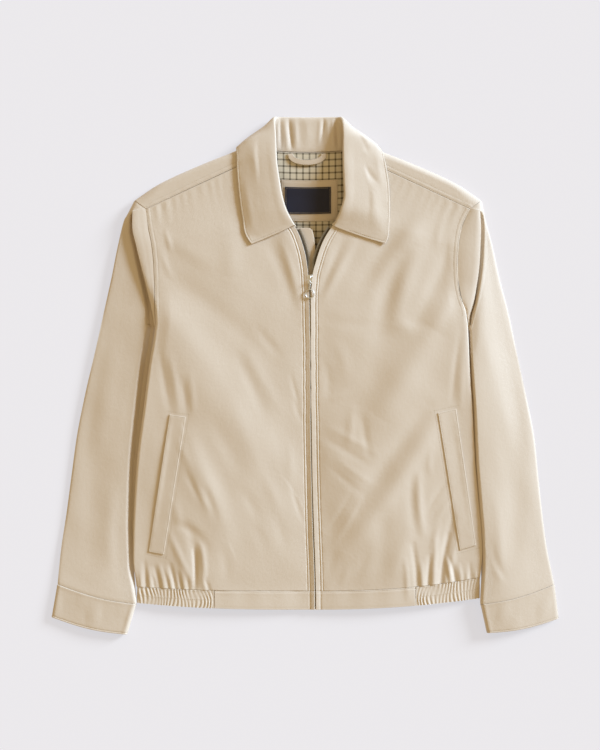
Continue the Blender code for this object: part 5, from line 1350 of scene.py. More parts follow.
# How nearly the two fronts close over the zip, by height: 1 is closed.
SLIT = Table(
    "y closed",
    (28, 0.35), (120, 0.2), (200, 0.45), (290, 0.3), (310, 0.9), (326, 0.9), (334, 0.3), (344, 0.9),
    (358, 0.9), (366, 0.3), (380, 0.9), (404, 0.85), (418, 0.2), (462, 0.0), (486, 0.0),
)  # fmt: skip


@dataclass
class Front:
    """One front, from its hem seam to the forward shoulder seam and from its side seam to the zip."""

    side: Side
    wall: float = SHELL
    step: float = 2.0
    row_step: float = 2.4
    placket_lift: float = 1.35
    edge_shift: float = 0.7
    panel: Panel = field(init=False)
    levels: Array = field(init=False)

    def edge_at(self, levels: Array) -> Array:
        """The side edge's x at these levels, away from the middle."""
        return np.where(
            levels < UNDERARM_Y,
            BODY_SIDE.read(self.side.label, "y", levels),
            ARMHOLE_FRONT.read(self.side.label, "y", levels),
        )

    def zip_shift(self, y: Array) -> Array:
        """How far the front's edge lies over the zip."""
        below = 1 - climb(y, 478, 14)
        return (self.edge_shift + 0.75 * SLIT.read("closed", "y", y)) * below

    def build(self) -> Panel:
        """Makes the panel."""
        sign = self.side.value
        total = ARMHOLE_FRONT["y"][-1] - BAND_TOP
        levels = spread(total, self.row_step, (0.0, 0.35, 0.8, 1.4, 2.4, 4.0), SEAM_EDGE) + BAND_TOP
        self.levels = levels
        side_x = self.edge_at(levels)
        lengths = np.concatenate([[0], np.cumsum(np.hypot(np.diff(levels), np.diff(side_x)))])
        share = lengths / lengths[-1]
        edge_x = FRONT_EDGE.read(self.side.label + "_x", "share", share)
        edge_y = FRONT_EDGE.read(self.side.label + "_y", "share", share)
        edge_x = edge_x - sign * self.zip_shift(edge_y)
        start_x = sign * side_x
        span = np.hypot(edge_x - start_x, edge_y - levels)
        side_width, zip_width = SIDE_EDGE[-1], ZIP_EDGE[-1]
        count = int(round((span.max() - side_width - zip_width) / self.step))
        middle = np.linspace(0, 1, count + 1)[None, 1:-1]
        first, last = np.array(SIDE_EDGE), np.array(ZIP_EDGE)[::-1]
        shares = np.concatenate(
            [
                first[None] / span[:, None],
                blend(side_width / span[:, None], 1 - zip_width / span[:, None], middle),
                1 - last[None] / span[:, None],
            ],
            axis=1,
        )
        x = blend(start_x[:, None], edge_x[:, None], shares)
        y = blend(levels[:, None], edge_y[:, None], shares)
        rise = hem_top(x) + EDGE_GAP - BAND_TOP
        y = y + rise * (1 - climb(levels, BAND_TOP, 110.0))[:, None]
        inset, from_edge = shares * span[:, None], (1 - shares) * span[:, None]
        z = front_height(x, y, inset, from_edge, self.side)
        along = np.abs(x[-1] - x[-1, 0]) / abs(x[-1, -1] - x[-1, 0])
        seam_z = SHOULDER.read("top_z", "x", blend(SHOULDER_TIP_X, SHOULDER_NECK_X, along)) + SEAM_RIDGE
        weight = climb(levels, 540.0, levels[-1] - 540.0) ** 0.8
        z = blend(z, seam_z[None], weight[:, None])
        z = z + self.puckers(levels, inset)
        grid = np.stack([x, y, z], axis=-1)
        grid[-1, :, 1] -= EDGE_GAP
        raised = self.relief(y, levels, inset, from_edge)
        self.panel = Panel(f"front_{self.side.label}", grid, self.wall, outer_relief=raised)
        return self.panel

    def puckers(self, levels: Array, inset: Array) -> Array:
        """Small folds that run away from the shoulder seam near the armhole."""
        below = (levels[-1] - levels)[:, None]
        reach = smooth_step(below / 5) * np.exp(-((below / 24) ** 2))
        strength = 0.75 * bump(inset, 24, 16) + 0.25 * bump(inset, 90, 50)
        return np.sin(inset / 2.3 + 0.9 * np.sin(inset / 9)) * reach * strength * 0.5

    def relief(self, y: Array, levels: Array, inset: Array, from_edge: Array) -> Array:
        """Raised bands and stitched troughs beside the zip and the armhole."""
        lift = self.placket_lift * (1 - np.clip(from_edge / 7.6, 0, 1)) * (1 - 0.5 * climb(y, 520, 40))
        placket = lift + 0.3 * bump(from_edge, 9.0, 1.0)
        placket -= 0.45 * bump(from_edge, PLACKET_NEAR, 0.5) + 0.4 * bump(from_edge, PLACKET_FAR, 0.55)
        wobble = 0.12 * np.sin(y / 3.6 + 1.4 * np.sin(y / 21)) * bump(from_edge, 9.0, 3.5)
        arm = climb(levels, 436, 14)[:, None]
        armhole = 0.12 * bump(inset, 4.0, 2.0) - 0.12 * (bump(inset, NEAR_LINE, 0.55) + bump(inset, FAR_LINE, 0.6))
        armhole += 0.06 * np.sin(y / 3.3 + 1.2 * np.sin(y / 19)) * bump(inset, 4.5, 3.5)
        return placket + wobble + armhole * arm

    def dress(self, finishes: Finishes, stitches: Run) -> None:
        """Dresses the front and lays its topstitches."""
        self.panel.dress(finishes.cotton, "cotton", "laid", ["back"])
        columns = self.panel.grid.shape[1]
        rows = np.arange(len(self.levels))
        upper = rows[(self.levels > 440) & (self.levels < self.levels[-1] - 1)]
        for wanted in (NEAR_LINE, FAR_LINE):
            stitches.add(self.panel.trace(upper, SIDE_EDGE.index(wanted)))
        shown = rows[(self.panel.grid[:, -1, 1] < 590) & (rows > 1)]
        for wanted in (PLACKET_NEAR, PLACKET_FAR):
            stitches.add(self.panel.trace(shown, columns - 1 - ZIP_EDGE.index(wanted)))


# ---- Sleeves and cuffs ----
SLEEVE_EDGE = Table(
    "y right left",
    (-20, 383, 377), (37, 376, 370), (75, 373, 361.5), (120, 366, 355.5), (165, 360, 349.5), (210, 354, 345),
    (255, 348, 340.5), (300, 339, 331.5), (345, 330, 322.5), (412, 313.5, 307.5), (457, 304, 298.5),
    (502, 294, 286.5), (547, 285, 276.5), (570, 280, 270.5), (592, 273, 264.5), (614, 260, 260),
)  # fmt: skip
# How far a sleeve's inner edge lies under the body; below 0 it lies beside it.
UNDERLAP = Table(
    "y width",
    (7, -3.2), (44, -1.8), (62, -0.6), (95, 8), (130, 17), (200, 22), (285, 22), (335, 15), (372, 5),
    (394, -1.6), (429, -2.0),
)  # fmt: skip
SLEEVE_RINGS = Table(
    "outer_y inner_y crown edge",
    (583, 421, 12.5, 6.5), (549, 408, 13.5, 6.5), (500, 388, 14.5, 6.5), (446, 356, 15.5, 6.5),
    (388, 318, 16.0, 6.5), (326, 274, 16.0, 6.5), (264, 226, 15.5, 6.5), (205, 176, 15.0, 6.3),
    (148, 124, 14.0, 6.0), (92, 68, 12.5, 5.6), (37.7, 8.5, 10.5, 5.2),
)  # fmt: skip
SLEEVE_FOLD = Table(
    "y right left",
    (427, 230.2, 241.2), (444, 232.5, 243.5), (462, 236, 248), (489, 242.5, 252.5), (516, 249.5, 256),
    (543, 256, 257.5), (572, 262.5, 258.5), (598, 262.5, 257.5),
)  # fmt: skip
SLEEVE_HEAD = Table(
    "out_degrees fold_y fold_z under drop",
    (0, 604, 7, 0, 0), (-15, 603, 10, 0, 0.5), (-35, 602, 12.5, 0, 1.2), (-50, 601, 14.2, 0.3, 2.2),
    (-54, 600, 14.8, 1.0, 3.6), (-25, 598, 15.2, 2.5, 6.0), (-9, 572, 16.4, 6.5, 9.0),
    (-9, 543, 17.2, 9.0, 8.6), (-4, 516, 17.3, 10.0, 8.7), (0, 489, 16.9, 9.0, 8.5),
    (0, 462, 15.4, 6.0, 7.2), (-6, 444, 13.0, 2.0, 5.0), (-22, 427, 9.0, 0.0, 1.0),
)  # fmt: skip
HEAD_TOP_COUNT = 13
TOP_FROM_OUTER = (0.0, 1.2, 4.5, 9.5, 16.0, 26.0)
TOP_SHARES = (0.2, 0.42, 0.64, 0.82)
TOP_FROM_INNER = (9.0, 2.0, 0.0)
BOTTOM_FROM_INNER = (1.4, 8.0)
BOTTOM_SHARES = (0.66, 0.5, 0.33)
BOTTOM_FROM_OUTER = (14.0, 4.5, 1.2)
MARGIN_TOP = 3.0
CUFF_BOW = 4.5
CUFF_END: dict[Side, tuple[tuple[float, float], tuple[float, float]]] = {
    Side.RIGHT: ((384.6, -12.0), (272.7, -37.5)),
    Side.LEFT: ((376.0, -14.0), (269.5, -34.8)),
}
# How much of a sleeve's height falls away evenly towards its outer edge.
SLEEVE_LEAN: dict[Side, float] = {Side.RIGHT: 0.86, Side.LEFT: 0.88}
# A sleeve's share of the crown and of the outer edge's height, by where its inner edge is.
SLEEVE_TALL = Table(
    "y right left right_edge left_edge",
    (-40, 0.9, 1.22, 1, 1), (8.5, 0.9, 1.22, 1, 1), (68, 0.58, 0.9, 0.6, 0.5), (124, 0.58, 0.92, 0.5, 0.4),
    (176, 0.6, 0.97, 0.5, 0.4), (240, 0.65, 1.07, 0.6, 0.6), (330, 0.72, 1.2, 0.85, 0.7), (600, 0.7, 1.24, 1, 0.85),
)  # fmt: skip
# Where beside the body a sleeve starts to rise from where it is pressed flat, and over what width.
PRESS = Table(
    "y right_start right_rise left_start left_rise",
    (0, 0.5, 7.0, 0.2, 4.0), (105, 2.0, 9.0, 0.2, 4.2), (210, 4.0, 10.0, 0.2, 4.4), (315, 6.5, 10.0, 0.2, 4.6),
    (400, 7.0, 10.0, 0.3, 4.6), (425, 6.5, 9.0, 0.6, 4.4), (460, 4.5, 7.0, 1.2, 4.0), (520, 3.0, 6.0, 2.0, 4.5),
    (573, 1.5, 5.0, 2.5, 5.0), (600, 1.0, 4.0, 2.0, 4.0),
)  # fmt: skip
PRESSED_SHARE: dict[Side, float] = {Side.RIGHT: 0.15, Side.LEFT: 0.42}
SLEEVE_BOW: dict[Side, Triple] = {Side.RIGHT: (0.0, 0.0, 0.0), Side.LEFT: (5.0, 3.0, 1.0)}
SLEEVE_FOLDS: dict[Side, tuple[Fold, ...]] = {
    Side.RIGHT: folds(
        (-268, 590, -282, 500, -312, 400, 13, 0.5), (-300, 470, -322, 360, -330, 250, 14, -0.6),
        (-290, 400, -306, 300, -322, 200, 15, 0.6), (-345, 280, -338, 210, -352, 140, 12, 0.4),
        (-312, 240, -330, 160, -326, 70, 16, -0.9), (-292, 180, -302, 120, -296, 60, 11, 0.7),
        (-262, 160, -270, 110, -266, 50, 6, -1.0),
    ),
    Side.LEFT: folds(
        (268, 585, 278, 500, 305, 400, 12, 0.6), (290, 470, 312, 360, 318, 250, 14, -0.8),
        (262, 420, 280, 340, 306, 250, 13, 0.6), (334, 300, 326, 220, 340, 140, 12, 0.6),
        (300, 230, 318, 150, 306, 60, 15, -1.1), (276, 170, 290, 110, 284, 50, 10, 0.8),
        (262, 120, 276, 80, 292, 52, 6, -0.9), (262, 96, 272, 66, 288, 48, 5, 0.8),
    ),
}  # fmt: skip


def ellipse_rise(distance: Array, width: Numbers) -> Array:
    """The rise of a rounded edge, from 0 at its end to 1 at its full width."""
    return np.sqrt(np.clip(1 - (1 - np.clip(distance / width, 0, 1)) ** 2, 0, 1))


def beside_body(x: Array, y: Array, side: Side) -> Array:
    """Distance of a sleeve's point outside the body's edge, or outside the fold above the underarm."""
    edge = np.where(y < SLEEVE_FOLD["y"][0], BODY_SIDE.read(side.label, "y", y), SLEEVE_FOLD.read(side.label, "y", y))
    return np.abs(x) - edge


@dataclass
class FlatTube:
    """A closed ring of cloth pressed flat, from its outer to its inner edge and back below."""

    side: Side
    outer: Array
    inner: Array
    crown: float
    edge: float
    margin: float
    bow: float = 0.0
    sag: float = 0.0

    def points(self) -> Array:
        """The ring's points: over the top first."""
        width = float(np.linalg.norm(self.inner - self.outer))
        span = width - TOP_FROM_OUTER[-1]
        top = list(TOP_FROM_OUTER) + [TOP_FROM_OUTER[-1] + span * share for share in TOP_SHARES]
        top = np.array(top + [width - step for step in TOP_FROM_INNER])
        bottom = [width - step for step in BOTTOM_FROM_INNER] + [width * share for share in BOTTOM_SHARES]
        bottom = np.array(bottom + list(BOTTOM_FROM_OUTER))
        lean, label = SLEEVE_LEAN[self.side], self.side.label
        tall, edge_share = (float(SLEEVE_TALL.read(name, "y", self.inner[1])) for name in (label, label + "_edge"))
        outer_edge = self.edge * edge_share
        inner_edge = blend(self.edge, (FLOOR + MARGIN_TOP) / 2, self.margin)
        made = []
        for places, above in ((top, True), (bottom, False)):
            share = places / width
            plan = self.outer + (self.inner - self.outer) * share[:, None]
            swell = np.sin(np.pi * share)
            plan = plan + np.column_stack([self.bow * swell, -self.sag * swell])
            mid = blend(outer_edge, inner_edge, share)
            if above:
                hump = self.crown * tall * (1.0 + 0.06 * np.sin(np.pi * np.clip(share * 1.1, 0, 1)))
                ramp = np.sin(np.clip(share / 0.85, 0, 1) * math.pi / 2) ** 1.2
                outward = (1 - lean) * ellipse_rise(places, 11.0 + 2.0 * self.side.value) + lean * ramp
                z = mid + (hump - mid) * np.minimum(outward, ellipse_rise(width - places, 3.0))
            else:
                near = ellipse_rise(width - places, float(blend(9.0, 1.6, self.margin)))
                z = mid + (FLOOR - mid) * np.minimum(ellipse_rise(places, 9.0), near)
            made.append(np.column_stack([self.side.value * plan[:, 0], plan[:, 1], z]))
        return np.concatenate(made)


def inner_point(side: Side, y: float) -> Array:
    """The inner edge of a sleeve, under or beside the body."""
    return np.array([float(BODY_SIDE.read(side.label, "y", y) - UNDERLAP.read("width", "y", y)), y])


@dataclass
class Sleeve:
    """A sleeve: a long tube sewn into the armhole, folded over beside it and flattened below."""

    side: Side
    wall: float = SHELL
    step: float = 2.6
    column_step: float = 1.4
    probe: tuple[float, float] = (0.6, 0.22)
    panel: Panel = field(init=False)

    def armhole_ring(self, front: Front, back: Back) -> Array:
        """The first ring, just outside the armhole edges of the front and the back."""
        wanted = ARMHOLE_FRONT["y"]
        edge = front.panel.grid[:, 0]
        edge = np.column_stack([np.interp(wanted, front.levels, edge[:, axis]) for axis in range(3)])
        flat, wrap = back.edge_points(self.side)
        top = np.concatenate([wrap[2:], edge[::-1][1:]])
        top[-1, 2] = edge_seam_height(top[-1, 0], top[-1, 1])
        bottom = np.concatenate([flat, wrap[:2]])
        angles = np.radians(np.concatenate([SLEEVE_HEAD["out_degrees"], np.full(len(bottom), -8.0)]))
        out = np.column_stack([self.side.value * np.cos(angles), np.sin(angles), np.zeros(len(angles))])
        from_underarm = np.abs(np.arange(len(angles)) - (HEAD_TOP_COUNT - 1))
        gap = EDGE_GAP + 0.05 + 0.6 * np.clip((3.0 - from_underarm) / 2, 0, 1)
        return np.concatenate([top, bottom]) + out * gap[:, None]

    def head_rings(self, armhole: Array, first: Array) -> list[Array]:
        """The rings from the armhole over the fold, down into the groove and out again."""
        head, sign = SLEEVE_HEAD, self.side.value
        line_x = SLEEVE_FOLD.read(self.side.label, "y", head["fold_y"])
        tip = blend(armhole[0], first[0], 0.42)
        fold = np.column_stack([sign * line_x, head["fold_y"], head["fold_z"]])
        shares = np.array([0.0, 0.14, 0.34, 0.55, 0.78])
        fold[:5, :2] = tip[:2] + (fold[5, :2] - tip[:2]) * shares[:, None]
        fold[0, 2] = tip[2]
        fold[:, 2] -= 1.4 * np.clip(np.arange(len(fold)) / 5, 0, 1) * (np.arange(len(fold)) < 11)
        fold[-1] = blend(armhole[HEAD_TOP_COUNT - 1], first[HEAD_TOP_COUNT - 1], 0.4)
        under = np.column_stack([-sign * head["under"], np.zeros(len(line_x)), -head["drop"]])
        tops = (
            (0.16, blend(armhole[:HEAD_TOP_COUNT], fold, 0.55) + [0, 0, 0.7 + 0.5 * sign]),
            (0.32, fold),
            (0.44, fold + under * [0.10, 1, 0.32]),
            (0.62, fold + under),
        )
        deep = smooth_step(head["under"] / 2.5)[:, None]
        rings = []
        for share, top in tops:
            ring = blend(armhole, first, share)
            ring[:HEAD_TOP_COUNT] = blend(ring[:HEAD_TOP_COUNT], top, deep)
            for index in range(1, 5):
                ring[index] = blend(ring[index], top[index], 0.5 + 0.1 * index)
            rings.append(ring)
        return rings

    def coarse(self, front: Front, back: Back) -> Array:
        """The rings that the fine tube runs through."""
        rings, count = [], len(SLEEVE_RINGS["crown"])
        for row in range(count):
            outer_y, inner_y = float(SLEEVE_RINGS["outer_y"][row]), float(SLEEVE_RINGS["inner_y"][row])
            last = row == count - 1
            tube = FlatTube(
                self.side,
                np.array([float(SLEEVE_EDGE.read(self.side.label, "y", outer_y)), outer_y]),
                inner_point(self.side, inner_y),
                float(SLEEVE_RINGS["crown"][row]),
                float(SLEEVE_RINGS["edge"][row]),
                margin=0.0 if last else 1.0,
                bow=SLEEVE_BOW[self.side][row] if row < len(SLEEVE_BOW[self.side]) else 0.0,
                sag=CUFF_BOW if last else CUFF_BOW * row / 14,
            )
            rings.append(tube.points())
        armhole = self.armhole_ring(front, back)
        return np.array([armhole] + self.head_rings(armhole, rings[0]) + rings)

    def build(self, front: Front, back: Back) -> Panel:
        """Makes the panel, with the creases of its upper side and of the side that lies below."""
        coarse = self.coarse(front, back)
        grid = refine(coarse, self.step, self.column_step, ring=True)
        rows = chord_places(coarse)
        place = between(rows, self.step)
        pressed = climb(place, rows[4], 0.5 * (rows[5] - rows[4]))
        pressed = pressed * (1 - climb(place, rows[-2], rows[-1] - rows[-2]))
        x, y = grid[..., 0], grid[..., 1]
        gap = beside_body(x, y, self.side)
        start, rise = (PRESS.read(f"{self.side.label}_{part}", "y", y) for part in ("start", "rise"))
        low = PRESSED_SHARE[self.side]
        free = low + (1 - low) * climb(gap, start, rise)
        grid[..., 2] = FLOOR + (grid[..., 2] - FLOOR) * blend(1.0, free, pressed[:, None])
        plan = Panel("plan", grid, self.wall, probe=self.probe, ring=True)
        up = plan.normals[..., 2]
        ends = smooth_step(plan.along[:, :-1] / 30) * climb(plan.along[-1:, :-1], plan.along[:, :-1], 25)
        top = climb(up, 0.75, 0.2) * climb(gap, 8, 26) * ends
        relief = creases(SLEEVE_FOLDS[self.side], x, y) + 0.8 * undulation(x, y)
        below = climb(-up, 0.75, 0.2) * ends
        grid[..., 2] += top * relief + below * np.maximum(relief * 0.7 + 0.5, 0)
        self.panel = Panel(f"sleeve_{self.side.label}", grid, self.wall, probe=self.probe, ring=True)
        return self.panel

    def dress(self, finishes: Finishes) -> None:
        """Dresses the sleeve."""
        self.panel.dress(finishes.cotton, "cotton", "laid", ["floor"])


@dataclass
class Cuff:
    """The cuff band below a sleeve."""

    side: Side
    wall: float = CUFF_WALL
    step: float = 2.6
    probe: tuple[float, float] = (0.5, 0.22)
    panel: Panel = field(init=False)
    stitch_row: int = field(init=False)

    def build(self) -> Panel:
        """Makes the panel: a flat tube with raised edges and stitched troughs."""
        outer_y, inner_y = float(SLEEVE_RINGS["outer_y"][-1]), float(SLEEVE_RINGS["inner_y"][-1])
        seam_outer = np.array([float(SLEEVE_EDGE.read(self.side.label, "y", outer_y)), outer_y])
        seam_inner = inner_point(self.side, inner_y)
        end_outer, end_inner = (np.array(end) for end in CUFF_END[self.side])
        length = float(np.linalg.norm(end_outer - seam_outer))
        places = spread(length - EDGE_GAP - 0.1, self.step, (0.0, 0.35, 0.8, 1.5, 2.5), CUFF_EDGE)
        rings = []
        for share in (places + EDGE_GAP + 0.1) / length:
            outer, inner = blend(seam_outer, end_outer, share), blend(seam_inner, end_inner, share)
            tube = FlatTube(self.side, outer, inner, 9.9 - share, 5.2 - 0.3 * share, 0.0, sag=CUFF_BOW)
            rings.append(tube.points())
        grid = refine(np.array(rings) + [0, 0, (CUFF_WALL - SHELL) / 2], 50.0, self.step, ring=True)
        plan = Panel("plan", grid, self.wall, probe=self.probe, ring=True)
        up = climb(np.abs(plan.normals[..., 2]), 0.75, 0.2)
        x, y = grid[..., 0], grid[..., 1]
        wave = 0.35 * np.sin(x / 9.0 + y / 31) + 0.2 * np.sin(x / 5.1 - y / 14 + 1.0)
        middle = np.sin(np.pi * places / places[-1])[:, None]
        grid[..., 2] += up * np.maximum(wave, -0.1) * (0.35 + 0.65 * middle)
        away = (places[-1] - places)[:, None]
        relief = 0.25 * bump(places[:, None], 1.8, 1.4) - 0.35 * bump(away, CUFF_LINE, 0.5) + 0.0 * x
        name = f"cuff_{self.side.label}"
        self.panel = Panel(name, grid, self.wall, probe=self.probe, ring=True, outer_relief=relief)
        self.stitch_row = len(places) - 1 - CUFF_EDGE.index(CUFF_LINE)
        return self.panel

    def dress(self, finishes: Finishes, stitches: Run) -> None:
        """Dresses the cuff and stitches its wrist edge."""
        self.panel.dress(finishes.cotton, "cotton", "laid", ["floor"])
        columns = list(range(self.panel.grid.shape[1])) + [0]
        stitches.add(self.panel.trace(self.stitch_row, columns))


# ---- Hem ----
ELASTIC_INNER: dict[Side, float] = {Side.RIGHT: 141.0, Side.LEFT: 162.0}


@dataclass
class HemElastic:
    """The ribbed, elasticated length of the hem, round the side seam."""

    side: Side
    wall: float = SHELL
    pitch: float = 5.2
    rib: float = 1.05
    step: float = 0.75
    lines: tuple[float, float] = (0.46, 0.93)  # stitched lines, as shares of the band's height
    line_widths: tuple[float, float] = (0.045, 0.05)
    section_count: int = 100
    panel: Panel = field(init=False)
    ribbed: Array = field(init=False)

    def section(self) -> tuple[Array, Array, Array]:
        """From the front, round the side seam, to the back: x and z, lengths, and how far it is ribbed."""
        edge = float(BODY_SIDE.read(self.side.label, "y", 16.0))
        inner = ELASTIC_INNER[self.side]
        roll = SIDE_ROLL[self.side]
        count = self.section_count
        inset = np.concatenate([np.linspace(edge - inner, roll, count), roll * np.linspace(1, 0, count)[1:] ** 2])
        front_z = float(LOFT.read("front", "y", BAND_TOP))
        seam_z = FLOOR + (front_z - FLOOR) * float(LOFT.read("seam_share", "y", BAND_TOP))
        lowered = front_z - dip(self.side.value * (edge - inset), np.full(len(inset), BAND_TOP))
        over = seam_z + (lowered - seam_z) * ellipse_rise(inset, roll)
        round_seam = BACK_ROLL * np.linspace(0, 1, count)[1:] ** 2
        below_inset = np.concatenate([round_seam, np.linspace(BACK_ROLL, edge - inner, count)[1:]])
        below = seam_z + (FLOOR - seam_z) * ellipse_rise(below_inset, BACK_ROLL)
        place = self.side.value * (edge - np.concatenate([inset, below_inset]))
        path = np.column_stack([place, np.concatenate([over, below])])
        lengths = np.concatenate([[0], np.cumsum(np.linalg.norm(np.diff(path, axis=0), axis=1))])
        turn = lengths[len(inset) - 1]
        places = np.linspace(0, lengths[-1], int(lengths[-1] / self.step))
        points = np.column_stack([np.interp(places, lengths, path[:, i]) for i in range(2)])
        ribbed = smooth_step(places / 4) * np.where(places < turn, 1.0, 0.3) * climb(lengths[-1], places, 4)
        return points, places, ribbed

    def build(self) -> Panel:
        """Makes the panel."""
        points, places, ribbed = self.section()
        x = points[:, 0]
        rows, relief = [], []
        for share in RIB_SHARES:
            y = blend(hem_bottom(x), hem_top(x), share)
            ragged = 0.35 * np.sin(places / self.pitch * 2 * math.pi) * (1 - smooth_step(share / 0.15)) * ribbed
            rows.append(np.column_stack([x, y - ragged, points[:, 1]]))
            lean = 1.3 * math.sin(share * 4.0) + 0.8 * np.sin(places / 31 + 3 * share)
            phase = (places + lean) / self.pitch + 0.34 * np.sin(places / 13 + 2.2 * share)
            phase = phase + 0.2 * np.sin(places / 5.9 - 3 * share)
            sharp = (np.sin(phase * 2 * math.pi) * 0.5 + 0.5) ** 0.8
            uneven = 0.68 + 0.3 * np.sin(places / 8.3 + 2 * share) + 0.2 * np.sin(places / 23 + 5 * share)
            low, high = (float(bump(np.array(share), *line)) for line in zip(self.lines, self.line_widths))
            pinch = 1 - 0.62 * low - 0.5 * high
            relief.append((sharp * self.rib * uneven - 0.45) * pinch * ribbed)
        grid, raised = np.array(rows), np.array(relief)
        if self.side is Side.LEFT:
            grid, raised = grid[:, ::-1], raised[:, ::-1]
        probe = (0.5, 0.2 if self.side is Side.RIGHT else 0.8)
        name = f"hem_elastic_{self.side.label}"
        self.panel = Panel(name, grid, self.wall, probe=probe, outer_relief=raised, rounded=False)
        return self.panel

    def dress(self, finishes: Finishes, stitches: Run) -> None:
        """Dresses the elastic and stitches the lines through its ribs."""
        self.panel.dress(finishes.cotton, "cotton", "gathered", ["back"])
        for line in self.lines:
            stitches.add(self.panel.trace(RIB_SHARES.index(line), slice(None)))


@dataclass
class HemBand:
    """A plain length of the hem between two ends."""

    name: str
    start: float
    end: float
    height: float
    facing: Facing = Facing.UP
    wall: float = BAND_WALL
    panel: Panel = field(init=False)

    def build(self) -> Panel:
        """Makes the panel, with a trough along its upper stitch line and slight waves."""
        edge = (0.0, 0.3, 0.7, 1.5, 3.0, 5.0, 6.6, 7.2, 7.8)
        places = spread(abs(self.end - self.start), 3.0, (0.0, 0.35, 0.8, 1.6), edge)
        x = self.start + np.sign(self.end - self.start) * places
        shares = np.array(BAND_SHARES)
        rows = [np.column_stack([x, blend(hem_bottom(x), hem_top(x), s), np.full(len(x), self.height)]) for s in shares]
        grid = np.array(rows)
        relief = 0.2 * bump(shares, 0.86, 0.05) - 0.3 * bump(shares, BAND_LINE, 0.02) - 0.2 * bump(shares, 0.05, 0.03)
        raised = np.repeat(relief[:, None], len(x), axis=1)
        if self.facing is Facing.UP:
            grid[..., 2] -= dip(x, np.full(len(x), BAND_TOP))[None]
            side = Side.RIGHT if x.mean() < 0 else Side.LEFT
            waves = 0.35 * np.sin(x / 15 + 0.7 * np.sin(x / 37)) + 0.22 * np.sin(x / 6.3 + 1.0)
            near = creases(gather_folds(side), grid[..., 0], grid[..., 1] + 6)
            grid[..., 2] += waves * (0.3 + 0.7 * shares[:, None]) + near * smooth_step(shares / 0.9)[:, None] * 0.8
            away = places[-1] - places
            raised = raised + (1.0 * (1 - smooth_step(away / 8.6)) - 0.4 * bump(away, 7.2, 0.5))[None]
        self.panel = Panel(self.name, grid, self.wall, self.facing, outer_relief=raised)
        return self.panel

    def dress(self, finishes: Finishes, stitches: Run) -> None:
        """Dresses the band and stitches its upper edge."""
        self.panel.dress(finishes.cotton, "cotton", "laid", ["back" if self.facing is Facing.UP else "floor"])
        stitches.add(self.panel.trace(BAND_SHARES.index(BAND_LINE), slice(2, -1)))


# ---- Collar ----
COLLAR_COLUMNS = "number s_x s_y s_z r_x r_y r_z m_x m_y m_z e_x e_y e_z"
COLLAR_BACK = (
    (9, 69.2, 694.5, 5.9, 49.6, 739.0, 9.0, 80, 705, 3.2, 93, 688, 1.0),
    (10, 57.0, 690.6, 5.1, 40.0, 739.8, 4.2, 50, 706, 1.4, 62, 673, 1.0),
    (11, 36.0, 689.0, 5.1, 25.0, 739.8, 3.1, 31, 703, 1.2, 37, 669, 1.0),
    (12, 0.0, 687.8, 5.1, 0.0, 739.5, 3.0, 0, 703, 1.1, 0, 668, 1.0),
)
COLLAR: dict[Side, Table] = {
    Side.RIGHT: Table(
        COLLAR_COLUMNS,
        (0, 17.9, 574.5, 17.7, 20.7, 576.2, 21.5, 51, 562.0, 20.6, 85.0, 548, 19.9),
        (1, 29.0, 584.2, 17.5, 26.5, 586.5, 23.2, 62, 574.0, 22.6, 94.0, 563, 19.6),
        (2, 43.0, 600.2, 17.1, 33.0, 600.0, 24.5, 69, 593.0, 24.0, 98.0, 586, 18.8),
        (3, 53.7, 614.2, 16.5, 38.5, 618.0, 24.6, 73, 616.0, 23.6, 102.0, 613, 18.2),
        (4, 63.0, 636.6, 15.9, 42.8, 642.0, 24.0, 76, 641.0, 23.0, 105.0, 641, 17.7),
        (5, 68.4, 660.0, 15.4, 46.6, 668.0, 23.4, 79, 665.0, 22.0, 106.6, 664, 17.2),
        (6, 69.2, 680.0, 15.0, 48.2, 693.0, 21.6, 83, 689.0, 20.4, 107.0, 681, 17.0),
        (7, 69.2, 691.5, 14.0, 49.3, 715.0, 18.6, 84, 707.0, 16.6, 107.5, 692, 13.0),
        (8, 69.2, 699.6, 9.7, 50.6, 732.0, 14.2, 87, 710.5, 8.8, 104.0, 694.5, 6.6),
        *COLLAR_BACK,
    ),
    Side.LEFT: Table(
        COLLAR_COLUMNS,
        (0, 35.7, 577.6, 17.7, 39.4, 574.6, 20.2, 77, 560.5, 19.6, 115.8, 549, 19.9),
        (1, 45.7, 587.7, 17.5, 43.3, 585.0, 21.6, 85, 573.0, 20.8, 119.6, 558, 19.6),
        (2, 56.6, 602.0, 17.1, 49.5, 600.5, 25.2, 89, 593.0, 23.0, 121.3, 576, 18.9),
        (3, 64.0, 617.0, 16.5, 54.0, 617.5, 26.0, 91, 612.0, 22.8, 122.0, 600, 18.4),
        (4, 68.6, 636.5, 15.9, 53.6, 640.0, 25.4, 92, 640.0, 22.4, 121.3, 633, 17.8),
        (5, 70.9, 660.0, 15.4, 52.6, 667.0, 24.6, 91, 664.0, 21.6, 118.0, 659, 17.3),
        (6, 69.6, 680.0, 15.0, 52.6, 692.0, 21.6, 90, 688.0, 20.4, 114.0, 677, 17.0),
        (7, 69.2, 691.5, 14.0, 53.3, 713.0, 18.6, 88, 706.0, 16.6, 109.0, 691, 13.0),
        (8, 69.2, 699.6, 9.7, 52.4, 730.0, 14.2, 88, 710.0, 8.8, 104.0, 694.5, 6.6),
        *COLLAR_BACK,
    ),
}
COLLAR_PLACES = (0, 0.5, 1, 2, 3, 4, 5, 6, 6.5, 7, 7.5, 8, 8.5, 9, 9.5, 10, 11, 12)
COLLAR_CLEAR = {Side.RIGHT: SHELL / 2 + COLLAR_WALL / 2 + 0.9, Side.LEFT: SHELL / 2 + COLLAR_WALL / 2 + 0.25}
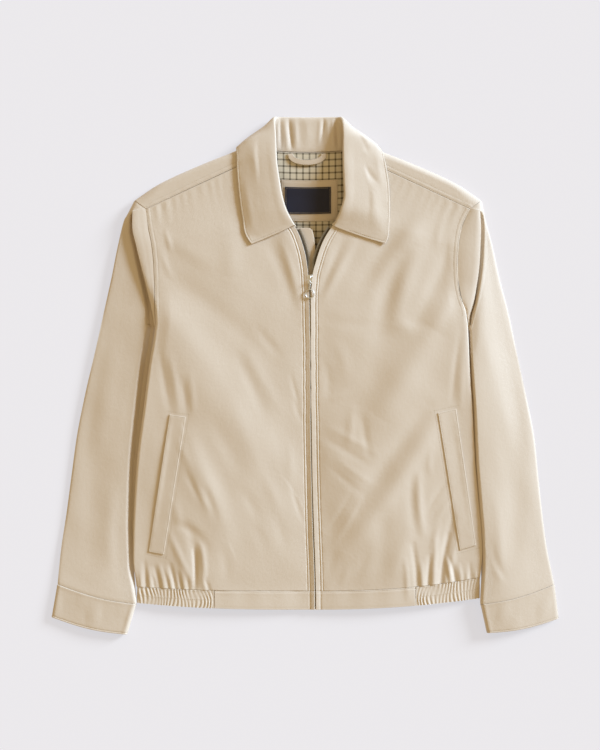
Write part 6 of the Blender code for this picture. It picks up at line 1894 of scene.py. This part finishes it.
COLLAR_FOLDS = folds(
    (-70, 648, -62, 634, -52, 620, 5, -1.1), (-60, 640, -54, 628, -44, 618, 4, 0.9),
    (-54, 620, -46, 606, -34, 596, 4.5, -1.1), (-42, 614, -38, 602, -30, 592, 3.5, 0.8),
    (-84, 700, -74, 668, -66, 640, 10, 1.2), (-58, 722, -64, 694, -62, 660, 7, -1.3),
    (-74, 612, -66, 596, -52, 586, 6, 0.7), (-96, 640, -90, 606, -84, 572, 8, 0.8),
    (58, 722, 70, 702, 86, 690, 4, -1.2), (64, 730, 78, 712, 92, 698, 4, 0.9),
    (62, 706, 74, 692, 84, 682, 3.5, 0.8), (84, 664, 92, 652, 102, 640, 5, -1.0),
    (72, 672, 80, 660, 86, 640, 5, 0.8), (62, 618, 64, 600, 60, 580, 4, -1.2),
    (54, 606, 62, 592, 76, 582, 4, -0.9), (70, 612, 74, 598, 84, 586, 5, 0.9),
    (98, 634, 96, 606, 104, 576, 9, 0.9), (58, 690, 60, 668, 62, 646, 4, -0.9),
    (60, 650, 66, 636, 70, 622, 4, 0.8), (104, 680, 106, 660, 110, 640, 6, 0.6),
)  # fmt: skip
STAND_FOLDS = folds(
    (-42, 738, -41, 716, -40, 690, 1.8, -1.0), (-45, 736, -46, 716, -46, 694, 2.0, 0.7),
    (-36, 738, -33, 716, -31, 690, 2.4, 0.9), (-29, 738, -27, 716, -24, 690, 2.4, -1.9),
    (-20, 738, -18, 716, -17, 694, 3.4, 0.9), (24, 738, 23, 722, 20, 704, 2.2, -1.2),
    (18, 738, 18, 720, 16, 700, 3.0, 0.6), (30, 736, 32, 716, 30, 694, 3.4, 0.8),
    (43, 736, 43, 714, 45, 692, 2.8, -2.0), (37, 734, 37, 712, 39, 694, 2.6, 1.0),
    (-4, 738, 0, 720, -2, 700, 6.0, 0.5),
)  # fmt: skip


def string_round_pulley(start: Array, tip: Array, end: Array, radius: float, steps: int) -> list[Array]:
    """Points from start, round a circle whose far side is tip, to where it leaves for end."""
    to_start, to_end = start - tip, end - tip
    inward = to_start / np.linalg.norm(to_start) + to_end / np.linalg.norm(to_end)
    inward = inward / np.linalg.norm(inward)
    across = to_end - inward * np.dot(to_end, inward)
    across = across / np.linalg.norm(across)
    centre = tip + inward * radius

    def tangent_angle(point: Array, turn: int) -> float:
        """The angle at which a straight line to the point leaves the circle."""
        flat = np.array([np.dot(point - centre, -inward), np.dot(point - centre, across)])
        angle = math.atan2(flat[1], flat[0])
        if angle * turn < 0:
            angle += turn * 2 * math.pi
        return angle - turn * math.acos(min(radius / np.linalg.norm(flat), 1.0))

    angles = np.linspace(tangent_angle(start, -1), tangent_angle(end, 1), steps)
    return [centre + radius * (-inward * math.cos(a) + across * math.sin(a)) for a in angles]


@dataclass
class Collar:
    """The collar in one piece: stand, roll and fall, from one front end round the neck to the other."""

    wall: float = COLLAR_WALL
    step: float = 1.4
    roll_radius: float = 1.95
    edge_line: float = 3.0  # of the topstitch inside the fall's edge
    probe: tuple[float, float] = (0.25, 0.8)
    panel: Panel = field(init=False)

    def section(self, side: Side, number: float, front: Surface) -> list[Array]:
        """One section's points from the neck seam over the roll to the edge.

        Args:
            side: the wearer's side.
            number: the section's place in the table.
            front: the front that the fall lies on.

        Returns:
            The points in order.
        """
        table, spots = COLLAR[side], {}
        for name in "srme":
            point = [float(table.read(f"{name}_{axis}", "number", number)) for axis in "xyz"]
            spots[name] = np.array([point[0] * side.value, point[1], point[2]])
        roll = string_round_pulley(spots["s"], spots["r"], spots["m"], self.roll_radius, 7)
        row = [blend(spots["s"], roll[0], share) for share in (0.0, 0.06, 0.35, 0.7)] + roll
        leave = roll[-1]
        control = 2 * spots["m"] - (leave + spots["e"]) / 2
        for share in (0.2, 0.45, 0.7, 0.88, 0.97, 1.0):
            spot = (1 - share) ** 2 * leave + 2 * share * (1 - share) * control + share**2 * spots["e"]
            if number < 6.6:
                spot[2] = max(spot[2], float(front.height(spot[0], spot[1])) + COLLAR_CLEAR[side])
            row.append(spot)
        return row

    def build(self, fronts: dict[Side, Surface]) -> Panel:
        """Makes the panel, with its dents, the stand's creases and a stitched edge."""
        rows = [self.section(Side.RIGHT, number, fronts[Side.RIGHT]) for number in COLLAR_PLACES]
        rows += [self.section(Side.LEFT, number, fronts[Side.LEFT]) for number in reversed(COLLAR_PLACES[:-1])]
        coarse = np.array(rows)
        places = chord_places(coarse)
        wanted = spread(float(places[-1]), self.step, COLLAR_EDGE, COLLAR_EDGE)
        grid = curve_through(coarse, places, wanted)
        turned = np.swapaxes(grid, 0, 1)
        columns = chord_places(turned)
        fine = between(columns, 1.8)
        fine = fine[fine < columns[-1] - 5.0]
        fine = np.concatenate([fine, columns[-1] - np.array(COLLAR_EDGE[::-1])])
        grid = np.swapaxes(curve_through(turned, columns, fine), 0, 1)
        plan = Panel("plan", grid, self.wall, probe=self.probe)
        x, y = grid[..., 0], grid[..., 1]
        up, across = plan.normals[..., 2], plan.across
        to_edge, from_front = across[:, -1:] - across, np.minimum(plan.along, plan.along[-1:] - plan.along)
        fall = climb(up, 0.6, 0.3) * climb(across, 52, 8)
        hanging = smooth_step(to_edge / 16) * smooth_step(from_front / 14)
        behind = climb(y, 688, 6) * (np.abs(x) < 52)
        behind = behind * (1 - climb(across, 46, 6)) * smooth_step(across / 5)
        dents = creases(COLLAR_FOLDS, x, y) * fall * hanging * (y < 724)
        lines = creases(STAND_FOLDS, x, y) * behind
        grid = grid + plan.normals * (dents + lines)[..., None]
        free = np.minimum(to_edge, from_front)
        on_fall = climb(across, 30, 6)
        relief = (0.12 * bump(free, 1.3, 1.3) - 0.22 * bump(free, self.edge_line, 0.5)) * on_fall
        wobble = 0.1 * np.sin(plan.along / 3.4 + np.sin(plan.along / 17)) * bump(free, 2.0, 2.5) * on_fall
        self.panel = Panel("collar", grid, self.wall, probe=self.probe, outer_relief=relief + wobble)
        return self.panel

    def dress(self, finishes: Finishes, stitches: Run) -> None:
        """Dresses the collar and stitches along its edge."""
        self.panel.dress(finishes.cotton, "cotton", "folded", ["front_right", "front_left", "back"])
        rows, columns = self.panel.grid.shape[:2]
        line = COLLAR_EDGE.index(self.edge_line)
        inset, start = columns - 1 - line, int(columns * 0.5)
        ends = list(range(start, inset)), list(range(inset, start, -1))
        path_rows = [line] * len(ends[0]) + list(range(line, rows - line)) + [rows - 1 - line] * len(ends[1])
        path_columns = ends[0] + [inset] * (rows - 2 * line) + ends[1]
        stitches.add(self.panel.trace(path_rows, path_columns))


# ---- Zip ----
TAPE_WIDTH = 14.0
TAPE_SHOW = 4.6
TAPE_DEPTH = SHELL / 2 + 0.45 + THIN / 2
TAPE_LAST_SHARE = 0.832
ZIP_OPENS_Y = 490.0
GUARD = Table(
    "y right_x width",
    (2, 21.0, 22), (30, 20.2, 22), (46, 19.8, 22), (60, 19.5, 22), (120, 17.5, 22), (240, 15.0, 22),
    (360, 13.5, 22), (450, 12.8, 22), (510, 12.0, 22), (540, 11.0, 22), (560, 9.0, 24), (569, 7.0, 24),
    (573, 2.5, 20.5),
)  # fmt: skip


@dataclass
class ZipTape:
    """The tape of one side, sewn under its front's edge, with its teeth."""

    side: Side
    wall: float = THIN
    panel: Panel = field(init=False)

    def build(self, front: Front) -> Panel:
        """Makes the panel from the front's own edge."""
        sign = self.side.value
        edge = front.panel.grid[:, -1]
        last_y = float(FRONT_EDGE.read(self.side.label + "_y", "share", TAPE_LAST_SHARE))
        points = edge[edge[:, 1] <= last_y].copy()
        points[:, 0] += sign * front.zip_shift(points[:, 1])
        low = np.array([points[0, 0], float(hem_bottom(points[0, 0])) + 1.0, points[0, 2]])
        ramp = np.linspace(0, 1, 10)[:-1, None]
        points = np.concatenate([blend(low, points[0], ramp), points])
        behind_band = 1 - climb(points[:, 1], 34, 14)
        points[:, 2] -= 0.4 * behind_band
        way = np.gradient(points[:, :2], axis=0)
        way = way / np.linalg.norm(way, axis=1, keepdims=True)
        toward_zip = np.column_stack([-sign * way[:, 1], sign * way[:, 0]])
        opened = blend(0.1, TAPE_SHOW, smooth_step((points[:, 1] - SLIDER_CENTRE[1] - 5) / 26))
        show = np.where(points[:, 1] < ZIP_OPENS_Y, ZIP_GAP - SEAM, opened)
        surface, columns = front.panel.surface(), []
        for share in (0.0, 0.03, 0.08, 0.2, 0.35, 0.5, 0.65, 0.8, 0.95, 1.0):
            place = points[:, :2] + toward_zip * (show - TAPE_WIDTH * share)[:, None]
            under = surface.height(place[:, 0], place[:, 1])
            above = np.where(np.isfinite(under), np.minimum(under, points[:, 2] + 0.3), points[:, 2])
            columns.append(np.column_stack([place, above - TAPE_DEPTH]))
        grid = np.transpose(np.array(columns), (1, 0, 2))
        self.panel = Panel(f"zip_tape_{self.side.label}", grid, self.wall)
        return self.panel

    def dress(self, finishes: Finishes, teeth: Run) -> None:
        """Dresses the tape and adds its edge to the teeth's paths."""
        self.panel.dress(finishes.tape, "zip_tape", "stretched", [f"front_{self.side.label}"])
        rows = np.flatnonzero(self.panel.grid[:, 0, 1] > 8)
        teeth.add(self.panel.trace(rows, 1))


@dataclass
class ZipGuard:
    """The facing strip behind the zip, with a rounded upper corner."""

    wall: float = THIN
    depth: float = 4.6
    panel: Panel = field(init=False)

    def build(self) -> Panel:
        """Makes the panel."""
        levels = np.concatenate([between(GUARD["y"][:-2], 4.0), np.linspace(569, 573, 6)[1:]])
        right = GUARD.read("right_x", "y", levels)
        width = GUARD.read("width", "y", levels)
        shares = np.concatenate([[0, 0.03], np.linspace(0.1, 0.9, 8), [0.97, 1.0]])
        x = right[:, None] - width[:, None] * (1 - shares[None])
        y = np.repeat(levels[:, None], len(shares), axis=1)
        wave = 0.25 * np.sin(y / 17 + x / 9) * climb(y, 500, 20)
        z = LOFT.read("front", "y", y) - dip(0 * x, y) - self.depth + wave
        self.panel = Panel("zip_guard", np.stack([x, y, z], -1), self.wall)
        return self.panel

    def dress(self, finishes: Finishes) -> None:
        """Dresses the guard."""
        self.panel.dress(finishes.facing, "cotton", "laid", ["lining"])


@dataclass
class ZipHead:
    """The slider, on the jacket, and its ring pull, on the body that turns."""

    plate_thick: float = 1.4
    bail_radius: float = 2.3
    bail_wire: float = 0.55
    eye_radius: float = 1.75
    eye_wire: float = 0.5
    ring_radius: float = 6.3
    ring_wire: float = 0.85
    pull_length: float = 18.2

    def tube(self, path: Array, radius: float, sides: int, closed: bool) -> Shape:
        """A round wire along a path that lies in one plane.

        Args:
            path: the middle of the wire.
            radius: its radius.
            sides: how many sides it has.
            closed: whether it is a ring.

        Returns:
            Points and faces.
        """
        count = len(path)
        way = np.roll(path, -1, axis=0) - np.roll(path, 1, axis=0) if closed else np.gradient(path, axis=0)
        way = way / np.linalg.norm(way, axis=1, keepdims=True)
        plane = np.cross(way[0], way[count // 3])
        plane = plane / np.linalg.norm(plane)
        angle = 2 * math.pi * (np.arange(sides) + 0.5) / sides
        across = np.cross(plane, way)
        turned = np.cos(angle)[None, :, None] * across[:, None] + np.sin(angle)[None, :, None] * plane
        points = path[:, None] + radius * turned
        faces: list[tuple[int, ...]] = []
        for row in range(count if closed else count - 1):
            after = (row + 1) % count
            for step in range(sides):
                turn = (step + 1) % sides
                faces.append((row * sides + step, row * sides + turn, after * sides + turn, after * sides + step))
        if not closed:
            faces += [tuple(range(sides)), tuple((count - 1) * sides + s for s in reversed(range(sides)))]
        return points.reshape(-1, 3), faces

    def circle(self, centre: Array, radius: float, count: int) -> Array:
        """Points of a level circle."""
        angle = 2 * math.pi * np.arange(count) / count
        return centre + radius * np.column_stack([np.cos(angle), np.sin(angle), np.zeros(count)])

    def plate(self, low: float, high: float) -> Shape:
        """A slider plate: broad and rounded at the upper end, narrower below, with a waist."""
        x, y = SLIDER_CENTRE
        outline = np.array(
            [(-2.6, -6.9), (2.6, -6.9), (3.4, -6.3), (3.6, -3.0), (3.7, 0.0), (4.4, 2.4), (4.4, 5.2), (3.5, 6.5),
             (1.6, 6.9), (-1.6, 6.9), (-3.5, 6.5), (-4.4, 5.2), (-4.4, 2.4), (-3.7, 0.0), (-3.6, -3.0), (-3.4, -6.3)]
        )  # fmt: skip
        return self.prism(outline + (x, y), low, high)

    def prism_faces(self, count: int) -> list[tuple[int, ...]]:
        """Faces of an upright block whose lower corners come first."""
        faces = [tuple(reversed(range(count))), tuple(range(count, 2 * count))]
        return faces + [(i, (i + 1) % count, count + (i + 1) % count, count + i) for i in range(count)]

    def prism(self, outline: Array, low: float, high: float) -> Shape:
        """An upright block with this outline between two heights."""
        points = [np.column_stack([outline, np.full(len(outline), z)]) for z in (low, high)]
        return np.concatenate(points), self.prism_faces(len(outline))

    def join(self, name: str, parts: Sequence[Shape], finish: Material) -> bpy.types.Object:
        """One object from several shapes, with its edges broken."""
        points, faces = [], []
        for part_points, part_faces in parts:
            first = sum(len(p) for p in points)
            points.append(part_points)
            faces += [tuple(first + corner for corner in face) for face in part_faces]
        made = new_object(name, np.concatenate(points), faces, finish)
        made.data.shade_smooth()
        made.data.set_sharp_from_angle(angle=math.radians(40))
        edge = made.modifiers.new("broken edges", "BEVEL")
        edge.width, edge.segments, edge.limit_method, edge.angle_limit = 0.00022, 2, "ANGLE", math.radians(40)
        return made

    def dress(self, finishes: Finishes) -> None:
        """Builds and dresses the slider and the pull."""
        low, _ = (np.array(corner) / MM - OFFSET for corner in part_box("zip_slider"))
        pull_low, pull_high = (np.array(corner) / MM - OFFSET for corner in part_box("zip_pull"))
        x, y = SLIDER_CENTRE
        hinge = np.array([x, y - SLIDER_HALF_LENGTH + 1.0 + self.bail_radius, (pull_low[2] + pull_high[2]) / 2])
        top = hinge[2] - 1.0
        upper = top - self.plate_thick
        outline = np.array([(-0.5, 0.6), (1.1, 0.6), (1.1, 4.6), (-0.5, 4.6)]) + (x, y)
        post = self.prism(outline, low[2] + 0.5, upper + 0.3)
        turn = np.linspace(0, math.pi, 21)
        bail_y, bail_z = self.bail_radius * np.cos(turn), self.bail_radius * np.sin(turn)
        arch = np.column_stack([np.full(len(turn), x), hinge[1] + bail_y, hinge[2] + bail_z])
        feet = [np.array([[x, hinge[1] + s * self.bail_radius, upper + 0.6]]) for s in (1, -1)]
        bail = self.tube(np.concatenate([feet[0], arch, feet[1]]), self.bail_wire, 12, closed=False)
        crown = np.array(
            [(x - 2.0, y + 1.6, top), (x + 2.0, y + 1.6, top), (x + 1.3, y + 5.4, top), (x - 1.3, y + 5.4, top),
             (x - 1.2, y + 1.8, top + 0.7), (x + 1.2, y + 1.8, top + 0.7),
             (x + 0.8, y + 4.8, top + 0.35), (x - 0.8, y + 4.8, top + 0.35)]
        )  # fmt: skip
        plates = [self.plate(upper, top), self.plate(low[2], low[2] + 1.0)]
        slider = self.join("slider", [*plates, post, bail, (crown, self.prism_faces(4))], finishes.nickel)
        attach(slider, "jacket")
        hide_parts("zip_slider")
        ring = hinge - [0, self.pull_length, 0]
        eye = hinge - [0, self.bail_radius, 0]
        link_top, link_low = eye[1] - self.eye_radius + 0.2, ring[1] + self.ring_radius - 0.2
        waist = (link_low + link_top) / 2
        right_half = [(0.95, link_low), (0.75, waist), (0.95, link_top)]
        outline = [(-0.95, link_low), *right_half, (-0.95, link_top), (-0.75, waist)]
        outline = np.array([(x + dx, py) for dx, py in outline])
        pull = self.join(
            "ring_pull",
            [
                self.tube(self.circle(ring, self.ring_radius, 48), self.ring_wire, 12, closed=True),
                self.tube(self.circle(eye, self.eye_radius, 28), self.eye_wire, 10, closed=True),
                self.prism(outline, hinge[2] - 0.45, hinge[2] + 0.45),
            ],
            finishes.nickel,
        )
        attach(pull, "pull")
        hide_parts("zip_pull")
        log.info("slider and ring pull: hinge at %.1f, %.1f, %.1f mm", *(hinge + OFFSET))


# ---- Pocket welts ----
WELT_CORNERS: dict[Side, tuple[tuple[float, float], ...]] = {
    Side.RIGHT: ((-207.0, 293.4), (-182.9, 289.8), (-216.5, 83.0), (-239.0, 87.2)),
    Side.LEFT: ((221.7, 301.8), (194.3, 295.5), (228.0, 89.3), (252.2, 96.6)),
}


@dataclass
class Welt:
    """The long slanted welt of a hand pocket, with the opening along its outer edge."""

    side: Side
    wall: float = 1.0
    rise: float = 0.12
    outline: float = 4.5  # of the topstitch on the front round the welt
    length: float = 210.0
    width: float = 24.0
    panel: Panel = field(init=False)

    def place(self, across: Array, down: Array, grow: float = 0.0) -> Array:
        """Pattern x, y of shares across (from the outer edge) and down the welt, grown by a margin."""
        corners = [np.array(corner) for corner in WELT_CORNERS[self.side]]
        centre = sum(corners) / 4
        along = (corners[0] - corners[3]) / np.linalg.norm(corners[0] - corners[3])
        over = np.array([along[1], -along[0]])
        grown = []
        for corner in corners:
            away = corner - centre
            grown.append(corner + along * np.sign(away @ along) * grow + over * np.sign(away @ over) * grow)
        upper = blend(grown[0], grown[1], across[..., None])
        lower = blend(grown[3], grown[2], across[..., None])
        return blend(upper, lower, down[..., None])

    def build(self, front: Front) -> Panel:
        """Makes the panel on the front's own surface."""
        surface = front.panel.surface()
        length, width = self.length, self.width
        down = spread(length, 3.0, PIECE_EDGE, PIECE_EDGE) / length
        across = spread(width, 2.2, PIECE_EDGE, PIECE_EDGE) / width
        over, under = np.meshgrid(across, down)
        place = self.place(over, under)
        z = surface.height(place[..., 0], place[..., 1]) + SHELL / 2 + self.rise + self.wall / 2
        opening = np.sin(np.pi * np.clip(under * 1.15, 0, 1)) ** 0.8 * (1 - smooth_step(over * width / 9))
        z = z + 0.9 * opening
        free = np.minimum(np.minimum(over, 1 - over) * width, np.minimum(under, 1 - under) * length)
        relief = 0.05 * bump(free, 3.6, 2.0) - 0.12 * bump(free, NEAR_LINE, 0.5)
        relief += 0.1 * np.sin(under * length / 3.3 + np.sin(under * 13)) * bump(free, 2.2, 2.4)
        self.panel = Panel(f"welt_{self.side.label}", np.dstack([place, z]), self.wall, outer_relief=relief)
        return self.panel

    def dress(self, finishes: Finishes, front: Front, stitches: Run) -> None:
        """Dresses the welt and stitches it round, with a second line on the front."""
        self.panel.dress(finishes.cotton, "cotton", "laid", [f"front_{self.side.label}"])
        stitches.add(self.panel.trace_round(PIECE_EDGE.index(NEAR_LINE)))
        long_way, short_way = np.linspace(0, 1, 90), np.linspace(0, 1, 12)
        paths = [(np.ones(90), long_way), (short_way, np.zeros(12)), (short_way, np.ones(12))]
        surface = front.panel.surface()
        for across, down in paths:
            spots = self.place(across, down, self.outline)
            z = surface.height(spots[:, 0], spots[:, 1]) + SHELL / 2
            ups = np.tile([0.0, 0.0, 1.0], (len(spots), 1))
            stitches.add((np.column_stack([spots, z]), ups))


# ---- Inside the neck ----
LINING_ABOVE = SHELL / 2 + SEAM + THIN / 2
PATCH_ABOVE = LINING_ABOVE + THIN + SEAM
LABEL_ABOVE = PATCH_ABOVE + THIN / 2 + SEAM + 0.5


@dataclass
class NeckPiece:
    """A flat piece that lies on the back's inner side: lining, patch or label."""

    name: str
    box: tuple[float, float, float, float]
    above: float
    wall: float = THIN
    stitch: float = 0.0  # inset of the line that holds it, or 0 for none
    panel: Panel = field(init=False)

    def build(self) -> Panel:
        """Makes the panel at its height over the back."""
        x = spread(self.box[1] - self.box[0], 2.5, PIECE_EDGE, PIECE_EDGE) + self.box[0]
        y = spread(self.box[3] - self.box[2], 2.5, PIECE_EDGE, PIECE_EDGE) + self.box[2]
        x, y = np.meshgrid(x, y)
        bend = 4 * (np.abs(x) / SHOULDER_NECK_X) ** 2 * (y - BAND_TOP) / (NECK_Y - BAND_TOP)
        z = flat_back_height(x, y + bend) + self.above
        free = np.minimum(np.minimum(x - x.min(), x.max() - x), np.minimum(y - y.min(), y.max() - y))
        ripple = 0.12 * np.sin(x / 9 + y / 15) * smooth_step(free / 6)
        relief = -0.25 * bump(free, self.stitch, 0.5) if self.stitch else np.zeros(x.shape)
        grid = np.stack([x, y + bend, z + np.maximum(ripple, 0)], -1)
        self.panel = Panel(self.name, grid, self.wall, outer_relief=relief)
        return self.panel

    def dress(self, finish: Material, slot: str, lies_on: str, stitches: Run) -> None:
        """Dresses the piece and stitches it round, if it is stitched."""
        self.panel.dress(finish, slot, "laid", [lies_on])
        if self.stitch:
            stitches.add(self.panel.trace_round(PIECE_EDGE.index(self.stitch)))


@dataclass
class HangerLoop:
    """The band that dips below the neck seam between its two ends."""

    left: float = -26.5
    right: float = 23.5
    top: float = 685.0
    drop: float = 13.5
    width: float = 8.0
    turned: float = 1.1  # under each long edge
    wall: float = THIN
    panel: Panel = field(init=False)

    def build(self) -> Panel:
        """Makes the panel."""
        turns = np.linspace(-1, 1, 49)
        centre_x = (self.left + self.right) / 2 + (self.right - self.left) / 2 * np.sin(turns * math.pi / 2)
        centre_y = self.top - self.drop * np.cos(turns * math.pi / 2) ** 0.8
        way = np.gradient(np.column_stack([centre_x, centre_y]), axis=0)
        way = way / np.linalg.norm(way, axis=1, keepdims=True)
        rows = []
        for share in LOOP_SHARES:
            x = centre_x - way[:, 1] * self.width * share
            y = np.minimum(centre_y + way[:, 0] * self.width * share, 686.0 + 0.4 * share)
            above = PATCH_ABOVE + 0.3 + 1.6 * np.cos(turns * math.pi / 2) + 0.08 * math.cos(share * math.pi)
            rows.append(np.column_stack([x, y, flat_back_height(x, y) + above]))
        self.panel = Panel("hanger_loop", np.array(rows), self.wall)
        return self.panel

    def dress(self, finishes: Finishes, stitches: Run) -> None:
        """Dresses the loop and stitches both its edges."""
        self.panel.dress(finishes.facing, "cotton", "hung", ["lining"], turned=self.turned)
        for share in (-LOOP_LINE, LOOP_LINE):
            stitches.add(self.panel.trace(LOOP_SHARES.index(share), slice(2, -2)))


# ---- Studio ----
@dataclass
class Studio:
    """Floor, light and the camera that looks straight down."""

    centre: tuple[float, float] = (-0.0077, 0.0010)
    view_height: float = 1.125
    focal: float = 85.0
    sensor: float = 36.0
    look_z: float = 0.012
    reach: float = 4.0  # half the floor's size
    below: float = 0.0002  # of the floor under the jacket
    sky_colour: Triple = (1.0, 0.785, 0.455)
    sky_strength: float = 0.618

    def build(self) -> None:
        """Sets the floor, the lights, the world and the camera."""
        scene = bpy.context.scene
        scene.view_settings.view_transform = "Standard"
        mesh = bpy.data.meshes.new("floor")
        corners = [(x * self.reach, y * self.reach, -self.below) for x, y in ((-1, -1), (1, -1), (1, 1), (-1, 1))]
        mesh.from_pydata(corners, [], [(0, 1, 2, 3)])
        mesh.materials.append(FloorFinish().make())
        floor = put_in_scene("floor", mesh)
        world = scene.world or bpy.data.worlds.new("studio")
        scene.world = world
        world.use_nodes = True
        sky = world.node_tree.nodes["Background"]
        sky.inputs[0].default_value = (*self.sky_colour, 1.0)
        sky.inputs[1].default_value = self.sky_strength
        self.sun("key", (30.0, 17.5), 17.0, 7.5, (0.54, 0.733, 1.0))
        camera = bpy.data.cameras.new("camera")
        camera.lens, camera.sensor_width, camera.sensor_fit = self.focal, self.sensor, "AUTO"
        camera.clip_end = 20.0
        eye = put_in_scene("camera", camera)
        eye.location = (*self.centre, self.look_z + self.view_height * self.focal / self.sensor)
        scene.camera = eye

    def sun(self, name: str, way: tuple[float, float], spread_degrees: float, strength: float, colour: Triple) -> None:
        """A far, broad studio light.

        Args:
            name: its name.
            way: degrees round from +x and degrees above the floor at which it stands.
            spread_degrees: how broad it looks.
            strength: watts on a square metre that faces it.
            colour: its colour.
        """
        data = bpy.data.lights.new(name, "SUN")
        data.angle, data.energy, data.color = math.radians(spread_degrees), strength, colour
        turn, rise = (math.radians(value) for value in way)
        lamp = put_in_scene(name, data)
        place = Vector((math.cos(turn) * math.cos(rise), math.sin(turn) * math.cos(rise), math.sin(rise)))
        lamp.location = place
        lamp.rotation_euler = (-place).to_track_quat("-Z", "Y").to_euler()


def write_sizes() -> None:
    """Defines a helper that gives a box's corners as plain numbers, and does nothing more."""
    def plain(box: object) -> list[list[float]]:
        """Both corners as plain numbers."""
        return [[float(value) for value in corner] for corner in box]


def main() -> None:
    """Builds every sub-assembly in order and reports each piece."""
    logging.basicConfig(level=logging.INFO, format="%(name)s: %(message)s", stream=sys.stdout)
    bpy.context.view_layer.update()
    finishes, stitches = Finishes(), topstitches()
    teeth = Run("zip_teeth", Form.TOOTH, 1.7, (0.95, 2.6, 1.3), 0.2, 3)
    Studio().build()
    back = Back()
    back.build()
    back.dress(finishes, stitches)
    surfaces: dict[Side, Surface] = {}
    for side in Side:
        front = Front(side)
        front.build()
        front.dress(finishes, stitches)
        surfaces[side] = front.panel.surface()
        sleeve, cuff, elastic, tape, welt = Sleeve(side), Cuff(side), HemElastic(side), ZipTape(side), Welt(side)
        sleeve.build(front, back)
        sleeve.dress(finishes)
        cuff.build()
        cuff.dress(finishes, stitches)
        elastic.build()
        elastic.dress(finishes, stitches)
        start = side.value * (ELASTIC_INNER[side] - SEAM - 0.2)
        end = float(front.panel.grid[0, -1, 0])
        height = float(LOFT.read("front", "y", BAND_TOP)) + (BAND_WALL - SHELL) / 2
        band = HemBand(f"hem_front_{side.label}", start, end, height)
        band.build()
        band.dress(finishes, stitches)
        tape.build(front)
        tape.dress(finishes, teeth)
        welt.build(front)
        welt.dress(finishes, front, stitches)
    inner = [side.value * (ELASTIC_INNER[side] - SEAM - 0.2) for side in Side]
    hem_back = HemBand("hem_back", inner[0], inner[1], BAND_WALL / 2, Facing.DOWN)
    hem_back.build()
    hem_back.dress(finishes, stitches)
    collar = Collar()
    collar.build(surfaces)
    collar.dress(finishes, stitches)
    guard = ZipGuard()
    guard.build()
    guard.dress(finishes)
    lining = NeckPiece("lining", (-61.0, 65.0, 505.0, 686.0), LINING_ABOVE)
    patch = NeckPiece("neck_patch", (-40.0, 44.5, 583.5, 645.0), PATCH_ABOVE, stitch=NEAR_LINE)
    label = NeckPiece("neck_label", (-34.5, 34.5, 594.6, 634.5), LABEL_ABOVE, stitch=NEAR_LINE)
    for piece, finish, slot, lies_on in (
        (lining, finishes.lining, "check_lining", "back"),
        (patch, finishes.facing, "cotton", "lining"),
        (label, finishes.label, "label", "neck_patch"),
    ):
        piece.build()
        piece.dress(finish, slot, lies_on, stitches)
    loop = HangerLoop()
    loop.build()
    loop.dress(finishes, stitches)
    ZipHead().dress(finishes)
    stitches.build(finishes.thread, "cotton")
    teeth.build(finishes.teeth, "nickel")
    write_sizes()


if __name__ == "__main__":
    main()
